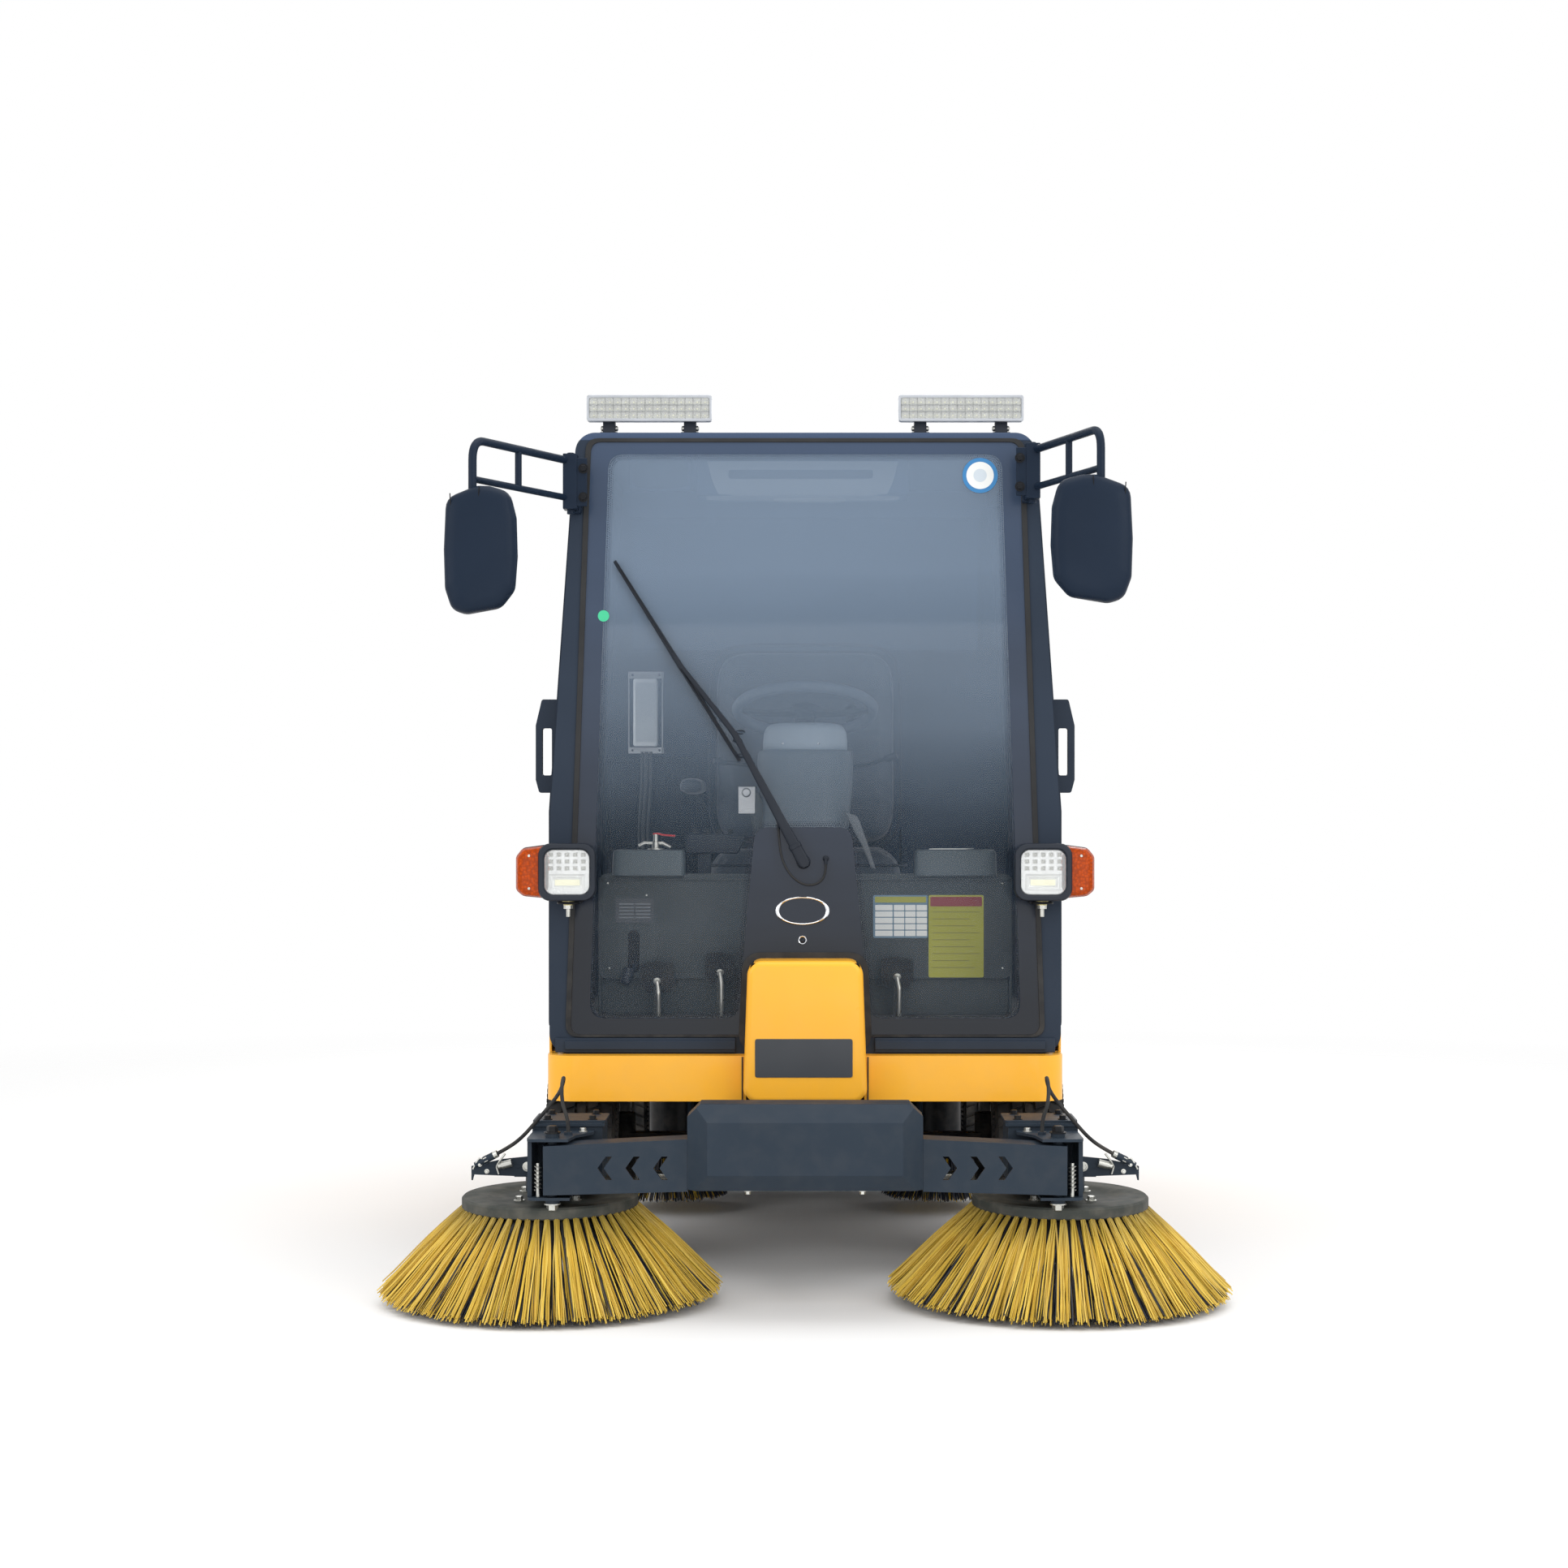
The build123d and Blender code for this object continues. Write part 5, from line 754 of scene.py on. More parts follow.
def skirtTree():
    # tufts of strands round a disc, from a root ring down to a wider tip ring
    tree, given = startTree("bristleSkirt", (
        ("Strand", "Object", None), ("Material", "Material", None), ("Tufts", "Int", 44), ("Strands", "Int", 30),
        ("Phase", "Float", 0.0), ("Root Radius", "Float", 0.18), ("Root Height", "Float", 0.0),
        ("Root Spread", "Float", 0.006), ("Tip Radius", "Float", 0.36), ("Tip Depth", "Float", 0.18),
        ("Tip Spread", "Float", 0.03), ("Tip Band", "Float", 0.02), ("Width", "Float", 0.0026), ("Seed", "Int", 1),
    ))
    count = maths(tree, "MULTIPLY", given["Tufts"], given["Strands"])
    index = addNode(tree, "GeometryNodeInputIndex").outputs[0]
    tuft = maths(tree, "FLOOR", maths(tree, "DIVIDE", maths(tree, "ADD", index, 0.5), given["Strands"]))
    step = maths(tree, "DIVIDE", 2 * math.pi, given["Tufts"])
    angle = maths(tree, "MULTIPLY", maths(tree, "ADD", tuft, given["Phase"]), step)
    seeds = [maths(tree, "ADD", given["Seed"], 11 * i) for i in range(6)]
    cosine, sine = maths(tree, "COSINE", angle), maths(tree, "SINE", angle)

    def ringPoint(radius, shift, height):
        # radius out along the tuft's ray, shift sideways to it
        x = maths(tree, "SUBTRACT", maths(tree, "MULTIPLY", radius, cosine), maths(tree, "MULTIPLY", shift, sine))
        y = maths(tree, "ADD", maths(tree, "MULTIPLY", radius, sine), maths(tree, "MULTIPLY", shift, cosine))
        return vectorOf(tree, x, y, height)

    spin = chance(tree, 0.0, 2 * math.pi, seeds[0])
    reach = maths(tree, "MULTIPLY", maths(tree, "SQRT", chance(tree, 0.0, 1.0, seeds[1])), given["Root Spread"])
    rootOut = maths(tree, "MULTIPLY_ADD", maths(tree, "COSINE", spin), reach, given["Root Radius"])
    rootSide = maths(tree, "MULTIPLY", maths(tree, "SINE", spin), reach)
    root = ringPoint(rootOut, rootSide, given["Root Height"])
    swing = chance(tree, -1.0, 1.0, seeds[2])
    wide = maths(tree, "MULTIPLY", maths(tree, "MULTIPLY", swing, maths(tree, "ABSOLUTE", swing)), 0.45)
    tipSide = maths(tree, "MULTIPLY", maths(tree, "MULTIPLY_ADD", swing, 0.55, wide), given["Tip Spread"])
    tipOut = maths(tree, "MULTIPLY_ADD", chance(tree, -1.0, 0.0, seeds[3]), given["Tip Band"], given["Tip Radius"])
    tipDrop = maths(tree, "MULTIPLY", given["Tip Depth"], chance(tree, -1.0, -0.945, seeds[4]))
    tip = ringPoint(tipOut, tipSide, tipDrop)
    run = addNode(tree, "ShaderNodeVectorMath", {0: tip, 1: root}, operation="SUBTRACT").outputs[0]
    length = addNode(tree, "ShaderNodeVectorMath", {0: run}, operation="LENGTH").outputs["Value"]
    points = addNode(tree, "GeometryNodePoints", {"Count": count, "Position": root}).outputs[0]
    aim = addNode(tree, "FunctionNodeAlignRotationToVector", {"Vector": run}, axis="Z").outputs[0]
    roll = addNode(tree, "FunctionNodeAxisAngleToRotation", {"Angle": chance(tree, 0.0, 6.28, seeds[5])}).outputs[0]
    turned = addNode(
        tree, "FunctionNodeRotateRotation", {"Rotation": aim, "Rotate By": roll}, rotation_space="LOCAL"
    ).outputs[0]
    strand = addNode(tree, "GeometryNodeObjectInfo", {"Object": given["Strand"]}).outputs["Geometry"]
    sizes = vectorOf(tree, given["Width"], given["Width"], length)
    copies = addNode(
        tree, "GeometryNodeInstanceOnPoints",
        {"Points": points, "Instance": strand, "Rotation": turned, "Scale": sizes},
    ).outputs[0]
    toned = addNode(
        tree, "GeometryNodeStoreNamedAttribute",
        {"Geometry": copies, "Name": "strandTone", "Value": chance(tree, 0.0, 1.0, seeds[2])},
        data_type="FLOAT", domain="INSTANCE",
    ).outputs[0]
    endTree(tree, toned, given["Material"])
    return tree


skirt = skirtTree()

# the side brushes lean forward and outward, as their spin axis does
sideBrush = {
    "place": (0.545, -0.905, 0.228), "lean": (math.tan(math.radians(0.5)), -math.tan(math.radians(1.5)), 1.0),
    "hubRadius": 0.188, "hubThick": 0.025, "tipRadius": 0.3645, "tipDepth": 0.2075, "tufts": 58,
    "strands": (26, 24),
}
midBrush = {
    "place": (0.36, 0.448, 0.18), "lean": (0.0, 0.0, 1.0),
    "hubRadius": 0.08, "hubThick": 0.022, "tipRadius": 0.1545, "tipDepth": 0.143, "tufts": 28,
    "strands": (20, 14),
}


def makeDiscBrush(name, node, brush, sign, outer, inner, seed):
    lean = Vector((sign * brush["lean"][0], *brush["lean"][1:])).normalized()
    place = Vector((sign * brush["place"][0], *brush["place"][1:]))
    turn = Matrix.Translation(place) @ frameOf(lean, (1, 0, 0)).to_4x4()
    hubRadius, thick = brush["hubRadius"], brush["hubThick"]
    small = hubRadius / sideBrush["hubRadius"]
    body = bodyOf[node]
    shaft = 0.0145
    profile = (
        (-0.018, shaft), (-0.001, shaft), (0.0, 0.04 * small), (-0.004, 0.046 * small), (-0.005, 0.12 * small),
        (-0.002, 0.128 * small), (0.0, 0.15 * small), (0.0, hubRadius - 0.004), (-0.004, hubRadius),
        (-thick + 0.003, hubRadius), (-thick, hubRadius - 0.003), (-thick, shaft), (-0.018, shaft),
    )
    build(f"{name}_hub", [(addLathe, profile, place, lean, 96)], "hub", "bristle", (node,), body=body, smooth=30)
    ring = 0.085 * small
    bolts = [
        (turn @ Vector((ring * math.cos(a), ring * math.sin(a), -0.0045)), lean, 0.015 * small)
        for a in (math.radians(45 + 90 * i) for i in range(4))
    ]
    repeatShape(f"{name}_hubBolts", "hexBolt", bolts, body, "zinc")
    settings = {
        "Strand": shapeStore["longStrand"], "Tufts": brush["tufts"], "Root Height": -thick + 0.004,
        "Root Spread": 0.0052 * small, "Tip Depth": brush["tipDepth"],
    }
    pitch = 2 * math.pi * brush["tipRadius"] / brush["tufts"]
    for label, paint, phase, strands, rootRadius, tipRadius, spread in (
        ("outerTufts", outer, 0.0, brush["strands"][0], hubRadius - 0.007 * small, brush["tipRadius"],
         0.44 * pitch),
        ("innerTufts", inner, 0.5, brush["strands"][1], hubRadius - 0.022 * small, brush["tipRadius"] - 0.01,
         0.46 * pitch),
    ):
        growPiece(
            f"{name}_{label}", skirt, bpy.data.meshes.new("none"),
            settings | {
                "Material": paints[paint], "Phase": phase, "Strands": strands, "Root Radius": rootRadius,
                "Tip Radius": tipRadius, "Tip Spread": spread, "Tip Band": 0.03 * small, "Width": 0.003,
                "Seed": seed,
            },
            body, place=turn,
        )
        seed += 100


for side, sign in sideSign.items():
    makeDiscBrush(f"sideBrush_{side}", f"side_brush_{side}", sideBrush, sign, "yellowStrand", "blackStrand",
                  3 + sign)
    makeDiscBrush(f"midBrush_{side}", f"mid_brush_{side}", midBrush, sign, "blackStrand", "yellowStrand", 23 + sign)

roller = {
    "place": (0.0, 0.755, 0.125), "radius": 0.1195, "core": 0.048, "half": 0.379, "shaft": 0.0145, "edge": 0.003,
    "rows": 8, "tufts": 40, "strands": 14, "inset": 0.012, "twist": 1.6, "sideLean": 0.16, "lean": 0.12,
    "spread": 0.004,
    "strand": ((0.0, 0.0011), (0.5, 0.0011), (1.0, 0.0008)),
}


def makeRoller():
    d = roller
    centre, half, shaft, edge, coreRadius = Vector(d["place"]), d["half"], d["shaft"], d["edge"], d["core"]
    profile = (
        (-half, shaft), (-half, coreRadius - edge), (-half + edge, coreRadius), (half - edge, coreRadius),
        (half, coreRadius - edge), (half, shaft), (-half, shaft),
    )
    build("rollerCore", [(addLathe, profile, centre, (1, 0, 0), 40)],
          "darkPlastic", "bristle", ("roller_brush",), body="roller_body")
    spots = []
    for row in range(d["rows"]):
        for i in range(d["tufts"]):
            along = -half + d["inset"] + (2 * half - 2 * d["inset"]) * i / (d["tufts"] - 1)
            angle = 2 * math.pi * row / d["rows"] + d["twist"] * along / half
            for _ in range(d["strands"]):
                lean = Vector((random.uniform(-d["sideLean"], d["sideLean"]), math.cos(angle), math.sin(angle)))
                lean += Vector((0, random.uniform(-d["lean"], d["lean"]), random.uniform(-d["lean"], d["lean"])))
                lean.normalize()
                radial = Vector((0, lean.y, lean.z)).length
                shift = random.uniform(-d["spread"], d["spread"])
                root = centre + Vector((along + shift, 0, 0)) + lean * (coreRadius - 0.004)
                spots.append((root, lean, (d["radius"] / radial - coreRadius) * random.uniform(0.93, 1.0)))
    strands = bmesh.new()
    run = strands.verts.layers.float.new("strandRun")
    own = strands.verts.layers.float.new("strandTone")
    for root, lean, length in spots:
        turn = frameOf(lean)
        shade = random.random()
        rows = []
        for t, wide in d["strand"]:
            row = []
            for a in (0.5, 2.6, 4.7):
                offset = Vector((wide * math.cos(a), wide * math.sin(a), length * t))
                vertex = strands.verts.new(root + turn @ offset)
                vertex[run], vertex[own] = t, shade
                row.append(vertex)
            rows.append(row)
        joinRings(strands, rows)
        strands.faces.new(list(reversed(rows[0])))
        strands.faces.new(rows[-1])
    addPiece("rollerBristles", strands, "roller_body", "blackStrand", "bristle", recalc=False)


makeRoller()
print("brushes")


# wheels
tyre = {
    "radius": 0.255, "half": 0.0825, "bead": 0.152, "rimHalf": 0.064,
    "lugs": 56, "lugRise": 0.0075,
}
wheelPlaces = {
    f"{row}_{side}": Vector((sign * 0.512, y, 0.255))
    for row, y in (("front", -0.27), ("rear", 0.98)) for side, sign in sideSign.items()
}


def makeTyre(name, centre):
    node = f"tyre_{name}"
    carcass = bmesh.new()
    r, half, bead = tyre["radius"], tyre["half"], tyre["bead"]
    crown = r - tyre["lugRise"]
    outer = (
        (-tyre["rimHalf"], bead), (-0.068, bead + 0.004), (-0.074, bead + 0.012), (-0.0805, bead + 0.03),
        (-0.0822, bead + 0.034), (-0.0822, bead + 0.042), (-0.0812, bead + 0.045), (-half, bead + 0.06),
        (-half, bead + 0.07), (-0.08, r - 0.022), (-0.0765, r - 0.013), (-0.07, crown - 0.001),
        (-0.045, crown), (0.0, crown + 0.0005),
    )
    profile = list(outer) + [(-a, b) for a, b in reversed(outer[:-1])]
    profile += [(0.05, bead - 0.004), (-0.05, bead - 0.004)]
    addLathe(carcass, profile, centre, (1, 0, 0), 96, closed=True)
    addPiece(f"tyreCarcass_{name}", carcass, bodyOf[node], "tyre", "tyre", (node,), smooth=32)
    blocks = bmesh.new()
    columns = ((-0.058, 0.026, 0.0, 1), (-0.0265, 0.024, 0.5, 1), (0.0, 0.02, 0.0, -1), (0.0265, 0.024, 0.5, 1),
               (0.058, 0.026, 0.0, -1))
    pitch = 2 * math.pi / tyre["lugs"]
    for shift, width, phase, skew in columns:
        drop = 0.0018 if abs(shift) > 0.05 else 0.0
        for i in range(tyre["lugs"]):
            angle = (i + phase) * pitch
            turn = Matrix.Translation(centre) @ Matrix.Rotation(angle, 4, "X")
            for corner, height in [(c, h) for h in (0, 1) for c in range(4)]:
                x = (-0.5, 0.5, 0.5, -0.5)[corner] * width * (1 - 0.06 * height)
                y = (-0.5, -0.5, 0.5, 0.5)[corner] * (r * pitch * 0.78) * (1 - 0.06 * height)
                y += skew * x * 0.35
                z = (crown - 0.004, r - 0.0006 - drop)[height]
                blocks.verts.new(turn @ Vector((shift + x, y, z)))
            blocks.verts.ensure_lookup_table()
            v = blocks.verts[-8:]
            for quad in ((3, 2, 1, 0), (4, 5, 6, 7), (0, 1, 5, 4), (1, 2, 6, 5), (2, 3, 7, 6), (3, 0, 4, 7)):
                blocks.faces.new([v[q] for q in quad])
    # shoulder bars down the side walls
    for sideways in (-1, 1):
        for i in range(tyre["lugs"] * 2):
            angle = i * pitch / 2
            turn = Matrix.Translation(centre) @ Matrix.Rotation(angle, 4, "X")
            across = sideways * (half - 0.0028)
            addBoxTurned(blocks, turn, (across - 0.0026, -0.0035, r - 0.034), (across + 0.0026, 0.0035, r - 0.016))
    addPiece(f"tyreTread_{name}", blocks, bodyOf[node], "tyre", "tyre", smooth=25)


def addBoxTurned(bm, turn, low, high):
    for vertex in addBox(bm, low, high):
        vertex.co = turn @ vertex.co


hubCap = {
    "nuts": 5, "nut": 0.019, "nutPitch": 0.066, "nutX": 0.026, "x": 0.043,
    "profile": ((0.0, 0.03), (0.004, 0.031), (0.008, 0.028), (0.01, 0.018), (0.0105, 0.0)),
    "valve": ((0.02, 0.128), (0.052, 0.12)), "valveRadius": 0.0035,
}


def makeWheel(name, centre):
    side = 1 if centre.x > 0 else -1
    node = f"rim_{name}"
    body = bodyOf[node]
    dress(node, f"rimDisc_{name}", "rim", 0.0015)
    face, pitch, count = centre.x + side * hubCap["nutX"], hubCap["nutPitch"], hubCap["nuts"]
    nuts = [
        ((face, centre.y + pitch * math.sin(a), centre.z + pitch * math.cos(a)), (side, 0, 0), hubCap["nut"])
        for a in (2 * math.pi * i / count for i in range(count))
    ]
    repeatShape(f"wheelNuts_{name}", "hexBolt", nuts, body, "zinc")
    valveEnds = [(centre.x + side * out, centre.y, centre.z + up) for out, up in hubCap["valve"]]
    build(f"hubCap_{name}", [
        (addLathe, hubCap["profile"], (centre.x + side * hubCap["x"], centre.y, centre.z), (side, 0, 0), 32),
        (addRod, *valveEnds, hubCap["valveRadius"], None, 10),
    ], "black", "rim", body=body, smooth=40)


for name, centre in wheelPlaces.items():
    makeTyre(name, centre)
    makeWheel(name, centre)
print("wheels")


# windscreen border, badge and trim
screen = {"baseY": -0.62, "baseZ": 0.502, "lean": 0.06 / 1.402}
screenOut = Vector((0, -1, screen["lean"])).normalized()
screenUp = Vector((0, screen["lean"], 1)).normalized()


def onScreen(x, z, out=0.0):
    # a point of the windscreen's plane, moved out of the cab
    return Vector((x, screen["baseY"] + (z - screen["baseZ"]) * screen["lean"], z)) + screenOut * out


def addSheet(bm, outlines, spot, thick):
    # a flat sheet with holes: the first outline is its edge; spot turns (a, b, out) into a point
    loops = [[Vector((a, b, 0)) for a, b in outline] for outline in outlines]
    flat = [point for loop in loops for point in loop]
    faces = tessellate_polygon(loops)
    layers = [[bm.verts.new(spot(p.x, p.y, out)) for p in flat] for out in (0.0, thick)]
    for a, b, c in faces:
        bm.faces.new([layers[0][i] for i in (a, b, c)])
        bm.faces.new([layers[1][i] for i in (c, b, a)])
    start = 0
    for loop in loops:
        count = len(loop)
        for i in range(count):
            here, there = start + i, start + (i + 1) % count
            bm.faces.new((layers[0][here], layers[0][there], layers[1][there], layers[1][here]))
        start += count


border = {
    "outer": ((-0.5265, 0.5445), (0.5265, 0.5445), (0.4845, 1.8815), (-0.4845, 1.8815)), "outerRound": 0.024,
    "clear": (
        (-0.484, 0.581), (-0.15, 0.581), (-0.137, 0.745), (-0.113, 1.01), (0.104, 1.01), (0.13, 0.745),
        (0.143, 0.581), (0.484, 0.581), (0.445, 1.854), (-0.445, 1.854),
    ),
    "clearRound": 0.036, "thick": 0.0004, "dotPitch": 0.0052,
    "dotRows": ((0.0035, 0.0017), (0.008, 0.0013), (0.012, 0.0009)),
}


def resample(outline, pitch):
    # even steps round a closed outline, each with its inward direction
    spots = []
    count = len(outline)
    left = 0.0
    for i in range(count):
        a, b = Vector(outline[i]), Vector(outline[(i + 1) % count])
        run = (b - a).length
        if run < 1e-7:
            continue
        way = (b - a) / run
        t = left
        while t < run:
            spots.append((a + way * t, Vector((-way.y, way.x))))
            t += pitch
        left = t - run
    return spots


def makeBorder():
    outer = roundCorners(border["outer"], border["outerRound"])
    clear = roundCorners(border["clear"], border["clearRound"], 8)
    sheet = bmesh.new()
    addSheet(sheet, [outer, clear], lambda a, b, out: onScreen(a, b, out + 0.0002), border["thick"])
    addPiece("screenBorder", sheet, "carrier", "frit", "glass")
    dots = bmesh.new()
    for row, (inset, size) in enumerate(border["dotRows"]):
        for spot, inward in resample(clear, border["dotPitch"]):
            middle = spot + inward * inset + Vector((inward.y, -inward.x)) * (border["dotPitch"] / 2 * (row % 2))
            corners = [
                dots.verts.new(onScreen(
                    middle.x + size * math.cos(math.pi / 3 * k), middle.y + size * math.sin(math.pi / 3 * k),
                    0.0004))
                for k in range(6)
            ]
            dots.faces.new(corners)
    addPiece("screenBorderDots", dots, "carrier", "frit", "glass", recalc=False)


seal = {"grow": 0.012, "top": 0.009, "bottom": 0.006, "round": 0.03, "thick": 0.005, "sink": 0.001}
# steps of the sill: low, high, outer end, out
sill = {"steps": ((0.505, 0.537, 0.56, 0.01), (0.511, 0.531, 0.538, 0.015)), "near": 0.156, "back": -0.002}
boxFaces = ((0, 1, 2, 3), (7, 6, 5, 4), (0, 4, 5, 1), (1, 5, 6, 2), (2, 6, 7, 3), (3, 7, 4, 0))


def makeScreenSeal():
    # rubber lip round the pane, and the stepped sill under it
    inner = roundCorners(border["outer"], border["outerRound"])
    grown = roundCorners([
        (x * (1 + seal["grow"] / abs(x)),
         z + (seal["top"] if z > 1 else -seal["bottom"])) for x, z in border["outer"]
    ], seal["round"])
    build("screenSeal", [
        (addSheet, [grown, inner], lambda a, b, out: onScreen(a, b, out - seal["sink"]), seal["thick"]),
    ], "rubber", bevel=0.001)
    steps, near = bmesh.new(), sill["near"]
    for sign in (-1, 1):
        for low, high, end, out in sill["steps"]:
            points = rect(sign * near, sign * end, low, high)
            verts = [steps.verts.new(onScreen(x, z, lift)) for lift in (sill["back"], out) for x, z in points]
            for quad in boxFaces:
                steps.faces.new([verts[q] for q in quad])
    addPiece("screenSill", steps, "carrier", "cab", bevel=0.0015)


badge = {
    "middle": (-0.006, 0.822), "half": (0.0615, 0.0325), "band": 0.0052, "rise": 0.005, "steps": 64,
    # section of the ring: share of the band, out
    "section": ((0, 0.0006), (0, 0.003), (0.16, 0.0048), (0.5, 0.0058), (0.84, 0.0048), (1, 0.003), (1, 0.0006)),
    "inset": 0.004, "fieldThick": 0.0016, "port": (-0.006, 0.756, 0.0005),
    "portRing": ((0.0, 0.0098), (0.0035, 0.0098), (0.0045, 0.0088), (0.004, 0.0072), (0.0015, 0.0062),
                 (0.0, 0.0062)),
    "portCentre": ((0.0, 0.0064), (0.002, 0.006), (0.0032, 0.0032), (0.0036, 0.0)),
}


def makeBadge():
    # blank oval badge: a bright ring round a plain dark field, with a small round port under it
    (middleX, middleZ), (halfWidth, halfHeight), steps = badge["middle"], badge["half"], badge["steps"]
    ring, rows = bmesh.new(), []
    for k in range(steps):
        angle = 2 * math.pi * k / steps
        band = badge["band"] * (1 + 0.9 * abs(math.cos(angle)) ** 6)
        row = []
        for inset, out in badge["section"]:
            x = (halfWidth - band * inset) * math.cos(angle)
            z = (halfHeight - band * inset) * math.sin(angle)
            row.append(ring.verts.new(onScreen(middleX + x, middleZ + z, out)))
        rows.append(row)
    for k in range(steps):
        here, there = rows[k], rows[(k + 1) % steps]
        for j in range(len(here)):
            m = (j + 1) % len(here)
            ring.faces.new((here[j], there[j], there[m], here[m]))
    addPiece("badgeRing", ring, "carrier", "chrome", "steel", smooth=50)
    oval = [
        ((halfWidth - badge["inset"]) * math.cos(a), (halfHeight - badge["inset"]) * math.sin(a))
        for a in (2 * math.pi * k / 48 for k in range(48))
    ]
    build("badgeField", [(
        addSheet, [oval], lambda a, b, out: onScreen(middleX + a, middleZ + b, out + 0.0006), badge["fieldThick"],
    )], "frit", "black_plastic", bevel=0.0004)
    port = onScreen(*badge["port"])
    build("portRing", [(addLathe, badge["portRing"], port, screenOut, 32, True)], "chrome", "steel")
    build("portCentre", [(addLathe, badge["portCentre"], port, screenOut, 24)], "frit", "black_plastic")


nose = {
    "frontY": -0.73, "halfLow": 0.138, "halfHigh": 0.127, "low": 0.506, "top": 0.716, "round": 0.033, "grow": 0.013,
    "seamX": 0.0015, "seamY": (-0.683, -0.6785), "seamZ": (0.404, 0.5),
}
plate = {"half": 0.1075, "x": -0.003, "low": 0.459, "high": 0.544, "round": 0.005, "thick": 0.0015}


def makeNoseTrim():
    # rubber surround where the column meets the windscreen, and the blank plate on its face
    d, grow = nose, nose["grow"]
    low, high, top = d["halfLow"] + grow, d["halfHigh"] + grow, d["top"] + grow
    outline = roundCorners([(-low, d["low"]), (low, d["low"]), (high, top), (-high, top)], d["round"] + grow, 8)
    build("columnSurround", [(addSheet, [outline], lambda a, b, out: onScreen(a, b, out + 0.0004), 0.012)],
          "rubber", bevel=0.003, steps=3)
    middle = (plate["x"], (plate["low"] + plate["high"]) / 2)
    outline = roundedBox(2 * plate["half"], plate["high"] - plate["low"], plate["round"], 5, middle)
    build("nosePlate", [(addSheet, [outline], lambda a, b, out: Vector((a, d["frontY"] - out, b)), plate["thick"])],
          "plateDark", "black_plastic", bevel=0.0005)
    # seams between the column and the skirt
    thin, (front, back), (low, high) = d["seamX"], d["seamY"], d["seamZ"]
    seams = [sign * (d["halfLow"] + thin) for sign in (-1, 1)]
    build("noseSeams", [(addBox, (x - thin, front, low), (x + thin, back, high)) for x in seams], "rubber",
          "black_plastic")


makeBorder()
makeScreenSeal()
makeBadge()
makeNoseTrim()
print("windscreen border, badge and nose trim")


# work lamps with their side indicators
lamp = {
    "x": 0.5245, "z": 0.9115, "frontY": -0.74, "backY": -0.662, "size": 0.127, "round": 0.027,
    "window": 0.099, "windowRound": 0.02, "cellPitch": (0.018, 0.0151), "cellSize": (0.0104, 0.0094),
    # levels of the housing behind its rim: width and height as shares of the size, corner, share of the depth
    "back": ((0.74, 0.7, 0.016, 1.0), (0.84, 0.82, 0.018, 0.8), (0.96, 0.96, 0.024, 0.42)), "rimDeep": 0.36,
    "ribs": 7, "ribLow": -0.045, "ribPitch": 0.015, "ribHalf": (0.044, 0.0014), "ribY": (-0.016, 0.006),
    "columns": 5, "rows": 3, "cellTop": 0.0385, "chip": ((-0.0275, -0.0295, -0.0165), (0.0275, -0.0165, -0.0148)),
    # reflector round the chip: half size, middle height, and its steps' insets and depths
    "well": (0.04, 0.019), "wellZ": -0.023, "steps": (
        (0.0, -0.01), (0.005, -0.0125), (0.007, -0.0125), (0.0105, -0.015), (0.0125, -0.0155),
    ),
}
indicator = {
    "outline": ((0.04, -0.058), (0.098, -0.053), (0.114, -0.04), (0.114, 0.034), (0.1, 0.052), (0.04, 0.06)),
    "round": 0.016, "root": 0.04, "screw": (0.084, -0.0098), "screwZ": (-0.036, 0.036), "screwSize": 0.006,
    # lens levels: width and height shares, depth
    "levels": ((1.0, 1.0, -0.062), (1.0, 1.0, -0.022), (0.93, 0.92, -0.012), (0.8, 0.74, -0.009)),
    "base": (1.01, 1.03), "baseY": (-0.078, -0.052),
}
lampBracket = {
    "plate": (0.05, 0.13, 0.02), "plateY": -0.655, "plateZ": 0.8405, "plateThick": 0.005, "half": 0.022,
    # blocks under the lamp and up its back: front, back, low, high
    "blocks": ((-0.64, -0.605, 0.8405, 0.846), (-0.62, -0.606, 0.8405, 0.93)),
    "studY": -0.698, "studZ": (0.812, 0.85), "studRadius": 0.0048, "nutZ": 0.8295,
    "nut": ((0.0, 0.0), (0.0, 0.0105), (0.01, 0.0105), (0.0105, 0.0)),
    "washers": (
        (0.8456, ((0.0, 0.005), (0.0, 0.0135), (0.0025, 0.0135), (0.0028, 0.005))),
        (0.8376, ((0.0, 0.005), (0.0, 0.011), (0.002, 0.011), (0.0022, 0.005))),
    ),
}


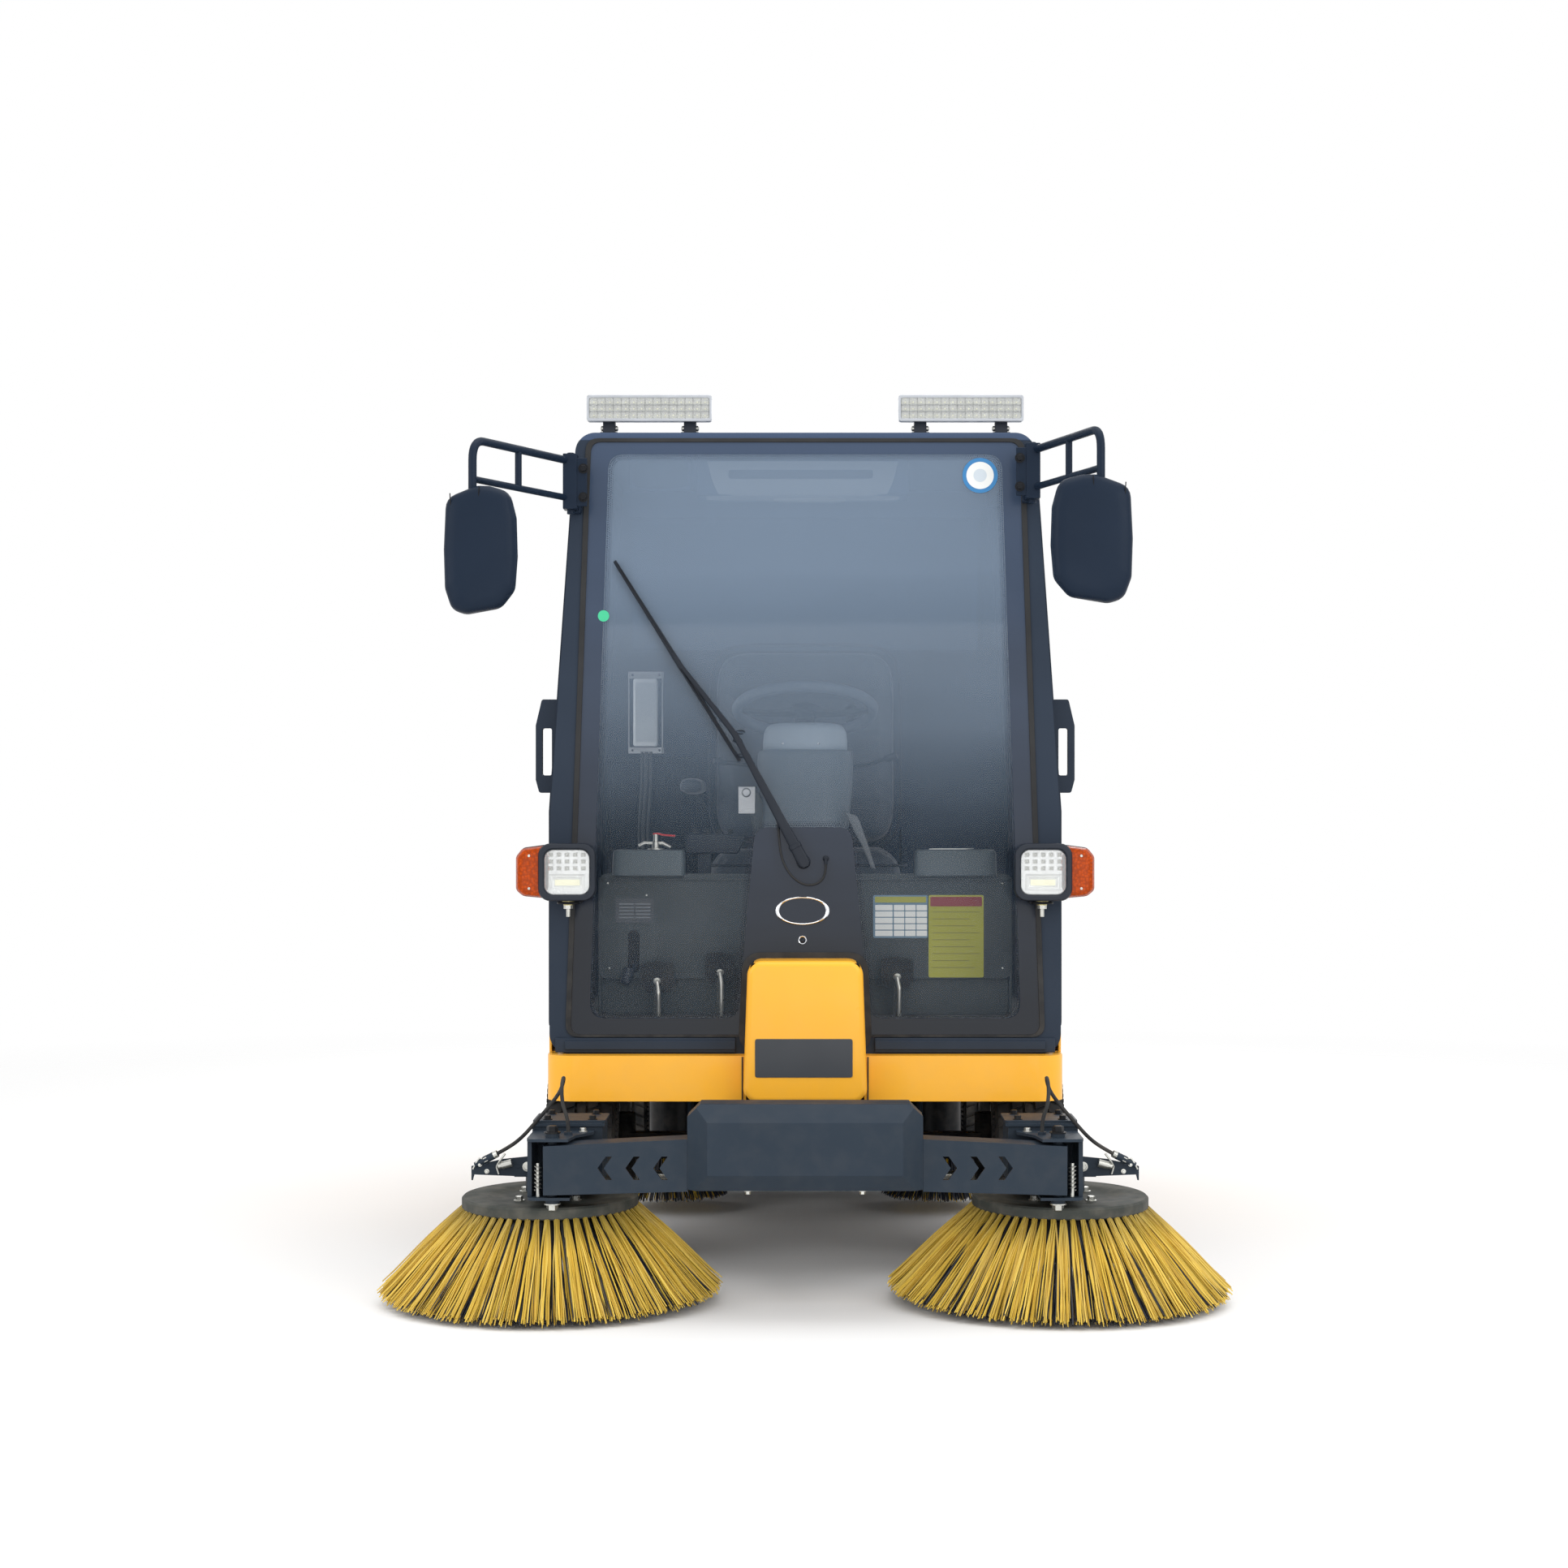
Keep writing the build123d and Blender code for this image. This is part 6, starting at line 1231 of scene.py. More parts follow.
def makeHeadlamp(side):
    sign = sideSign[side]
    x, z, front, back = sign * lamp["x"], lamp["z"], lamp["frontY"], lamp["backY"]
    size, corner, window, windowCorner = lamp["size"], lamp["round"], lamp["window"], lamp["windowRound"]
    depth = front - back

    def spot(a, b, out):
        return Vector((x + a, front - out, z + b))

    def square(wide, radius):
        return roundedBox(wide, wide, radius)

    shell = [(roundedBox(size * wide, size * high, radius), depth * deep)
             for wide, high, radius, deep in lamp["back"]]
    shell += [
        (square(size, corner), depth * lamp["rimDeep"]), (square(size, corner), -0.004),
        (square(size - 0.005, corner - 0.002), 0.0), (square(window + 0.008, windowCorner + 0.004), 0.0005),
        (square(window, windowCorner), -0.004), (square(window - 0.002, windowCorner), -0.016),
    ]
    ribs = [z + lamp["ribLow"] + lamp["ribPitch"] * i for i in range(lamp["ribs"])]
    (ribWide, ribHigh), (ribFront, ribBack) = lamp["ribHalf"], lamp["ribY"]
    build(f"headlampHousing_{side}", [(addRings, shell, spot)] + [
        (addBox, (x - ribWide, back + ribFront, rib - ribHigh),
         (x + ribWide, back + ribBack, rib + ribHigh)) for rib in ribs
    ], "darkPlastic", "lamp", ("headlamps",), bevel=0.0008)

    # inner face: plate, cells in rows, stepped reflector round the long chip
    (pitchX, pitchZ), (cellX, cellZ) = lamp["cellPitch"], (half / 2 for half in lamp["cellSize"])
    cells = [
        ((column - 2) * pitchX, lamp["cellTop"] - row * pitchZ)
        for row in range(lamp["rows"]) for column in range(lamp["columns"])
    ]
    well = rect(-0.04, 0.04, -0.042, -0.004)
    holes = [well] + [rect(a - cellX, a + cellX, b - cellZ, b + cellZ) for a, b in cells]
    (wellX, wellHigh), wellZ = lamp["well"], lamp["wellZ"]

    def addWell(bm):
        joinRings(bm, [[
            bm.verts.new(spot(a * (1 - inset / wellX), wellZ + (b - wellZ) * (1 - inset / wellHigh),
                              out)) for a, b in well
        ] for inset, out in lamp["steps"]])

    face = square(window - 0.003, windowCorner - 0.001)
    build(f"headlampFace_{side}", [
        (addSheet, [face] + holes, lambda a, b, out: spot(a, b, -0.0105 + out), 0.0015), (addWell,),
    ], "lampSilver", "lamp", smooth=25)
    shapes = []
    for a, b in cells:
        shapes.append((addBox, spot(a - cellX, b - cellZ, -0.0145), spot(a + cellX, b + cellZ, -0.0115)))
        middle = a + 0.0012, b + 0.0004
        shapes.append((addRod, spot(*middle, -0.012), spot(*middle, -0.01), 0.0032, 0.0018, 10))
    build(f"headlampCells_{side}", shapes, "lampCell", "lamp", bevel=0.0003)
    build(f"headlampChip_{side}", [(addBox, *(spot(*end) for end in lamp["chip"]))], "lampChip", "lamp",
          bevel=0.0004)
    build(f"headlampCover_{side}", [(addRings, [
        (square(window, windowCorner), -0.006), (square(window, windowCorner), -0.0035),
        (square(window * 0.86, windowCorner), -0.0024), (square(window * 0.4, 0.008), -0.0016),
    ], spot)], "lens", "lamp", smooth=40)
    makeIndicator(side)
    makeLampBracket(side)


def makeIndicator(side):
    # orange side indicator: a rounded, slightly sloping box beside the lamp
    d, sign = indicator, sideSign[side]

    def spot(a, b, out):
        return Vector((sign * (lamp["x"] + a), lamp["frontY"] - out, lamp["z"] + b))

    outline = roundCorners(d["outline"], d["round"], 6)
    build(f"indicatorLens_{side}", [(addRings, [
        ([(d["root"] + (a - d["root"]) * wide, b * high) for a, b in outline],
         out) for wide, high, out in d["levels"]
    ], spot)], "orange", "lamp", bevel=0.0012)
    wide, high = d["base"]
    base = [([(a * wide, b * high) for a, b in outline], out) for out in d["baseY"]]
    build(f"indicatorBase_{side}", [(addRings, base, spot)], "darkPlastic", "lamp", bevel=0.0015)
    screwX, screwY = d["screw"]
    screws = [(spot(screwX, b, screwY), (0, -1, 0), d["screwSize"]) for b in d["screwZ"]]
    repeatShape(f"indicatorScrews_{side}", "capScrew", screws, "carrier", "zinc")


def makeLampBracket(side):
    # washer, plate, nut and stud under the lamp, and the leg back to the pillar
    d, x = lampBracket, sideSign[side] * lamp["x"]
    wide, deep, radius = d["plate"]
    plateOutline = roundedBox(wide, deep, radius, 6, (x, d["plateY"]))
    build(f"lampBracket_{side}", [
        (addSlab, plateOutline, (0, 0, d["plateZ"]), (1, 0, 0), (0, 1, 0), (0, 0, d["plateThick"])),
        *((addBox, (x - d["half"], front, low), (x + d["half"], back, high))
          for front, back, low, high in d["blocks"]),
    ], "black", "black_steel", bevel=0.001)
    y, (low, high) = d["studY"], d["studZ"]
    build(f"lampStud_{side}", [
        (addRod, (x, y, low), (x, y, high), d["studRadius"], None, 14),
        (addLathe, d["nut"], (x, y, d["nutZ"]), axisZ, 6),
    ], "zinc", "steel", bevel=0.0004)
    build(f"lampWasher_{side}", [
        (addLathe, profile, (x, y, z), axisZ, 24, True) for z, profile in d["washers"]
    ], "brass", "steel")


for side in sideSign:
    makeHeadlamp(side)
print("work lamps")


# roof lamp bars
lampBar = {
    "x": (0.212, 0.496), "y": (-0.55, -0.494), "z": (1.931, 1.991), "frame": 0.0055, "cells": (15, 3),
    "fins": 24, "finInset": (0.012, 0.036, 0.008), "finHalf": 0.0012,
    # feet: outer and top half depths, half width, underside; plate half sizes and span; pins
    "feet": (0.262, 0.446), "footHalf": (0.018, 0.012), "footWide": 0.014, "footZ": 1.903,
    "plateHalf": (0.02, 0.022),
    "plateZ": (1.9035, 1.9075), "pinZ": 1.918,
    "pin": ((0.0, 0.0), (0.0, 0.0065), (0.004, 0.0065), (0.0062, 0.0035), (0.0066, 0.0)),
}


def lampCupShape():
    # a parabolic cup, a unit wide, opening towards its aim, its mouth a rounded square
    bm = bmesh.new()
    rows = []
    for radius, height, square in ((0.1, 0.0, 0.0), (0.26, 0.1, 0.0), (0.38, 0.28, 0.2), (0.47, 0.52, 0.6),
                                   (0.52, 0.74, 1.0)):
        row = []
        for k in range(16):
            angle = 2 * math.pi * k / 16
            fit = 1 / max(abs(math.cos(angle)), abs(math.sin(angle)))
            reach = radius * (1 - square + square * min(fit, 1.3))
            row.append(bm.verts.new((reach * math.cos(angle), reach * math.sin(angle), height)))
        rows.append(row)
    for lower, upper in zip(rows, rows[1:]):
        for k in range(16):
            j = (k + 1) % 16
            bm.faces.new((lower[j], lower[k], upper[k], upper[j]))
    bm.faces.new(rows[0])
    return bm


cup = lampCupShape()
cupMesh = bpy.data.meshes.new("lampCup")
cup.to_mesh(cupMesh)
cup.free()
shapeStore["lampCup"] = bpy.data.objects.new("lampCup", cupMesh)
chipShape = bmesh.new()
addLathe(chipShape, ((0.0, 0.13), (0.1, 0.13), (0.17, 0.07), (0.18, 0.0)), (0, 0, 0), (0, 0, 1), 10)
storeShape("lampChip", chipShape)


def makeLampBar(side):
    d, sign = lampBar, sideSign[side]
    xs = sorted(sign * v for v in d["x"])
    (yFront, yBack), (zLow, zHigh) = d["y"], d["z"]
    middleX, middleY, middleZ = (xs[0] + xs[1]) / 2, (yFront + yBack) / 2, (zLow + zHigh) / 2
    width, height, frame = xs[1] - xs[0], zHigh - zLow, d["frame"]
    outer = roundedBox(width, height, 0.006)
    window = roundedBox(width - 2 * frame, height - 2 * frame - 0.002, 0.004)

    def spot(a, b, out):
        return Vector((middleX + a, yFront - out, middleZ + b))

    build(f"lampBarHousing_{side}", [(addRings, (
        (roundedBox(width - 0.012, height - 0.016, 0.006), -0.04), (outer, -0.022), (outer, -0.001),
        (roundedBox(width - 0.002, height - 0.002, 0.005), 0.0), (window, 0.0), (window, -0.014),
    ), spot)], "lampHousing", "lamp", ("roof_lamps",), bevel=0.0006)
    insetX, insetY, insetZ = d["finInset"]
    fins = [xs[0] + insetX + (width - 2 * insetX) * i / (d["fins"] - 1) for i in range(d["fins"])]
    build(f"lampBarFins_{side}", [
        (addBox, (x - d["finHalf"], yFront + insetY, zLow + insetZ),
         (x + d["finHalf"], yBack, zHigh - insetZ)) for x in fins
    ], "lampHousing", "lamp")
    columns, rows = d["cells"]
    pitchX, pitchZ = (width - 2 * frame - 0.002) / columns, (height - 2 * frame - 0.004) / rows
    cells = [
        spot((c - (columns - 1) / 2) * pitchX, (r - (rows - 1) / 2) * pitchZ, -0.0135)
        for c in range(columns) for r in range(rows)
    ]
    for part, shape, size, paint in (("Cups", "lampCup", pitchX * 0.98, "lampSilver"),
                                     ("Chips", "lampChip", 0.014, "lampChip")):
        spots = [(p, (0, -1, 0), size) for p in cells]
        repeatShape(f"lampBar{part}_{side}", shape, spots, "carrier", paint)
    build(f"lampBarCover_{side}", [
        (addSheet, [window], lambda a, b, out: spot(a, b, -0.003 + out), 0.0015),
    ], "lens", "lamp")
    feet, pins = [], []
    (low, high), half, (plateX, plateY) = d["footHalf"], d["footWide"], d["plateHalf"]
    for foot in d["feet"]:
        x, top = sign * foot, zLow + 0.002
        outline = roundCorners([
            (middleY - low, d["footZ"]), (middleY + low, d["footZ"]), (middleY + high, top), (middleY - high, top),
        ], 0.005, 4)
        feet.append((addSlab, outline, (x - half, 0, 0), (0, 1, 0), (0, 0, 1), (2 * half, 0, 0)))
        bottom, above = d["plateZ"]
        feet.append((addBox, (x - plateX, middleY - plateY, bottom), (x + plateX, middleY + plateY, above)))
        pins += [(addLathe, d["pin"], (x + end * half, middleY, d["pinZ"]), (end, 0, 0), 12) for end in (-1, 1)]
    build(f"lampBarFeet_{side}", feet, "darkPlastic", "black_plastic", bevel=0.0012)
    build(f"lampBarPins_{side}", pins, "zinc", "steel")


for side in sideSign:
    makeLampBar(side)
print("roof lamp bars")


# mirrors on tube arms
mirrorRows = {
    "right": {"sign": -1, "bracket": 0.54, "tube": 0.703, "head": 0.686, "width": 0.155, "rise": 0.0},
    "left": {"sign": 1, "bracket": 0.524, "tube": 0.625, "head": 0.606, "width": 0.173, "rise": 0.024},
}
mirrorShape = {
    "y": -0.975, "tube": 0.009, "brace": 0.0075, "tubeZ": (1.748, 1.832), "headZ": 1.598, "height": 0.273,
    # (outward, up) as shares of half the width and height
    "outline": (
        (0.94, 0.8), (0.1, 0.995), (-0.25, 0.99), (-0.8, 0.9), (-0.97, 0.5), (-1.0, -0.1),
        (-0.93, -0.62), (-0.55, -0.9), (0.4, -1.0), (0.78, -0.93), (0.97, -0.6), (1.0, 0.0),
    ),
    # head levels: share of the outline, out
    "dome": (
        (0.93, -0.0275), (0.985, -0.024), (1.0, -0.014), (1.0, 0.0), (0.985, 0.01), (0.94, 0.018), (0.84, 0.0235),
        (0.62, 0.0265), (0.3, 0.028),
    ),
    # seam of the small service cover on the head's front
    "seam": ((0.8, 0.86), (0.76, 0.4), (0.7, 0.36), (0.12, 0.46), (0.05, 0.5), (0.0, 0.96)),
    # bracket blocks: inner and outer x, front, back, below and above the tubes; its pin and bolts
    "blocks": (
        (-0.03, 0.002, -0.642, -0.596, 0.026, 0.014), (-0.034, -0.008, -0.6, -0.525, 0.03, 0.004),
        (-0.052, -0.02, -0.64, -0.6335, 0.02, 0.004),
    ),
    "pin": (-0.014, -0.619, 0.036, 0.018, 0.0085), "bolt": (-0.044, -0.64, 0.014), "boltZ": (1.748, 1.812),
}


def bentPath(points, radius, steps=8):
    # a polyline whose corners are arcs, for a rigid bent tube
    points = [Vector(p) for p in points]
    made = [points[0]]
    for before, here, after in zip(points, points[1:], points[2:]):
        into, out = (before - here).normalized(), (after - here).normalized()
        reach = radius / math.tan(into.angle(out) / 2)
        start, end = here + into * reach, here + out * reach
        for step in range(steps + 1):
            t = step / steps
            made.append(start.lerp(here, t).lerp(here.lerp(end, t), t))
    made.append(points[-1])
    return made


def addTube(bm, points, radius, ring=14):
    # a round tube along a row of points, with its ends closed
    points = [Vector(p) for p in points]
    rows = []
    hint = frameOf(points[1] - points[0]).col[0]
    for i, point in enumerate(points):
        before, after = points[max(i - 1, 0)], points[min(i + 1, len(points) - 1)]
        turn = frameOf(after - before, hint)
        hint = turn.col[0]
        rows.append([
            bm.verts.new(point + turn @ Vector((radius * math.cos(a), radius * math.sin(a), 0)))
            for a in (2 * math.pi * k / ring for k in range(ring))
        ])
    joinRings(bm, rows)
    bm.faces.new(list(reversed(rows[0])))
    bm.faces.new(rows[-1])


def makeMirror(side, row):
    sign, rise, shape = row["sign"], row["rise"], mirrorShape
    y, (tubeLow, tubeHigh), headZ = shape["y"], shape["tubeZ"], shape["headZ"] + rise
    tubeX, bracketX = sign * row["tube"], row["bracket"]
    rootX, rootY = sign * (bracketX - 0.014), -0.612
    high = [(rootX, rootY, tubeHigh + rise), (tubeX, y, tubeHigh + rise), (tubeX, y, headZ + 0.05)]
    low = Vector((rootX, rootY, tubeLow + rise))
    reach = Vector((tubeX, y, tubeLow + rise)) - low
    spacer = low + reach * 0.55
    build(f"mirrorArm_{side}", [
        (addTube, bentPath(high, 0.044), shape["tube"]), (addTube, [low, low + reach], shape["brace"]),
        (addTube, [spacer, spacer + Vector((0, 0, tubeHigh - tubeLow))], shape["brace"]),
    ], "mirrorPlastic", "black_plastic", smooth=50)

    # pivot block and pillar plate
    blocks = []
    for inner, outer, front, back, below, above in shape["blocks"]:
        a, b = sorted((sign * (bracketX + inner), sign * (bracketX + outer)))
        blocks.append((addBox, (a, front, tubeLow + rise - below), (b, back, tubeHigh + rise + above)))
    pinX, pinY, below, above, radius = shape["pin"]
    pinX = sign * (bracketX + pinX)
    blocks.append((addRod, (pinX, pinY, tubeLow + rise - below), (pinX, pinY, tubeHigh + rise + above), radius,
                   None, 16))
    build(f"mirrorBracket_{side}", blocks, "mirrorPlastic", "black_plastic", bevel=0.0018)
    boltX, boltY, size = shape["bolt"]
    knobs = [((sign * (bracketX + boltX), boltY, h + rise), (0, -1, 0), size) for h in shape["boltZ"]]
    repeatShape(f"mirrorBolts_{side}", "hexBolt", knobs, "carrier", "black")

    # head: rows of the outline that shrink towards the domed front
    halfWidth, halfHeight = row["width"] / 2, shape["height"] / 2
    outline = roundCorners([(sign * u * halfWidth, v * halfHeight) for u, v in shape["outline"]], 0.035, 4)
    centre = Vector((sign * row["head"], y, headZ))
    head = bmesh.new()
    rows = [
        [head.verts.new(centre + Vector((u * share, -out, v * (1 - (1 - share) * 0.6)))) for u, v in outline]
        for share, out in shape["dome"]
    ]
    joinRings(head, rows)
    head.faces.new(rows[0])
    head.faces.new(rows[-1])
    stands = ("mirrors",) if sign < 0 else ()
    addPiece(f"mirrorHead_{side}", head, "carrier", "mirrorPlastic", "black_plastic", stands, smooth=60)
    small = [(u * 0.88, v * 0.92) for u, v in outline]
    build(f"mirrorGlass_{side}", [
        (addSheet, [small], lambda p, q, out: centre + Vector((p, 0.0262 + out, q)), 0.002),
    ], "mirrorGlass", "black_plastic", bevel=0.0006)
    line = [
        centre + Vector((sign * u * halfWidth, -0.0205 - 0.004 * (1 - abs(u)),
                         v * halfHeight)) for u, v in shape["seam"]
    ]
    build(f"mirrorSeam_{side}", [(addTube, line, 0.0012, 8)], "black", "black_plastic")


for side, row in mirrorRows.items():
    makeMirror(side, row)
print("mirrors")


# wiper: tapered arm, slotted blade, rubber strip and the washer hose with its clips
def superRing(centre, across, up, wide, high, power=4.0, count=24):
    # a rounded rectangle of points round a centre
    ring = []
    for i in range(count):
        c, d = math.cos(2 * math.pi * i / count), math.sin(2 * math.pi * i / count)
        a = math.copysign(abs(c) ** (2 / power), c) * wide
        b = math.copysign(abs(d) ** (2 / power), d) * high
        ring.append(centre + across * a + up * b)
    return ring


def levelRings(x, levels, power, count):
    # level rounded rectangles from (z, half width, y, half depth) rows
    return [superRing(Vector((x, y, z)), axisX, axisY, half, deep, power, count) for z, half, y, deep in levels]


def addLoft(bm, rings):
    rows = [[bm.verts.new(point) for point in ring] for ring in rings]
    joinRings(bm, rows)
    bm.faces.new(list(reversed(rows[0])))
    bm.faces.new(rows[-1])


wiper = {
    "pivot": (-0.004, 0.932), "elbow": (-0.158, 1.218), "bladeLow": (-0.15, 1.163), "bladeHigh": (-0.427, 1.605),
    "grommet": (0.0464, 0.939), "clips": ((-0.15, 1.226), (-0.156, 1.206), (-0.148, 1.174)),
    # arm stations: run along it, half width, half thickness, out; then shares of the way to the blade
    "arm": (
        (-0.015, 0.003, 0.002, 0.018), (-0.013, 0.008, 0.0048, 0.018), (-0.006, 0.0128, 0.0056, 0.018),
        (0.01, 0.0136, 0.0058, 0.018), (0.034, 0.0128, 0.0058, 0.018), (0.035, 0.0142, 0.0066, 0.018),
        (0.044, 0.0142, 0.0066, 0.018), (0.045, 0.0118, 0.0052, 0.018), (0.1, 0.0108, 0.0046, 0.019),
        (0.22, 0.0086, 0.004, 0.02), (0.322, 0.0068, 0.0034, 0.02),
    ),
    "armEnd": (0.08, 0.5, 1.0),
    "cap": ((0.0, 0.0158), (0.01, 0.0158), (0.012, 0.014), (0.013, 0.0)),
    "grommetCap": ((0.0, 0.007), (0.0035, 0.007), (0.0055, 0.005), (0.006, 0.0)),
    # spine: rails' shifts and steps; bridges with their reach where open and solid
    "rails": (-0.0033, 0.0033), "railSteps": 24, "bridges": 40, "open": 0.0022, "solid": 0.006,
    "joint": ((-0.02, 0.0068), (0.018, 0.0062)), "jointThick": 0.005, "jointOut": 0.0155,
    # rubber: half width, first and last height of each layer
    "rubber": ((0.0026, 0.0068, 0.0096), (0.001, 0.0022, 0.007), (0.0018, 0.001, 0.0026)),
    "rubberAt": (0.004, 0.25, 0.5, 0.75, 0.996),
}
washerRoute = (
    (0.0464, -0.6108, 0.9264), (0.0464, -0.6118, 0.9034), (0.03, -0.6167, 0.8826), (0.0, -0.6199, 0.8787),
    (-0.03, -0.6201, 0.8977), (-0.05, -0.6177, 0.9307), (-0.058, -0.6131, 0.9676), (-0.06, -0.6063, 1.0083),
)
washerHose = {"diameter": 0.0052, "length": 0.229}


def bladeStation(place, aim, wide, thick, out):
    # a section across a part that runs along an aim in the windscreen's plane
    side = axisX * aim.y - screenUp * aim.x
    return superRing(onScreen(place.x, place.y, out), side.normalized(), screenOut, wide, thick, 3.4, 20)


def makeWiper():
    d = wiper
    pivot, elbow, low, high = (Vector(d[k]) for k in ("pivot", "elbow", "bladeLow", "bladeHigh"))
    middle, aim = (low + high) / 2, (elbow - pivot).normalized()
    reach = middle - elbow
    rings = [bladeStation(pivot + aim * run, aim, wide, thick, out) for run, wide, thick, out in d["arm"]]
    rings += [
        bladeStation(elbow + reach * share, reach.normalized(), 0.0066 - 0.0022 * share, 0.0034,
                     0.02 - 0.003 * share)
        for share in d["armEnd"]
    ]
    build("wiperArm", [
        (addLoft, rings), (addLathe, d["cap"], onScreen(*pivot, 0.0), screenOut, 32),
        (addLathe, d["grommetCap"], onScreen(*d["grommet"], 0.0), screenOut, 24),
    ], "wiperPlastic", "black_plastic", ("wiper",), bevel=0.0006, smooth=40)
    aim, span = (high - low).normalized(), (high - low).length
    side = (axisX * aim.y - screenUp * aim.x).normalized()

    def bow(share):
        return 0.003 * abs(2 * share - 1)

    # the blade's spine: a pair of rails with bridges, solid at its middle and ends
    shapes = []
    for offset in d["rails"]:
        rings = []
        for i in range(d["railSteps"] + 1):
            share = i / d["railSteps"]
            wide = 0.0014 + 0.0016 * (1 - abs(2 * share - 1))
            place = low + aim * span * share
            centre = onScreen(place.x, place.y, 0.0125 - bow(share)) + side * offset * (0.7 + wide * 100)
            rings.append(superRing(centre, side, screenOut, wide, 0.0024, 3.0, 10))
        shapes.append((addLoft, rings))
    for i in range(d["bridges"] + 1):
        share = i / d["bridges"]
        filled = d["solid"] if abs(share - 0.5) < 0.06 or share < 0.03 or share > 0.97 else d["open"]
        place = low + aim * span * share
        centre = onScreen(place.x, place.y, 0.0122 - bow(share))
        reach = (onScreen(*aim) - onScreen(0, 0)) * filled
        rings = [superRing(centre + reach * k, side, screenOut, 0.004, 0.0018, 3.0, 10) for k in (-1, 1)]
        shapes.append((addLoft, rings))
    shapes.append((addLoft, [
        bladeStation(middle + aim * run, aim, wide, d["jointThick"], d["jointOut"]) for run, wide in d["joint"]
    ]))
    build("wiperBlade", shapes, "wiperPlastic", "black_plastic", smooth=40)
    build("wiperRubber", [(addLoft, [
        superRing(onScreen(*(low + aim * span * share), (first + last) / 2), side, screenOut, wide,
                  (last - first) / 2, 3.0, 8)
        for share in d["rubberAt"]
    ]) for wide, first, last in d["rubber"]], "rubber", "black_plastic")


def makeWasherHose():
    shapes = []
    for x, z in wiper["clips"]:
        turns = (math.pi * 2 * k / 14 for k in range(13))
        shapes.append((addTube, [
            onScreen(x + 0.01 * math.cos(a) + 0.004, z + 0.0035 * math.sin(a) - 0.3 * (x + 0.16),
                     0.017 + 0.003 * math.sin(a))
            for a in turns
        ], 0.0013, 8))
    shapes.append((addTube, [onScreen(*wiper["grommet"], 0.009), washerRoute[0]], 0.0038, 16))
    build("washerClips", shapes, "wiperPlastic", "black_plastic")
    hosePiece = smoothLine("washerHose", washerRoute, washerHose["diameter"] / 2, "rubber")
    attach(hosePiece, "carrier")
    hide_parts("washer_hose")
    end = Vector(washerRoute[-1])
    run = (end - Vector(washerRoute[-2])).normalized()
    profile = ((-0.002, 0.0027), (-0.002, 0.0044), (0.012, 0.0044), (0.014, 0.0036), (0.014, 0.0))
    clipPiece = build("washerClip", [
        (addLathe, profile, end, run, 20),
        (addTube, [end + run * 0.01, end + run * 0.01 + screenOut * 0.008], 0.003, 12),
    ], "wiperPlastic", "black_plastic")


makeWiper()
makeWasherHose()
print("wiper and washer hose")

# steering wheel: grip rim, spokes, hub pad and spinner knob, on the CAD wheel's axis
wheel = {
    "centre": (0.0, -0.07, 1.293), "tilt": 18.0, "radius": 0.166, "grip": 0.0136, "knob": 46.0, "steps": 96,
    "ring": 18,
    # spoke stations: radius, half width, half thickness, height
    "spokes": (0, 90, 180), "spoke": (
        (0.02, 0.026, 0.01, -0.004), (0.045, 0.021, 0.008, -0.006), (0.08, 0.0145, 0.006, -0.008),
        (0.12, 0.0135, 0.0052, -0.006), (0.15, 0.017, 0.0056, -0.002), (0.164, 0.02, 0.006, 0.0),
    ),
    "hub": (
        (-0.04, 0.0), (-0.04, 0.0235), (-0.012, 0.024), (-0.011, 0.036), (0.0, 0.0375), (0.006, 0.0365),
        (0.009, 0.033), (0.0092, 0.03), (0.008, 0.029), (0.0105, 0.027), (0.0135, 0.02), (0.015, 0.01),
        (0.0154, 0.0),
    ),
    "stem": ((-0.108, 0.0), (-0.108, 0.0108), (-0.038, 0.0108), (-0.038, 0.0)),
    "spinner": (
        (0.0, 0.0), (0.0, 0.013), (0.004, 0.013), (0.005, 0.007), (0.014, 0.0062), (0.016, 0.0125), (0.021, 0.0165),
        (0.03, 0.0178), (0.038, 0.016), (0.043, 0.0105), (0.0445, 0.0),
    ),
}
wheelAxis = Vector((0, math.sin(math.radians(wheel["tilt"])), math.cos(math.radians(wheel["tilt"]))))
wheelUp = Vector((0, wheelAxis.z, -wheelAxis.y))


def onWheel(radius, angle, height=0.0):
    # a point by its radius, angle from +X and height along the wheel's axis
    turn = math.radians(angle)
    flat = axisX * math.cos(turn) + wheelUp * math.sin(turn)
    return Vector(wheel["centre"]) + flat * radius + wheelAxis * height


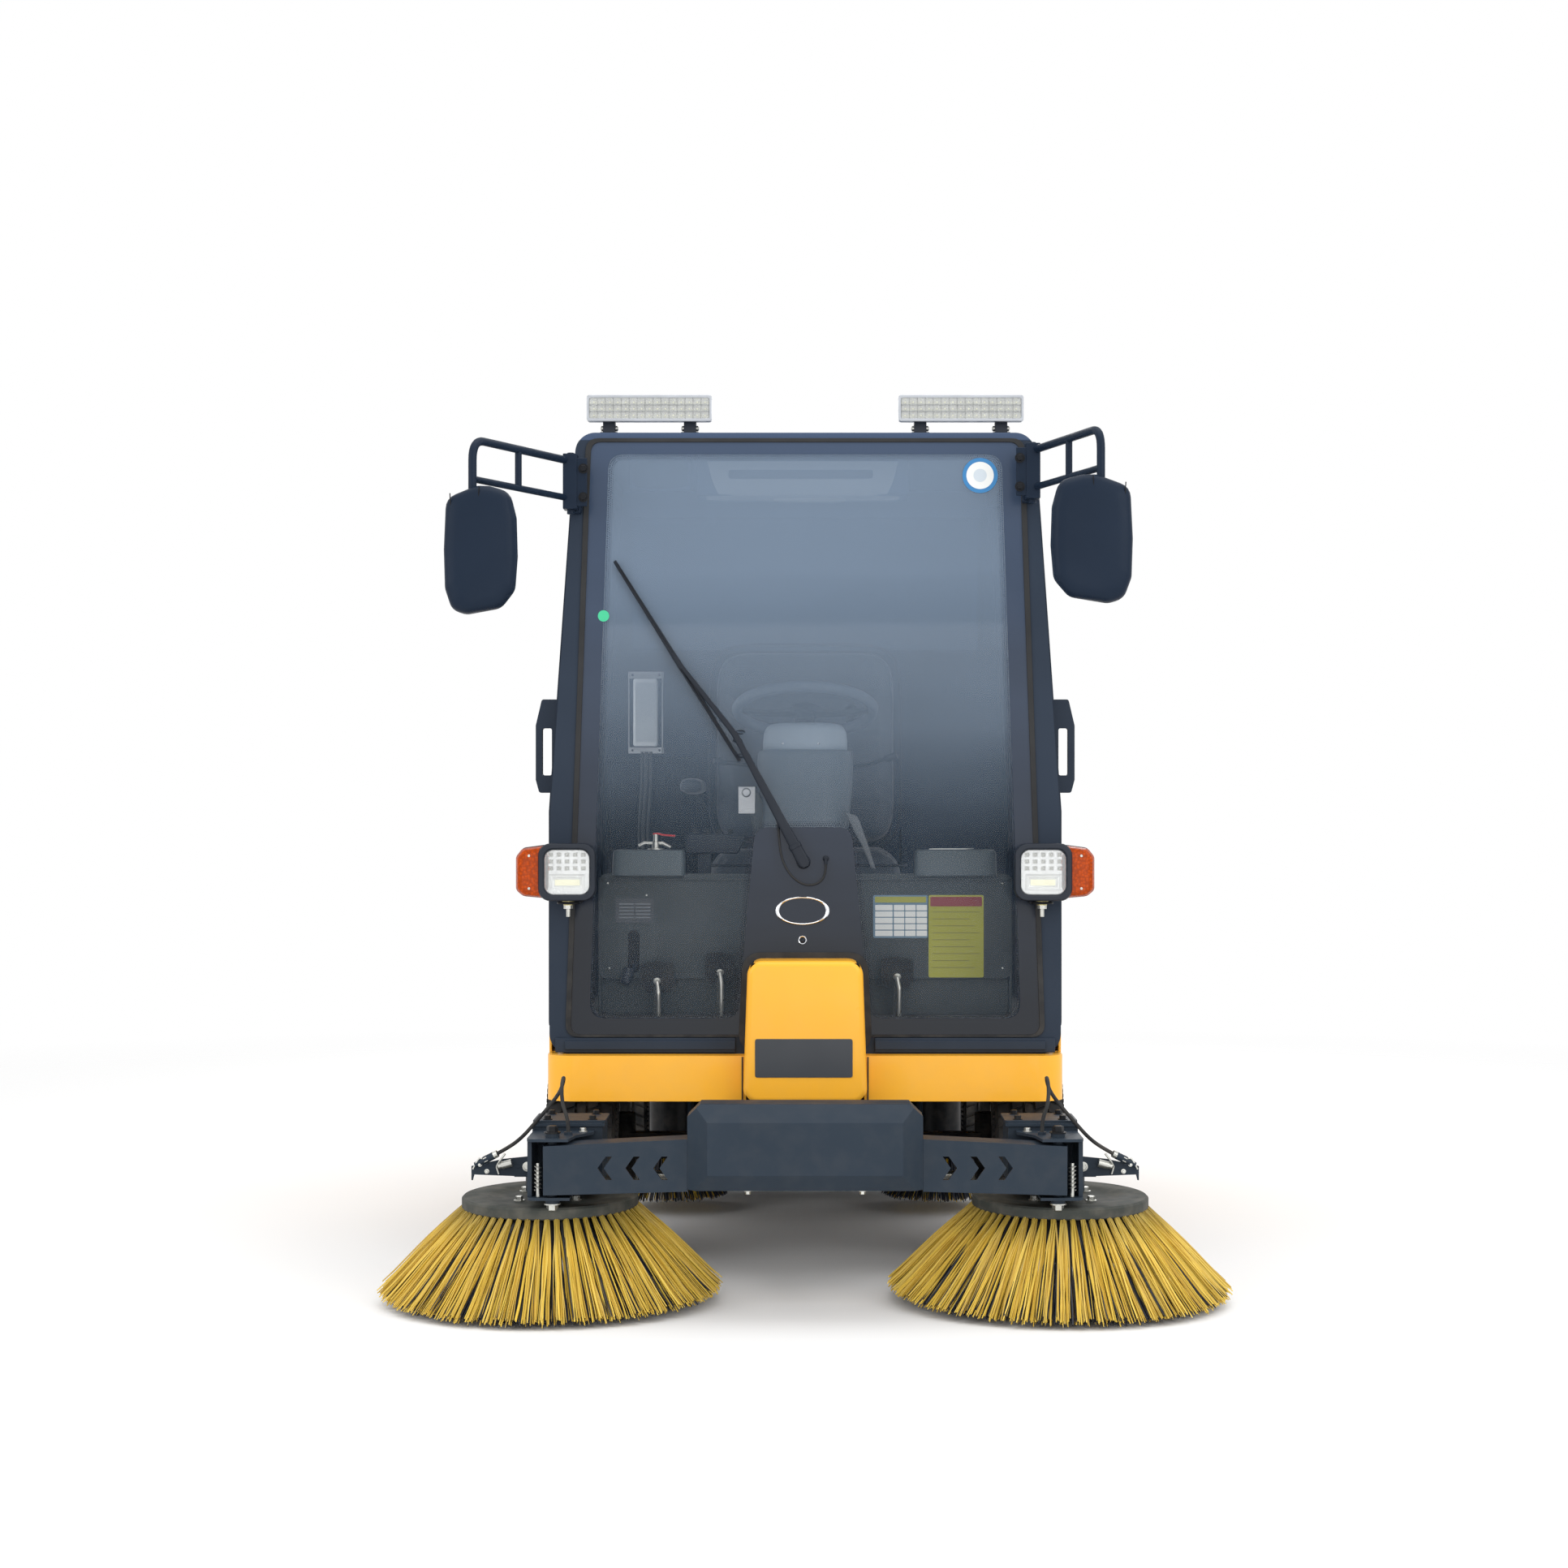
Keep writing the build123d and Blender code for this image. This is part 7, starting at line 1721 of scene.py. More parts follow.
def makeSteeringWheel():
    d, body, hub = wheel, "steering_wheel_body", Vector(wheel["centre"])
    rim, rings, count, around = bmesh.new(), [], d["steps"], d["ring"]
    for i in range(count):
        angle = 360 * i / count
        grip = d["grip"] * (1 - 0.03 * (1 + math.cos(math.radians(angle * 24))) / 2)
        centre = onWheel(d["radius"], angle)
        rings.append(superRing(centre, (centre - hub).normalized(), wheelAxis, grip, grip, 2.0, around))
    rows = [[rim.verts.new(point) for point in ring] for ring in rings]
    for i, row in enumerate(rows):
        other = rows[(i + 1) % count]
        for k in range(around):
            m = (k + 1) % around
            rim.faces.new((row[k], row[m], other[m], other[k]))
    addPiece("wheelRim", rim, body, "wheelGrip", "black_plastic", ("steering_wheel",), smooth=60)
    build("wheelSpokes", [(addLoft, [
        superRing(onWheel(radius, angle, height), onWheel(1, angle + 90) - hub, wheelAxis, wide, thick, 2.8, 20)
        for radius, wide, thick, height in d["spoke"]
    ]) for angle in d["spokes"]], "dash", "black_plastic", body=body, bevel=0.0006, smooth=50)
    build("wheelHub", [(addLathe, d["hub"], hub, wheelAxis, 48), (addLathe, d["stem"], hub, wheelAxis, 24)],
          "darkPlastic", "black_plastic", body=body, smooth=40)
    foot = onWheel(d["radius"], d["knob"], d["grip"] - 0.002)
    build("wheelKnob", [(addLathe, d["spinner"], foot, wheelAxis, 32)], "darkPlastic", "black_plastic", body=body,
          smooth=50)


makeSteeringWheel()
print("steering wheel")

# console: dash panel with raised boxes, pedestal, column shroud, signs, pedals and small controls
dashPanel = {
    "half": 0.477, "front": -0.45, "back": -0.38, "low": 0.659, "high": 0.902, "wall": 0.004, "round": 0.022,
    "inset": 0.006, "sideX": 0.474, "sideHalf": 0.003, "floor": 0.575,
    "lipHalf": 0.47, "lipHigh": 0.006, "lipDrop": 0.016, "lipDeep": 0.005,
    "pedestal": (0.06, -0.38, -0.3, 0.9), "kick": (0.94, 0.084, 0.014), "kickZ": 0.6175, "kickY": -0.434,
    # raised boxes: left and right ends, front, and their levels (z, inset)
    "boxes": ((-0.445, -0.277), (0.252, 0.442)), "boxFront": -0.47,
    "boxLevels": ((0.898, 0.0), (0.948, 0.0015), (0.955, 0.004), (0.957, 0.009)),
}
# levels of the column shroud: z, half width, front, back
shroud = {
    "body": (
        (0.88, 0.086, -0.376, -0.29), (0.95, 0.094, -0.372, -0.246), (1.01, 0.103, -0.356, -0.196),
        (1.06, 0.109, -0.34, -0.16), (1.11, 0.113, -0.331, -0.128), (1.15, 0.1145, -0.326, -0.11),
        (1.178, 0.114, -0.323, -0.1), (1.188, 0.1115, -0.32, -0.102), (1.191, 0.106, -0.314, -0.107),
    ),
    "cap": (
        (1.19, 0.0985, -0.307, -0.112), (1.192, 0.101, -0.309, -0.11), (1.212, 0.101, -0.309, -0.11),
        (1.234, 0.0985, -0.306, -0.113), (1.246, 0.0925, -0.3, -0.119), (1.2525, 0.082, -0.288, -0.13),
        (1.256, 0.066, -0.27, -0.146), (1.2575, 0.03, -0.236, -0.18),
    ),
    "screws": (-0.053, 0.031), "screwY": -0.3075, "screwZ": 1.206, "screwSize": 0.0056,
}
stalk = {
    "root": (0.104, -0.205, 1.15), "elbow": (0.15, -0.215, 1.158), "tip": (0.216, -0.235, 1.172), "tilt": 0.006,
    "radius": 0.0048, "grip": (
        (-0.03, 0.0), (-0.03, 0.0052), (-0.026, 0.0085), (0.0, 0.0094), (0.003, 0.008), (0.004, 0.0),
    ),
}


def shroudRing(z, half, front, back):
    centre = Vector((0, (front + back) / 2, z))
    return superRing(centre, axisX, axisY, half, (back - front) / 2, 2.35, 64)


def flatSpot(y):
    # places (x, z, depth) on a wall that faces the front
    return lambda x, z, out: Vector((x, y - out, z))


def makeConsole():
    d = dashPanel
    half, front, back, low, high = (d[k] for k in ("half", "front", "back", "low", "high"))
    wall, inset = d["wall"], d["inset"]
    face = roundedBox(2 * half, high - low, d["round"], 5, (0.0, (high + low) / 2))
    lip = rect(-d["lipHalf"], d["lipHalf"], 0.0, d["lipHigh"])
    foot, footFront, footBack, footTop = d["pedestal"]
    build("dashPanel", [
        (addSheet, [face], flatSpot(front + wall), wall),
        (addBox, (-half + inset, front + inset, high - 0.01), (half - inset, back, high - 0.004)),
        (addWall, lip, front + 0.001, -d["lipDeep"], high - d["lipDrop"]),
        *((addBox, (side * d["sideX"] - d["sideHalf"], front + 0.004, d["floor"]),
           (side * d["sideX"] + d["sideHalf"], back, high - 0.01)) for side in (-1, 1)),
        (addBox, (-foot, footFront, d["floor"]), (foot, footBack, footTop)),
    ], "dash", "black_plastic", ("console",), bevel=0.001)
    wide, tall, corner = d["kick"]
    kick = roundedBox(wide, tall, corner, 5, (0.0, d["kickZ"]))
    build("kickPanel", [(addSheet, [kick], flatSpot(d["kickY"]), 0.003)], "dash", "black_plastic", bevel=0.0012)
    centre, depth = (d["boxFront"] + back) / 2, (back - d["boxFront"]) / 2
    for i, (left, right) in enumerate(d["boxes"]):
        levels = [(z, (right - left) / 2 - edge, centre, depth - edge) for z, edge in d["boxLevels"]]
        rings = levelRings((left + right) / 2, levels, 8.0, 40)
        build(f"dashBox_{i}", [(addLoft, rings)], "dashBox", "black_plastic", smooth=45)
    for name, part, paint in (("columnShroud", "body", "shroud"), ("shroudCap", "cap", "shroudCap")):
        build(name, [(addLoft, [shroudRing(*row) for row in shroud[part]])], paint, "black_plastic", smooth=55)
    repeatShape("shroudScrews", "domeRivet", [
        ((x, shroud["screwY"] + 1.2 * x * x, shroud["screwZ"]), (3 * x, -1, 0),
         shroud["screwSize"]) for x in shroud["screws"]
    ], "carrier", "chrome")
    # indicator and wiper stalks beside the cap
    shapes = []
    for sign in (-1, 1):
        root, elbow, tip = (Vector((sign * x, y, z)) for x, y, z in (stalk["root"], stalk["elbow"], stalk["tip"]))
        tip.z = stalk["tip"][2] + stalk["tilt"] * sign
        shapes.append((addTube, [root, elbow, tip], stalk["radius"], 14))
        shapes.append((addLathe, stalk["grip"], tip, (tip - elbow).normalized(), 20))
    build("columnStalks", shapes, "darkPlastic", "black_plastic", smooth=50)


# blank labels on the dash: plain fields with border lines and empty cells, no lettering
signs = {
    # plain sheets: name, paint, rows of (width, height, corner, corner steps, (x, z), lift, thickness)
    "tableSign": ("signBlue", ((0.126, 0.099, 0.004, 4, (0.2197, 0.803), 0.0, 0.0008),)),
    "noticeSign": ("signYellow", (
        (0.118, 0.0135, 0.002, 3, (0.2197, 0.842), 0.0006, 0.0006),
        (0.127, 0.19, 0.004, 4, (0.3481, 0.7575), 0.0, 0.0008),
    )),
    "noticeBand": ("signRed", ((0.119, 0.022, 0.002, 3, (0.3481, 0.8375), 0.0006, 0.0006),)),
}
signCells = {
    "rows": 5, "columns": 4, "left": 0.1615, "firstWide": 0.04, "wide": 0.024, "second": 0.043,
    "pitch": (0.0262, 0.0148),
    "high": 0.0125, "top": 0.8235,
}
signRules = {"rows": 9, "left": 0.293, "wide": 0.11, "step": 0.012, "high": 0.0016, "top": 0.8135, "pitch": 0.016}
ratingPlate = {
    "size": (0.088, 0.056, 0.003), "place": (-0.394, 0.8165), "rows": 5, "columns": 2, "field": (0.034, 0.003),
    "first": (-0.412, 0.832), "pitch": (0.038, 0.0078),
}
dashScrews = {"size": 0.0042, "places": (
    (-0.3657, 0.852), (-0.452, 0.684), (0.455, 0.684), (0.455, 0.88), (-0.455, 0.88), (0.13, 0.684), (-0.13, 0.684),
)}


def signSheet(wide, high, corner, steps, middle, lift, thick):
    return addSheet, [roundedBox(wide, high, corner, steps, middle)], flatSpot(dashPanel["front"] - lift), thick


def makeSigns():
    d = signCells
    cells = []
    for row in range(d["rows"]):
        for column in range(d["columns"]):
            wide = d["wide"] if column else d["firstWide"]
            left = d["left"] + (d["second"] + (column - 1) * d["pitch"][0] if column else 0)
            middle = (left + wide / 2, d["top"] - row * d["pitch"][1])
            cells.append(signSheet(wide, d["high"], 0.001, 2, middle, 0.0006, 0.0006))
    for name, (paint, sheets) in signs.items():
        build(name, [signSheet(*sheet) for sheet in sheets], paint)
        if name == "tableSign":
            build("tableCells", cells, "paper")
    d = signRules
    wides = [d["wide"] - d["step"] * ((row * 5) % 3) for row in range(d["rows"])]
    build("noticeRules", [
        signSheet(wide, d["high"], 0.0006, 2, (d["left"] + wide / 2, d["top"] - row * d["pitch"]), 0.0006, 0.0005)
        for row, wide in enumerate(wides)
    ], "signRule")
    d = ratingPlate
    build("ratingPlate", [signSheet(*d["size"], 4, d["place"], 0.0, 0.0012)], "plateDark", bevel=0.0004)
    (left, top), (pitchX, pitchZ) = d["first"], d["pitch"]
    build("ratingFields", [
        signSheet(*d["field"], 0.0006, 2, (left + column * pitchX, top - row * pitchZ), 0.0011, 0.0004)
        for row in range(d["rows"]) for column in range(d["columns"])
    ], "trim")
    screws = [((x, dashPanel["front"], z), (0, -1, 0), dashScrews["size"]) for x, z in dashScrews["places"]]
    repeatShape("dashScrews", "domeRivet", screws, "carrier", "zinc")


# drive lever: places are (x, out from the panel, z)
lever = {
    "slot": (0.027, 0.098, 0.013), "slotPlace": (-0.395, 0.723), "slotThick": 0.0016,
    "stem": ((-0.395, 0.004, 0.69), (-0.395, -0.01, 0.686), (-0.408, -0.03, 0.668)), "radius": 0.006,
    "knobPlace": (-0.41, -0.034, 0.664), "knobAim": (-0.2, -0.35, -1),
    "knob": ((-0.022, 0.0), (-0.022, 0.011), (-0.016, 0.013), (0.01, 0.013), (0.016, 0.01), (0.017, 0.0)),
}
# valve on the left box: body, nut and a red handle with (x, z, half width) stations
valve = {
    "place": (-0.346, -0.425, 0.957),
    "body": ((0.0, 0.018), (0.003, 0.018), (0.004, 0.0085), (0.018, 0.0085), (0.019, 0.0055), (0.036, 0.0055),
             (0.037, 0.0)),
    "pipe": ((-0.385, -0.425, 0.965), (-0.372, -0.425, 0.972), (-0.33, -0.425, 0.972), (-0.312, -0.425, 0.962)),
    "pipeRadius": 0.0045, "thick": 0.0022, "handle": (
        (-0.352, 0.993, 0.005), (-0.34, 0.994, 0.006), (-0.33, 0.991, 0.0045), (-0.305, 0.989, 0.006),
        (-0.301, 0.989, 0.004),
    ),
}
controls = {
    "keyPlate": ((-0.158, -0.3, 1.04), (-0.118, -0.296, 1.104)), "keyPlace": (-0.139, -0.3, 1.09),
    "key": ((0.0, 0.011), (0.006, 0.011), (0.007, 0.009), (0.012, 0.009), (0.0125, 0.0)),
    # (x, z, half width) stations of the switch cover and the parking lever
    "coverY": -0.27, "coverDeep": 0.03,
    "cover": ((-0.104, 0.985, 0.018), (-0.108, 1.03, 0.022), (-0.122, 1.068, 0.022), (-0.128, 1.088, 0.018)),
    "brakeY": -0.33, "brakeDeep": 0.006, "brakeSlope": -0.35,
    "brake": ((0.106, 1.04, 0.016), (0.112, 1.028, 0.017), (0.14, 0.966, 0.01), (0.16, 0.912, 0.006)),
    "paper": ((0.285, -0.462), (0.372, -0.455), (0.392, -0.402), (0.3, -0.396)), "paperZ": 0.958, "paperCurl": 0.1,
    "fuse": ((-0.375, 0.405, 1.02), (-0.32, 0.44, 1.09)),
}


def makeDashFittings():
    y, d = dashPanel["front"], lever
    wide, high, corner = d["slot"]
    slot = roundedBox(wide, high, corner, 6, d["slotPlace"])
    build("leverSlot", [(addSheet, [slot], flatSpot(y), d["slotThick"])], "black", "black_steel", bevel=0.0005)
    stem = [(x, y + out, z) for x, out, z in d["stem"]]
    knobX, knobOut, knobZ = d["knobPlace"]
    build("leverKnob", [
        (addTube, stem, d["radius"], 14), (addLathe, d["knob"], (knobX, y + knobOut, knobZ), d["knobAim"], 24),
    ], "darkPlastic", "black_plastic", smooth=50)
    d = valve
    build("valveBody", [
        (addLathe, d["body"], d["place"], axisZ, 24), (addTube, d["pipe"], d["pipeRadius"], 12),
    ], "zinc", "steel", smooth=45)
    build("valveHandle", [(addLoft, [
        superRing(Vector((x, d["place"][1], z)), axisY, axisZ, half, d["thick"], 3.0,
                  14) for x, z, half in d["handle"]
    ])], "redPlastic", "black_plastic", smooth=50)
    # key switch on its bracket and its cover, left of the column
    d = controls
    build("keySwitch", [
        (addBox, *d["keyPlate"]), (addLathe, d["key"], d["keyPlace"], (0, -1, 0), 28),
    ], "brushed", "steel", bevel=0.001)
    build("switchCover", [(addLoft, [
        superRing(Vector((x, d["coverY"], z)), axisX, axisY, half, d["coverDeep"], 5.0,
                  28) for x, z, half in d["cover"]
    ])], "dash", "black_plastic", smooth=50)
    # parking lever on the right of the column
    slope = Vector((1, 0, d["brakeSlope"])).normalized()
    build("parkLever", [(addLoft, [
        superRing(Vector((x, d["brakeY"], z)), slope, axisY, half, d["brakeDeep"], 4.0,
                  16) for x, z, half in d["brake"]
    ])], "trim", "black_plastic", smooth=50)

    def curl(a, b, out):
        return Vector((a, b, d["paperZ"] + out + d["paperCurl"] * (a - 0.33) ** 2))

    build("paperSheet", [(addSheet, [d["paper"]], curl, 0.0012)], "paper")
    # small fuse box on its plate, left at the back
    build("fuseBox", [(addBox, *d["fuse"])], "darkPlastic", "black_plastic", bevel=0.003)


# pedals: left edge, width and low end, then the pad's outline as (share of the width, up)
pedals = ((-0.377, 0.075, 0.635), (-0.228, 0.066, 0.655), (0.175, 0.072, 0.645))
pedal = {
    "outline": ((-0.34, -0.004), (0.34, -0.004), (0.53, 0.018), (0.5, 0.064), (0.0, 0.07), (-0.5, 0.064),
                (-0.53, 0.018)),
    "round": 0.007, "thick": 0.006, "slope": 0.29, "y": -0.4705, "boltUp": 0.024, "stemX": 0.004,
    "stemRadius": 0.0052,
    "stemFoot": (-0.492, 0.5765), "stemTop": (-0.5, -0.004),
    "bolt": ((0.0, 0.0085), (0.003, 0.0085), (0.0035, 0.0055), (0.01, 0.0055), (0.0105, 0.0)),
}


def makePedals():
    # each pad's rubber plate leans forward
    d = pedal
    lean = Vector((0, -d["slope"], 1)).normalized()
    ahead = Vector((0, -1, -d["slope"])).normalized()
    for i, (left, width, low) in enumerate(pedals):
        middle = left + width / 2
        foot = Vector((middle, d["y"], low))
        outline = roundCorners([(width * share, up) for share, up in d["outline"]], d["round"])
        build(f"pedalPlate_{i}", [
            (addSheet, [outline], lambda a, b, out: foot + Vector((a, 0, 0)) + lean * b + ahead * out, d["thick"]),
        ], "rubber", "black_plastic", bevel=0.0014)
        bolt = foot + lean * d["boltUp"] + ahead * d["thick"]
        x, (footY, footZ), (topY, topZ) = middle + d["stemX"], d["stemFoot"], d["stemTop"]
        stem = bentPath([bolt + ahead * 0.006, (x, topY, low + topZ), (x, footY, footZ)], 0.01)
        build(f"pedalStem_{i}", [
            (addLathe, d["bolt"], bolt, ahead, 24), (addTube, stem, d["stemRadius"], 12),
        ], "zinc", "steel")


makeConsole()
makeSigns()
makeDashFittings()
makePedals()
print("console and pedals")

# seat: cushions swelled by a cloth simulation over a moulded shell, with piping and an arm pad
seatPlan = {
    # each pad: size, how far it swells, its bolsters' rise, its grooves and the level of its welt
    "cushion": {
        "size": (0.49, 0.378, 0.104), "swell": 0.016, "place": (0.0, 0.102, 0.878), "bolsters": 0.016,
        "grooves": (-0.105, 0.0, 0.1), "welt": 0.34,
    },
    "back": {
        "size": (0.486, 0.522, 0.082), "swell": 0.014, "low": (0.328, 0.94), "high": (0.368, 1.474),
        "bolsters": 0.012,
        "grooves": (-0.15, -0.055, 0.04, 0.135), "welt": 0.3,
    },
    "arm": {
        "size": (0.062, 0.29, 0.034), "swell": 0.004, "place": (-0.2835, 0.18, 1.109), "bolsters": 0.0,
        "grooves": (),
        "foot": ((-0.312, 0.3, 1.091), (-0.255, 0.324, 1.11)),
        "tube": ((-0.284, 0.31, 1.095), (-0.262, 0.338, 1.08), (-0.246, 0.352, 1.06)),
    },
}
seatShell = {
    # levels of the pan: z, half width, y, half depth; then the back's (share of its height, half width)
    "pan": ((0.802, 0.2, 0.11, 0.16), (0.808, 0.225, 0.11, 0.18), (0.834, 0.243, 0.108, 0.194),
            (0.846, 0.24, 0.108, 0.19)),
    "back": ((0.02, 0.205), (0.05, 0.222), (0.4, 0.236), (0.9, 0.228), (0.97, 0.205), (0.985, 0.17)),
    "backOut": 0.038, "backDeep": 0.01, "rail": (0.165, 0.018, (-0.06, 0.3), (0.7995, 0.8065)),
    "recline": ((0.215, 0.835), (0.345, 0.835), (0.362, 1.0), (0.318, 1.0), (0.23, 0.868)),
    "reclineX": 0.2455, "reclineThick": 0.0035,
}


def padShape(width, length, height, corner, bolsters):
    # a crowned block whose sides pull in between its corners
    bm = bmesh.new()
    addLoft(bm, [
        superRing(Vector((0, 0, height * level)), axisX, axisY, width / 2 - inset, length / 2 - inset, corner, 96)
        for level, inset in (
            (-0.5, height * 0.42), (-0.47, height * 0.18), (-0.36, height * 0.05), (-0.12, 0.0),
            (0.12, height * 0.02),
            (0.34, height * 0.06), (0.46, height * 0.2), (0.5, height * 0.48),
        )
    ])
    bmesh.ops.remove_doubles(bm, verts=bm.verts, dist=1e-6)
    bmesh.ops.recalc_face_normals(bm, faces=bm.faces)
    for vertex in bm.verts:
        if vertex.co.z > 0:
            # a shallow seat hollow between raised bolsters
            side = abs(vertex.co.x) / (width / 2)
            vertex.co.z += bolsters * (max(0.0, side - 0.55) / 0.45) ** 0.8 * (1 if side < 0.93 else 0.4)
    return bm


def swellPad(name, bm, pitch, most):
    # remeshes a pad and lets the air inside it stretch its cover, no further than most
    mesh = bpy.data.meshes.new(name + "Start")
    bm.to_mesh(mesh)
    bm.free()
    worker = bpy.data.objects.new(name + "Worker", mesh)
    bpy.context.scene.collection.objects.link(worker)
    grid = worker.modifiers.new("grid", "REMESH")
    grid.mode, grid.voxel_size = "VOXEL", pitch
    bpy.context.view_layer.update()
    even = bpy.data.meshes.new_from_object(worker.evaluated_get(bpy.context.evaluated_depsgraph_get()))
    worker.modifiers.clear()
    worker.data = even
    start = [vertex.co.copy() for vertex in even.vertices]
    cloth = worker.modifiers.new("cloth", "CLOTH")
    settings = cloth.settings
    settings.use_pressure, settings.uniform_pressure_force = True, 4.0
    settings.effector_weights.gravity = 0.0
    settings.quality = 4
    settings.tension_stiffness = settings.compression_stiffness = 22.0
    cloth.collision_settings.use_collision = False
    scene = bpy.context.scene
    for frameNumber in range(1, 16):
        scene.frame_set(frameNumber)
    swollen = bpy.data.meshes.new_from_object(worker.evaluated_get(bpy.context.evaluated_depsgraph_get()))
    worker.modifiers.clear()
    scene.frame_set(1)
    for vertex, first in zip(swollen.vertices, start):
        move = vertex.co - first
        if move.length > most:
            vertex.co = first + move.normalized() * most
    worker.data = swollen
    return worker


def seamDip(value, lines, wide, deep):
    return sum(deep * math.exp(-((value - line) / wide) ** 2) for line in lines)


def makePad(name, plan, turn):
    width, length, height = plan["size"]
    worker = swellPad(name, padShape(width, length, height, 6.5, plan["bolsters"]), 0.0085, plan["swell"])
    mesh = worker.data
    mesh.name = name
    for vertex in mesh.vertices:
        point = vertex.co
        if point.z > height * 0.25:
            edge = max(0.0, 1 - (abs(point.x) / (width / 2)) ** 8)
            point.z -= seamDip(point.y, plan["grooves"], 0.0075, 0.0065) * edge
            # faint creases of a sat-on cover
            point.z -= 0.0012 * math.sin(point.x * 61 + 9 * point.y) * math.sin(point.y * 43) * edge
    mesh.transform(turn)
    mesh.materials.clear()
    mesh.materials.append(paints["seat"])
    mesh.shade_smooth()
    worker.name = name
    smoother = worker.modifiers.new("smoother", "SUBSURF")
    smoother.levels = smoother.render_levels = 1
    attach(worker, "carrier")
    return worker


def makePiping(name, plan, turn):
    # the welt cord round a pad's edge
    width, length, height = plan["size"]
    swell = plan["swell"] * 0.45
    ring = superRing(Vector((0, 0, height * plan["welt"])), axisX, axisY,
                     width / 2 - 0.002 + swell, length / 2 - 0.002 + swell, 6.5, 120)
    welt = [turn @ point for point in ring + ring[:1]]
    build(name, [(addTube, welt, 0.0036, 10)], "darkPlastic", "seat_cover", smooth=60)


def makeSeat():
    flat, upright, rest = seatPlan["cushion"], seatPlan["back"], seatPlan["arm"]
    turn = Matrix.Translation(flat["place"])
    cushion = makePad("seatCushion", flat, turn)
    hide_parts("seat")
    makePiping("cushionPiping", flat, turn)
    (lowY, lowZ), (highY, highZ) = upright["low"], upright["high"]
    rise = Vector((0, highY - lowY, highZ - lowZ)).normalized()
    middle = Vector((0, (lowY + highY) / 2, (lowZ + highZ) / 2 + 0.004))
    facing = axisX.cross(rise)
    turn = Matrix.Translation(middle) @ Matrix(((1, 0, 0), rise, facing)).transposed().to_4x4()
    makePad("seatBack", upright, turn)
    makePiping("backPiping", upright, turn)
    d = seatShell

    def backAt(share):
        return Vector((0, lowY + (highY - lowY) * share, lowZ + (highZ - lowZ) * share)) - facing * d["backOut"]

    build("seatShell", [(addLoft, levelRings(0, d["pan"], 5.0, 60)), (addLoft, [
        superRing(backAt(share), axisX, facing, half, d["backDeep"], 5.0, 60) for share, half in d["back"]
    ])], "darkPlastic", "black_plastic", smooth=50)
    # slide rails under the pan and the recline plates at its sides
    railX, railHalf, (railFront, railBack), (railLow, railHigh) = d["rail"]
    shapes, recline = [], roundCorners(d["recline"], 0.012)
    for sign in (-1, 1):
        x = sign * railX
        shapes.append((addBox, (x - railHalf, railFront, railLow), (x + railHalf, railBack, railHigh)))
        shapes.append((addSlab, recline, (sign * d["reclineX"], 0, 0), (0, 1, 0), (0, 0, 1),
                       (sign * d["reclineThick"], 0, 0)))
    build("seatHardware", shapes, "black", "black_steel", bevel=0.001)
    makePad("armPad", rest, Matrix.Translation(rest["place"]))
    build("armBracket", [
        (addBox, *rest["foot"]), (addTube, bentPath(rest["tube"], 0.012), 0.009, 14),
    ], "black", "black_steel", bevel=0.001)


makeSeat()
print("seat")

# cab lining: overhead console, inner mirror, rear blind, ribbed side case, control box and discs
ceiling = {
    # levels of the console and its lamp: z, half width, y, half depth
    "consoleX": -0.0055, "consoleLevels": (
        (1.7655, 0.214, -0.452, 0.04), (1.7675, 0.222, -0.452, 0.047), (1.772, 0.226, -0.451, 0.052),
        (1.8, 0.238, -0.45, 0.0535), (1.846, 0.2455, -0.45, 0.0545),
    ),
    "lampX": 0.01, "lampLevels": (
        (1.7655, 0.084, -0.456, 0.026), (1.761, 0.083, -0.456, 0.025), (1.7585, 0.078, -0.456, 0.021),
    ),
    "slot": {"size": (0.33, 0.02), "round": 0.006, "place": (-0.01, 1.816), "y": -0.5055, "thick": 0.0015},
    # steps of the mirror's shell: back from its front, half width, half height
    "mirror": (-0.3305, -0.5215, 1.813), "mirrorSteps": (
        (0.0, 0.062, 0.03), (0.004, 0.069, 0.0345), (0.013, 0.07, 0.0352), (0.016, 0.066, 0.032),
        (0.0165, 0.06, 0.027),
    ),
    "stay": ((-0.33, -0.508, 1.83), (-0.33, -0.49, 1.855), (-0.33, -0.47, 1.86)), "stayRadius": 0.008,
}


def makeCeiling():
    console, lampRings = (levelRings(ceiling[k + "X"], ceiling[k + "Levels"], power, 40)
                          for k, power in (("console", 7.0), ("lamp", 5.0)))
    build("overheadConsole", [(addLoft, console)], "ceiling", "black_plastic", smooth=45)
    build("cabinLamp", [(addLoft, lampRings)], "lampFace", "lamp", smooth=45)
    slot = ceiling["slot"]
    opening = roundedBox(*slot["size"], slot["round"], 4, slot["place"])
    build("consoleSlot", [(addSheet, [opening], flatSpot(slot["y"]), slot["thick"])], "dash", "black_plastic")
    x, y, z = ceiling["mirror"]
    shell = [
        superRing(Vector((x, y + back, z)), axisX, axisZ, half, high, 4.5, 48)
        for back, half, high in ceiling["mirrorSteps"]
    ]
    radius = ceiling["stayRadius"]
    stay = bentPath(ceiling["stay"], radius)
    build("innerMirror", [(addLoft, shell), (addTube, stay, radius)], "darkPlastic", "black_plastic", smooth=50)


blind = {
    "half": 0.452, "z": (1.468, 1.812), "folds": 22, "foldY": (0.4125, 0.4085), "backY": 0.4155,
    "rail": ((-0.458, 0.398, 1.812), (0.458, 0.418, 1.836)),
}


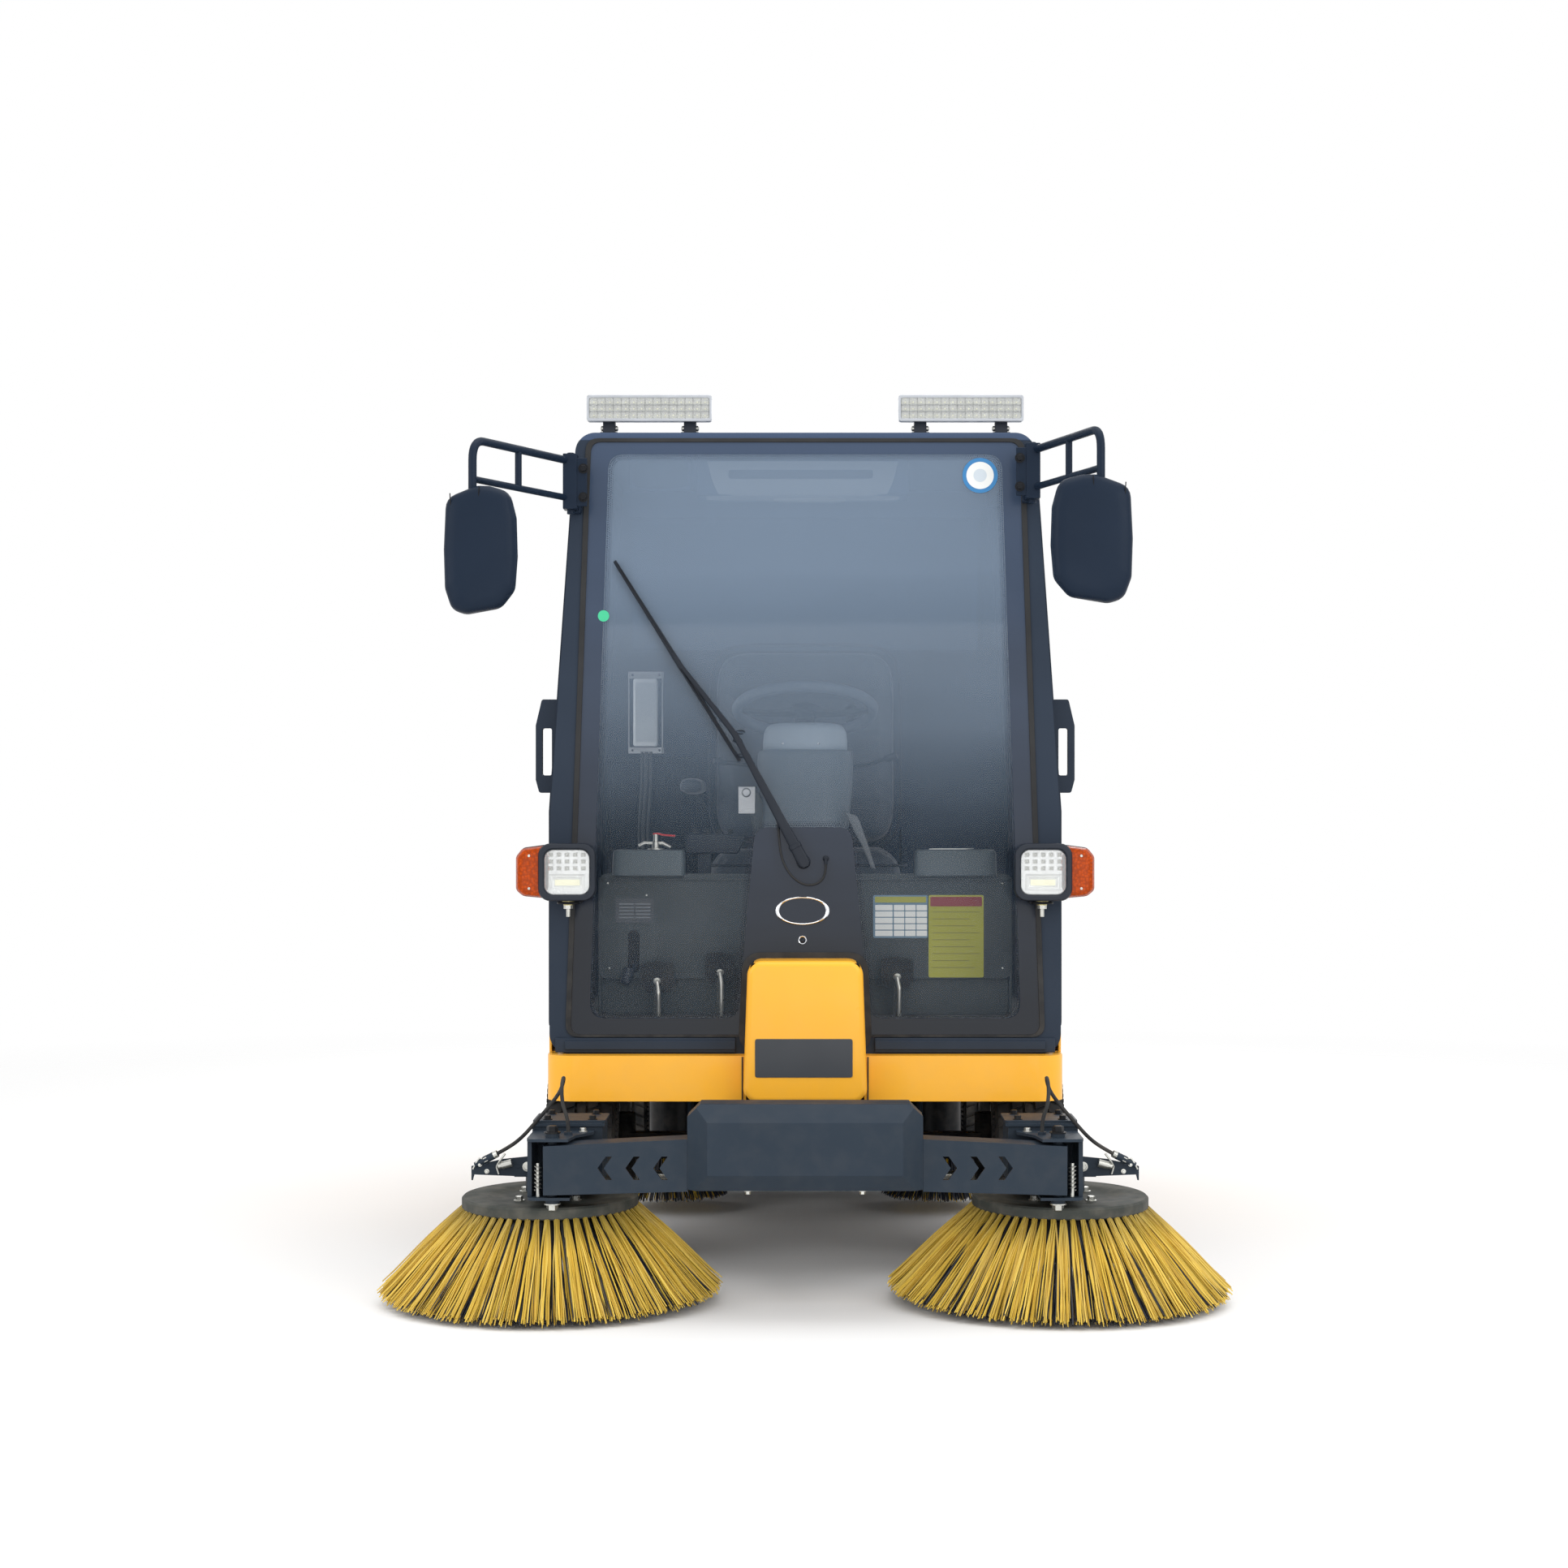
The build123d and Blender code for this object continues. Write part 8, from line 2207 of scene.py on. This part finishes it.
def makeRearBlind():
    (low, high), folds = blind["z"], blind["folds"]
    outline = [(blind["foldY"][i % 2], low + (high - low) * i / folds) for i in range(folds + 1)]
    outline += [(blind["backY"], high), (blind["backY"], low)]
    build("rearBlind", [
        (addSlab, outline, (-blind["half"], 0, 0), (0, 1, 0), (0, 0, 1), (2 * blind["half"], 0, 0)),
        (addBox, *blind["rail"]),
    ], "blind", "black_plastic")


# outlines and rib spans are (x, z) from the case's upper edge
case = {
    "z": 1.184, "y": 0.352, "deep": 0.06,
    "outline": ((-0.515, 0.0), (-0.285, 0.0), (-0.19, -0.52), (-0.515, -0.52)),
    "ribs": 9, "ribLeft": -0.505, "ribPitch": 0.026, "ribWide": 0.014, "ribSpan": (-0.012, -0.5),
    "ribY": 0.3525, "ribRise": 0.006, "ribRound": 0.003,
    "lid": ((-0.52, 0.004), (-0.28, 0.004), (-0.278, -0.01), (-0.52, -0.01)), "lidY": 0.344, "lidDeep": 0.068,
    "strut": ((-0.27, -0.12), (-0.258, -0.12), (-0.205, -0.4), (-0.262, -0.3), (-0.272, -0.27)),
    "strutY": 0.346, "strutDeep": 0.004,
    # the cable run, and each cable's shift across it with its radius
    "run": ((-0.412, 0.33, 1.2), (-0.412, 0.326, 1.12), (-0.42, 0.328, 1.0), (-0.418, 0.332, 0.82)),
    "cables": ((0.0, 0.0055), (0.012, 0.004), (-0.011, 0.0035)), "bend": 0.04,
}
controlBox = {
    "x": -0.413, "y": 0.318, "half": 0.0315, "deep": 0.02, "fins": 8, "finSpan": 0.026, "finThick": 0.0006,
    "levels": ((1.214, 0.003), (1.218, 0.0), (1.384, 0.0), (1.388, 0.003)), "finY": (0.2955, 0.2985),
    "finZ": (1.225, 1.378),
    "tabs": ((1.196, 1.212), (1.39, 1.408)), "tabX": -0.413, "tabWide": 0.092, "tabY": 0.334, "tabThick": 0.003,
    "holes": (-0.448, -0.378), "hole": 0.006,
    "legs": (((-0.459, 0.3345, 1.196), (-0.456, 0.352, 1.408)), ((-0.372, 0.331, 1.196), (-0.369, 0.352, 1.408))),
}
switchBox = {
    "outline": ((-0.283, 0.945), (-0.16, 0.945), (-0.138, 0.99), (-0.283, 0.992)), "y": -0.25, "deep": 0.085,
    "stem": ((-0.255, -0.245, 0.86), (-0.225, -0.19, 0.948)),
    "knobs": 4, "knobPlace": (-0.262, -0.205, 0.991), "knobPitch": 0.028,
    "knob": ((0.0, 0.0072), (0.01, 0.0068), (0.012, 0.0055), (0.0125, 0.0)),
}


def makeCase():
    # ribbed case at the left of the seat, its lid and strut, and the cables over it
    z, shapes = case["z"], [(addWall, case["outline"], case["y"], case["deep"], case["z"])]
    for i in range(case["ribs"]):
        left = case["ribLeft"] + i * case["ribPitch"]
        rib = softRect(left, left + case["ribWide"], *case["ribSpan"], case["ribRound"])
        shapes.append((addWall, rib, case["ribY"], -case["ribRise"], z))
    shapes.append((addWall, case["lid"], case["lidY"], case["lidDeep"], z))
    shapes.append((addWall, case["strut"], case["strutY"], -case["strutDeep"], z))
    build("ribbedCase", shapes, "lining", "black_plastic", bevel=0.0015)
    build("caseCables", [
        (addTube, bentPath([(x + shift, y, high) for x, y, high in case["run"]], case["bend"]), radius, 12)
        for shift, radius in case["cables"]
    ], "cable", "black_plastic")


def makeControlBox():
    # finned white box on its bracket over the case
    d = controlBox
    x = d["x"]
    levels = [(z, d["half"] - inset, d["y"], d["deep"] - inset / 2) for z, inset in d["levels"]]
    build("controlBox", [(addLoft, levelRings(x, levels, 9.0, 32))], "whiteBox", "steel", smooth=45)
    (finFront, finBack), (finLow, finHigh), thick = d["finY"], d["finZ"], d["finThick"]
    spots = [x + side * d["finSpan"] * (i + 0.5) / d["fins"] for side in (-1, 1) for i in range(d["fins"])]
    build("controlFins", [
        (addBox, (spot - thick, finFront, finLow), (spot + thick, finBack, finHigh)) for spot in spots
    ], "whiteBox", "steel")
    shapes = []
    for low, high in d["tabs"]:
        middle = (low + high) / 2
        tab = roundedBox(d["tabWide"], high - low, 0.003, 4, (d["tabX"], middle))
        holes = [roundedBox(d["hole"], d["hole"], 0.0029, 4, (hole, middle)) for hole in d["holes"]]
        shapes.append((addSheet, [tab] + holes, flatSpot(d["tabY"]), d["tabThick"]))
    shapes += [(addBox, *leg) for leg in d["legs"]]
    build("controlBracket", shapes, "brushed", "steel")


def makeSwitchBox():
    # switch box left of the pedestal
    d = switchBox
    outline = roundCorners(d["outline"], 0.006)
    build("switchBox", [(addWall, outline, d["y"], d["deep"]), (addBox, *d["stem"])],
          "darkPlastic", "black_plastic", bevel=0.003)
    x, y, z = d["knobPlace"]
    build("switchKnobs", [
        (addLathe, d["knob"], (x + i * d["knobPitch"], y, z), axisZ, 20) for i in range(d["knobs"])
    ], "rubber", "black_plastic", smooth=45)


# plain adhesive discs inside the glass: name, paint, x, z, radius, lift
screenDiscs = (
    ("greenDisc", "green", -0.4555, 1.487, 0.0128, 0.0), ("ringDisc", "discBlue", 0.396, 1.806, 0.04, 0.0),
    ("ringDiscFace", "paper", 0.396, 1.806, 0.031, 0.0004),
    ("ringDiscHeart", "discPale", 0.396, 1.806, 0.015, 0.0008),
)


def makeScreenDiscs():
    for name, paint, x, z, radius, lift in screenDiscs:
        outline = [(x + radius * math.cos(a), z + radius * math.sin(a))
                   for a in (2 * math.pi * i / 48 for i in range(48))]
        build(name, [(addSheet, [outline], lambda a, b, out: onScreen(a, b, 0.0006 + lift + out), 0.0003)], paint)


makeCeiling()
makeRearBlind()
makeCase()
makeControlBox()
makeSwitchBox()
makeScreenDiscs()
print("cab lining")

# swing brackets: pin bolts, spring, clamps, levers and the spray bar on the wing
swing = {
    "pin": (0.524, -1.085), "top": 0.37, "low": 0.242, "pinLift": 0.0085, "pinBolt": 0.022,
    # coil spring beside the pin, on its post
    "coilShift": (0.0285, -0.012), "coilRadius": 0.007, "wire": 0.0013, "coilZ": (0.262, 0.312), "turns": 6,
    "coilSteps": 18,
    "postZ": (0.2485, 0.318), "postRadius": 0.0042,
    "lever": ((0.65, -0.95, 0.276), (0.655, -0.952, 0.292), (0.648, -0.957, 0.304), (0.636, -0.956, 0.32)),
    "leverRadius": 0.0022,
    # zinc bolts: place, aim, size
    "bolts": (((0.59, -0.9455, 0.291), (0, -1, 0), 0.013), ((0.468, -0.99, 0.3705), (0, 0, 1), 0.012)),
    "boxBoltX": (0.452, 0.548), "boxBoltY": (-0.935, -0.833), "boxBoltZ": 0.39, "boxBolt": 0.013,
    # mounting plate on the motor box: left, right, front, back
    "plate": (0.424, 0.578, -0.956, -0.812), "plateZ": 0.3845, "plateThick": 0.0055, "lipLow": 0.3785,
    "lipY": -0.9615,
    "lipDeep": 0.004,
    # slots in the wing: width, height, corner, middle
    "slots": ((0.03, 0.007, 0.0034, (0.618, 0.291)), (0.024, 0.006, 0.0029, (0.664, 0.288))), "slotY": -0.9452,
    "slotRise": 0.0006,
    "clamp": ((0.0, 0.0), (0.0, 0.0085), (0.022, 0.0085), (0.0225, 0.0065), (0.03, 0.0065), (0.0305, 0.0)),
    "clampPlace": (0.622, -0.953, 0.3), "clampAim": (0.9, 0.05, -0.25),
    "bar": ((0.676, -0.951, 0.3), (0.69, -0.952, 0.312), (0.698, -0.952, 0.3), (0.705, -0.951, 0.286)),
    "barRadius": 0.002,
    "nut": ((0.0, 0.0052), (0.0015, 0.0052), (0.002, 0.003), (0.01, 0.003), (0.0104, 0.0)),
    "nuts": (0.296, 0.281), "nutFoot": (0.676, -0.9455, 0.281),
}


def coilPath(centre, radius, low, high, turns, steps):
    count = int(turns * steps)
    return [
        Vector((centre[0] + radius * math.cos(2 * math.pi * i / steps),
                centre[1] + radius * math.sin(2 * math.pi * i / steps), low + (high - low) * i / count))
        for i in range(count + 1)
    ]


def makeSwingDetails(side):
    sign, d = sideSign[side], swing
    x, y = d["pin"]
    ride = {"body": f"swing_{side}_body", "turn": Matrix.Diagonal((sign, 1, 1, 1))}
    coilX, coilY = x + d["coilShift"][0], y + d["coilShift"][1]
    coil = coilPath((coilX, coilY), d["coilRadius"], *d["coilZ"], d["turns"], d["coilSteps"])
    build(f"swingSpring_{side}", [(addTube, coil, d["wire"], 8)], "spring", "steel", smooth=45, **ride)
    build(f"springPost_{side}", [
        (addTube, [(coilX, coilY, z) for z in d["postZ"]], d["postRadius"], 14),
        (addTube, bentPath(d["lever"], 0.008), d["leverRadius"], 10),
    ], "zinc", "steel", smooth=45, **ride)
    spots = [((sign * x, y, d["low"] - d["pinLift"]), (0, 0, -1), d["pinBolt"])]
    spots += [((sign * a, b, c), aim, size) for (a, b, c), aim, size in d["bolts"]]
    repeatShape(f"swingBolts_{side}", "hexBolt", spots, ride["body"], "zinc")
    dark = [((sign * x, y, d["top"] + d["pinLift"]), axisZ, d["pinBolt"])]
    dark += [((sign * a, b, d["boxBoltZ"]), axisZ, d["boxBolt"]) for a in d["boxBoltX"] for b in d["boxBoltY"]]
    repeatShape(f"boxBolts_{side}", "hexBolt", dark, ride["body"], "black")
    # mounting plate on the motor box, with a lip, and the slots of the wing
    left, right, z = *d["plate"][:2], d["plateZ"]
    lip = [(left, d["lipLow"]), (right, d["lipLow"]), (right, z), (left, z)]
    build(f"swingPlates_{side}", [
        (addSlab, softRect(*d["plate"], 0.01), (0, 0, z), (1, 0, 0), (0, 1, 0), (0, 0, d["plateThick"])),
        (addWall, lip, d["lipY"], -d["lipDeep"]),
        *((addWall, roundedBox(wide, high, corner, 5, middle), d["slotY"], -d["slotRise"])
          for wide, high, corner, middle in d["slots"]),
    ], "slate", "slate", bevel=0.001, smooth=45, **ride)
    footX, footY, footZ = d["nutFoot"]
    build(f"wingFittings_{side}", [
        (addLathe, d["clamp"], d["clampPlace"], d["clampAim"], 20),
        (addTube, bentPath(d["bar"], 0.006), d["barRadius"], 10),
        *((addLathe, d["nut"], (footX + (z - footZ), footY, z), (0, -1, 0), 16) for z in d["nuts"]),
    ], "zinc", "steel", smooth=45, **ride)


for side in sideSign:
    makeSwingDetails(side)
bumper = {"x": 0.118, "y": -1.128, "z": 0.2655, "bolt": 0.011}
repeatShape("bumperBolts", "hexBolt", [
    ((sign * bumper["x"], bumper["y"], bumper["z"]), (0, 0, -1), bumper["bolt"]) for sign in (-1, 1)
], "front_beam_body", "zinc")
print("swing details")

# tail: lamps, latch, pressed ribs, seams and side vents
tail = {
    "lampX": 0.525, "lampHalf": 0.027, "lampZ": (0.82, 1.02), "lampY": 1.2252, "lampDeep": 0.0105,
    "lensHalf": 0.0225, "lensY": 1.2355, "lensDeep": 0.0072,
    "lenses": (("red", 0.9555, 1.0145), ("orange", 0.8905, 0.9495), ("lampFace", 0.8255, 0.8845)),
    "bars": (0.8875, 0.9525), "barHalf": (0.024, 0.0018), "barBack": 1.2392, "barScrew": 0.0032,
    "ribs": (0.73, 0.96, 1.19), "ribHalf": (0.415, 0.028), "ribY": 1.2445, "ribRise": 0.005,
    # latch plate and its pull: left, right, low, high, corner, then y and rise
    "latch": (((-0.07, 0.07, 0.578, 0.648, 0.012), 1.2448, 0.0025),
              ((-0.052, 0.03, 0.594, 0.632, 0.008), 1.2472, 0.004)),
    "lock": (0.05, 1.2473, 0.613),
    "lockProfile": ((0.0, 0.0), (0.0, 0.0095), (0.003, 0.0095), (0.0036, 0.0085), (0.0038, 0.0)),
    "lockSlot": ((0.0488, 1.251, 0.609), (0.0512, 1.2513, 0.617)),
    "rivetX": (0.2, 0.42), "rivetY": 1.245, "rivetZ": 0.566, "rivet": 0.0075,
    "sealX": 0.4865, "sealY": 1.224, "sealZ": (0.556, 1.376), "sealRadius": 0.004,
    # louvres of the side vents, each a (rise, height) section
    "louvres": 9, "louvreX": 0.5602, "louvreZ": 1.015, "louvrePitch": 0.026, "louvreY": 0.59, "louvreLong": 0.22,
    "louvre": ((0.0, 0.0), (0.0, 0.012), (0.0052, 0.0035), (0.0052, 0.0)),
    "panelX": 0.5603, "panel": (0.545, 0.86, 0.56, 1.3, 0.02), "seam": 0.0011,
    "screwY": (0.565, 0.84), "screwZ": (0.6, 1.27), "screw": 0.0065,
}


def makeTailLamps():
    d, shells, bars, screws = tail, [], [], []
    lenses = {paint: [] for paint, _, _ in d["lenses"]}
    barWide, barHigh = d["barHalf"]
    for middle in (-d["lampX"], d["lampX"]):
        shell = softRect(middle - d["lampHalf"], middle + d["lampHalf"], *d["lampZ"], 0.008)
        shells.append((addWall, shell, d["lampY"], d["lampDeep"]))
        for paint, low, high in d["lenses"]:
            cell = softRect(middle - d["lensHalf"], middle + d["lensHalf"], low, high, 0.006)
            lenses[paint].append((addWall, cell, d["lensY"], d["lensDeep"]))
        for z in d["bars"]:
            bars.append((addBox, (middle - barWide, d["lensY"], z - barHigh),
                         (middle + barWide, d["barBack"], z + barHigh)))
            screws.append(((middle, d["barBack"], z), axisY, d["barScrew"]))
    build("tailLampHousing", shells, "darkPlastic", "lamp", ("tail_lamps",), bevel=0.0015)
    build("tailLampBars", bars, "darkPlastic", "lamp", bevel=0.0005)
    for paint, cells in lenses.items():
        build(f"tailLens_{paint}", cells, paint, "lamp", bevel=0.0015)
    repeatShape("tailLampScrews", "capScrew", screws, "carrier", "zinc")


def makeTailDoor():
    d, door = tail, "tail_door_body"
    wide, high = d["ribHalf"]
    build("tailRibs", [
        (addWall, softRect(-wide, wide, z - high, z + high, 0.026, 7), d["ribY"], d["ribRise"]) for z in d["ribs"]
    ], "yellow", "body_yellow", body=door, bevel=0.0035, steps=3)
    build("tailLatch", [(addWall, softRect(*rect, 6), y, rise) for rect, y, rise in d["latch"]],
          "darkPlastic", "black_steel", body=door, bevel=0.0014)
    build("tailLock", [(addLathe, d["lockProfile"], d["lock"], axisY, 28), (addBox, *d["lockSlot"])],
          "zinc", "steel", body=door, smooth=40)
    rivets = [((sign * x, d["rivetY"], d["rivetZ"]), axisY, d["rivet"]) for sign in (-1, 1) for x in d["rivetX"]]
    repeatShape("tailDoorRivets", "domeRivet", rivets, door, "zinc")
    x, y, (low, high) = d["sealX"], d["sealY"], d["sealZ"]
    edge = [(-x, y, low), (x, y, low), (x, y, high), (-x, y, high), (-x, y, low)]
    build("tailSeal", [(addTube, bentPath(edge, 0.02), d["sealRadius"], 10)], "rubber", "black_plastic")


def makeTailSides():
    d, louvres, seams = tail, [], []
    for sign in (-1, 1):
        for i in range(d["louvres"]):
            z = d["louvreZ"] + i * d["louvrePitch"]
            blade = [(sign * (d["louvreX"] + a), b + z) for a, b in d["louvre"]]
            louvres.append((addWall, blade, d["louvreY"], d["louvreLong"]))
        soft = softRect(*d["panel"], 6)
        seams.append((addTube, [(sign * d["panelX"], a, b) for a, b in soft + soft[:1]], d["seam"], 6))
    build("sideVents", louvres, "yellow", "body_yellow")
    build("sidePanelSeams", seams, "darkPlastic", "black_plastic")
    repeatShape("sidePanelScrews", "capScrew", [
        ((sign * d["panelX"], y, z), (sign, 0, 0),
         d["screw"]) for sign in (-1, 1) for y in d["screwY"] for z in d["screwZ"]
    ], "carrier", "zinc")


makeTailLamps()
makeTailDoor()
makeTailSides()
print("tail details")

# studio
studio = {"floorRadius": 9.0, "fadeStart": 2.6, "fadeEnd": 6.5, "floorTone": 0.88, "worldLight": 0.9}


def makeFloor():
    disc = bmesh.new()
    bmesh.ops.create_circle(disc, cap_ends=True, segments=96, radius=studio["floorRadius"])
    mesh = bpy.data.meshes.new("studioFloor")
    disc.to_mesh(mesh)
    disc.free()
    floor = bpy.data.objects.new("studioFloor", mesh)
    bpy.context.scene.collection.objects.link(floor)
    made, tree, shader, place = startMaterial("studioFloor")
    tree.nodes.remove(shader)
    grey = studio["floorTone"]
    matt = addNode(tree, "ShaderNodeBsdfDiffuse", {"Color": (grey, grey, grey, 1)}).outputs[0]
    clear = addNode(tree, "ShaderNodeBsdfTransparent").outputs[0]
    distance = addNode(tree, "ShaderNodeVectorMath", {0: place}, operation="LENGTH").outputs["Value"]
    share = remap(tree, distance, studio["fadeStart"], studio["fadeEnd"])
    mixed = addNode(tree, "ShaderNodeMixShader", {0: share, 1: matt, 2: clear}).outputs[0]
    tree.links.new(mixed, tree.nodes["Material Output"].inputs[0])
    mesh.materials.append(made)


def makeWorld():
    world = bpy.data.worlds.new("studioWorld")
    bpy.context.scene.world = world
    world.use_nodes = True
    tree = world.node_tree
    path = addNode(tree, "ShaderNodeLightPath").outputs
    seen = maths(tree, "MAXIMUM", path["Is Camera Ray"],
                 maths(tree, "MAXIMUM", path["Is Glossy Ray"], path["Is Transmission Ray"]))
    level = maths(tree, "MULTIPLY_ADD", seen, 1.0 - studio["worldLight"], studio["worldLight"])
    back = tree.nodes["Background"]
    back.inputs["Color"].default_value = (1, 1, 1, 1)
    tree.links.new(level, back.inputs["Strength"])


def makeLamp(name, place, target, size, power):
    light = bpy.data.lights.new(name, "AREA")
    light.energy, light.size = power, size
    lamp = bpy.data.objects.new(name, light)
    lamp.location = place
    lamp.rotation_euler = (Vector(target) - Vector(place)).to_track_quat("-Z", "Y").to_euler()
    bpy.context.scene.collection.objects.link(lamp)


makeFloor()
makeWorld()
for lampRow in (
    ("overhead", (0.3, -1.2, 5.2), (0, 0, 0.8), 4.5, 95),
    ("frontLeft", (3.6, -4.6, 3.0), (0, -0.4, 0.8), 2.8, 66),
    ("frontRight", (-4.2, -3.6, 2.4), (0, -0.4, 0.8), 2.8, 46),
    ("frontLow", (0.2, -6.6, 0.9), (0, -0.6, 0.7), 3.0, 36),
    ("rear", (0.5, 4.8, 3.2), (0, 0.6, 1.0), 3.0, 60),
):
    makeLamp(*lampRow)
print("studio")
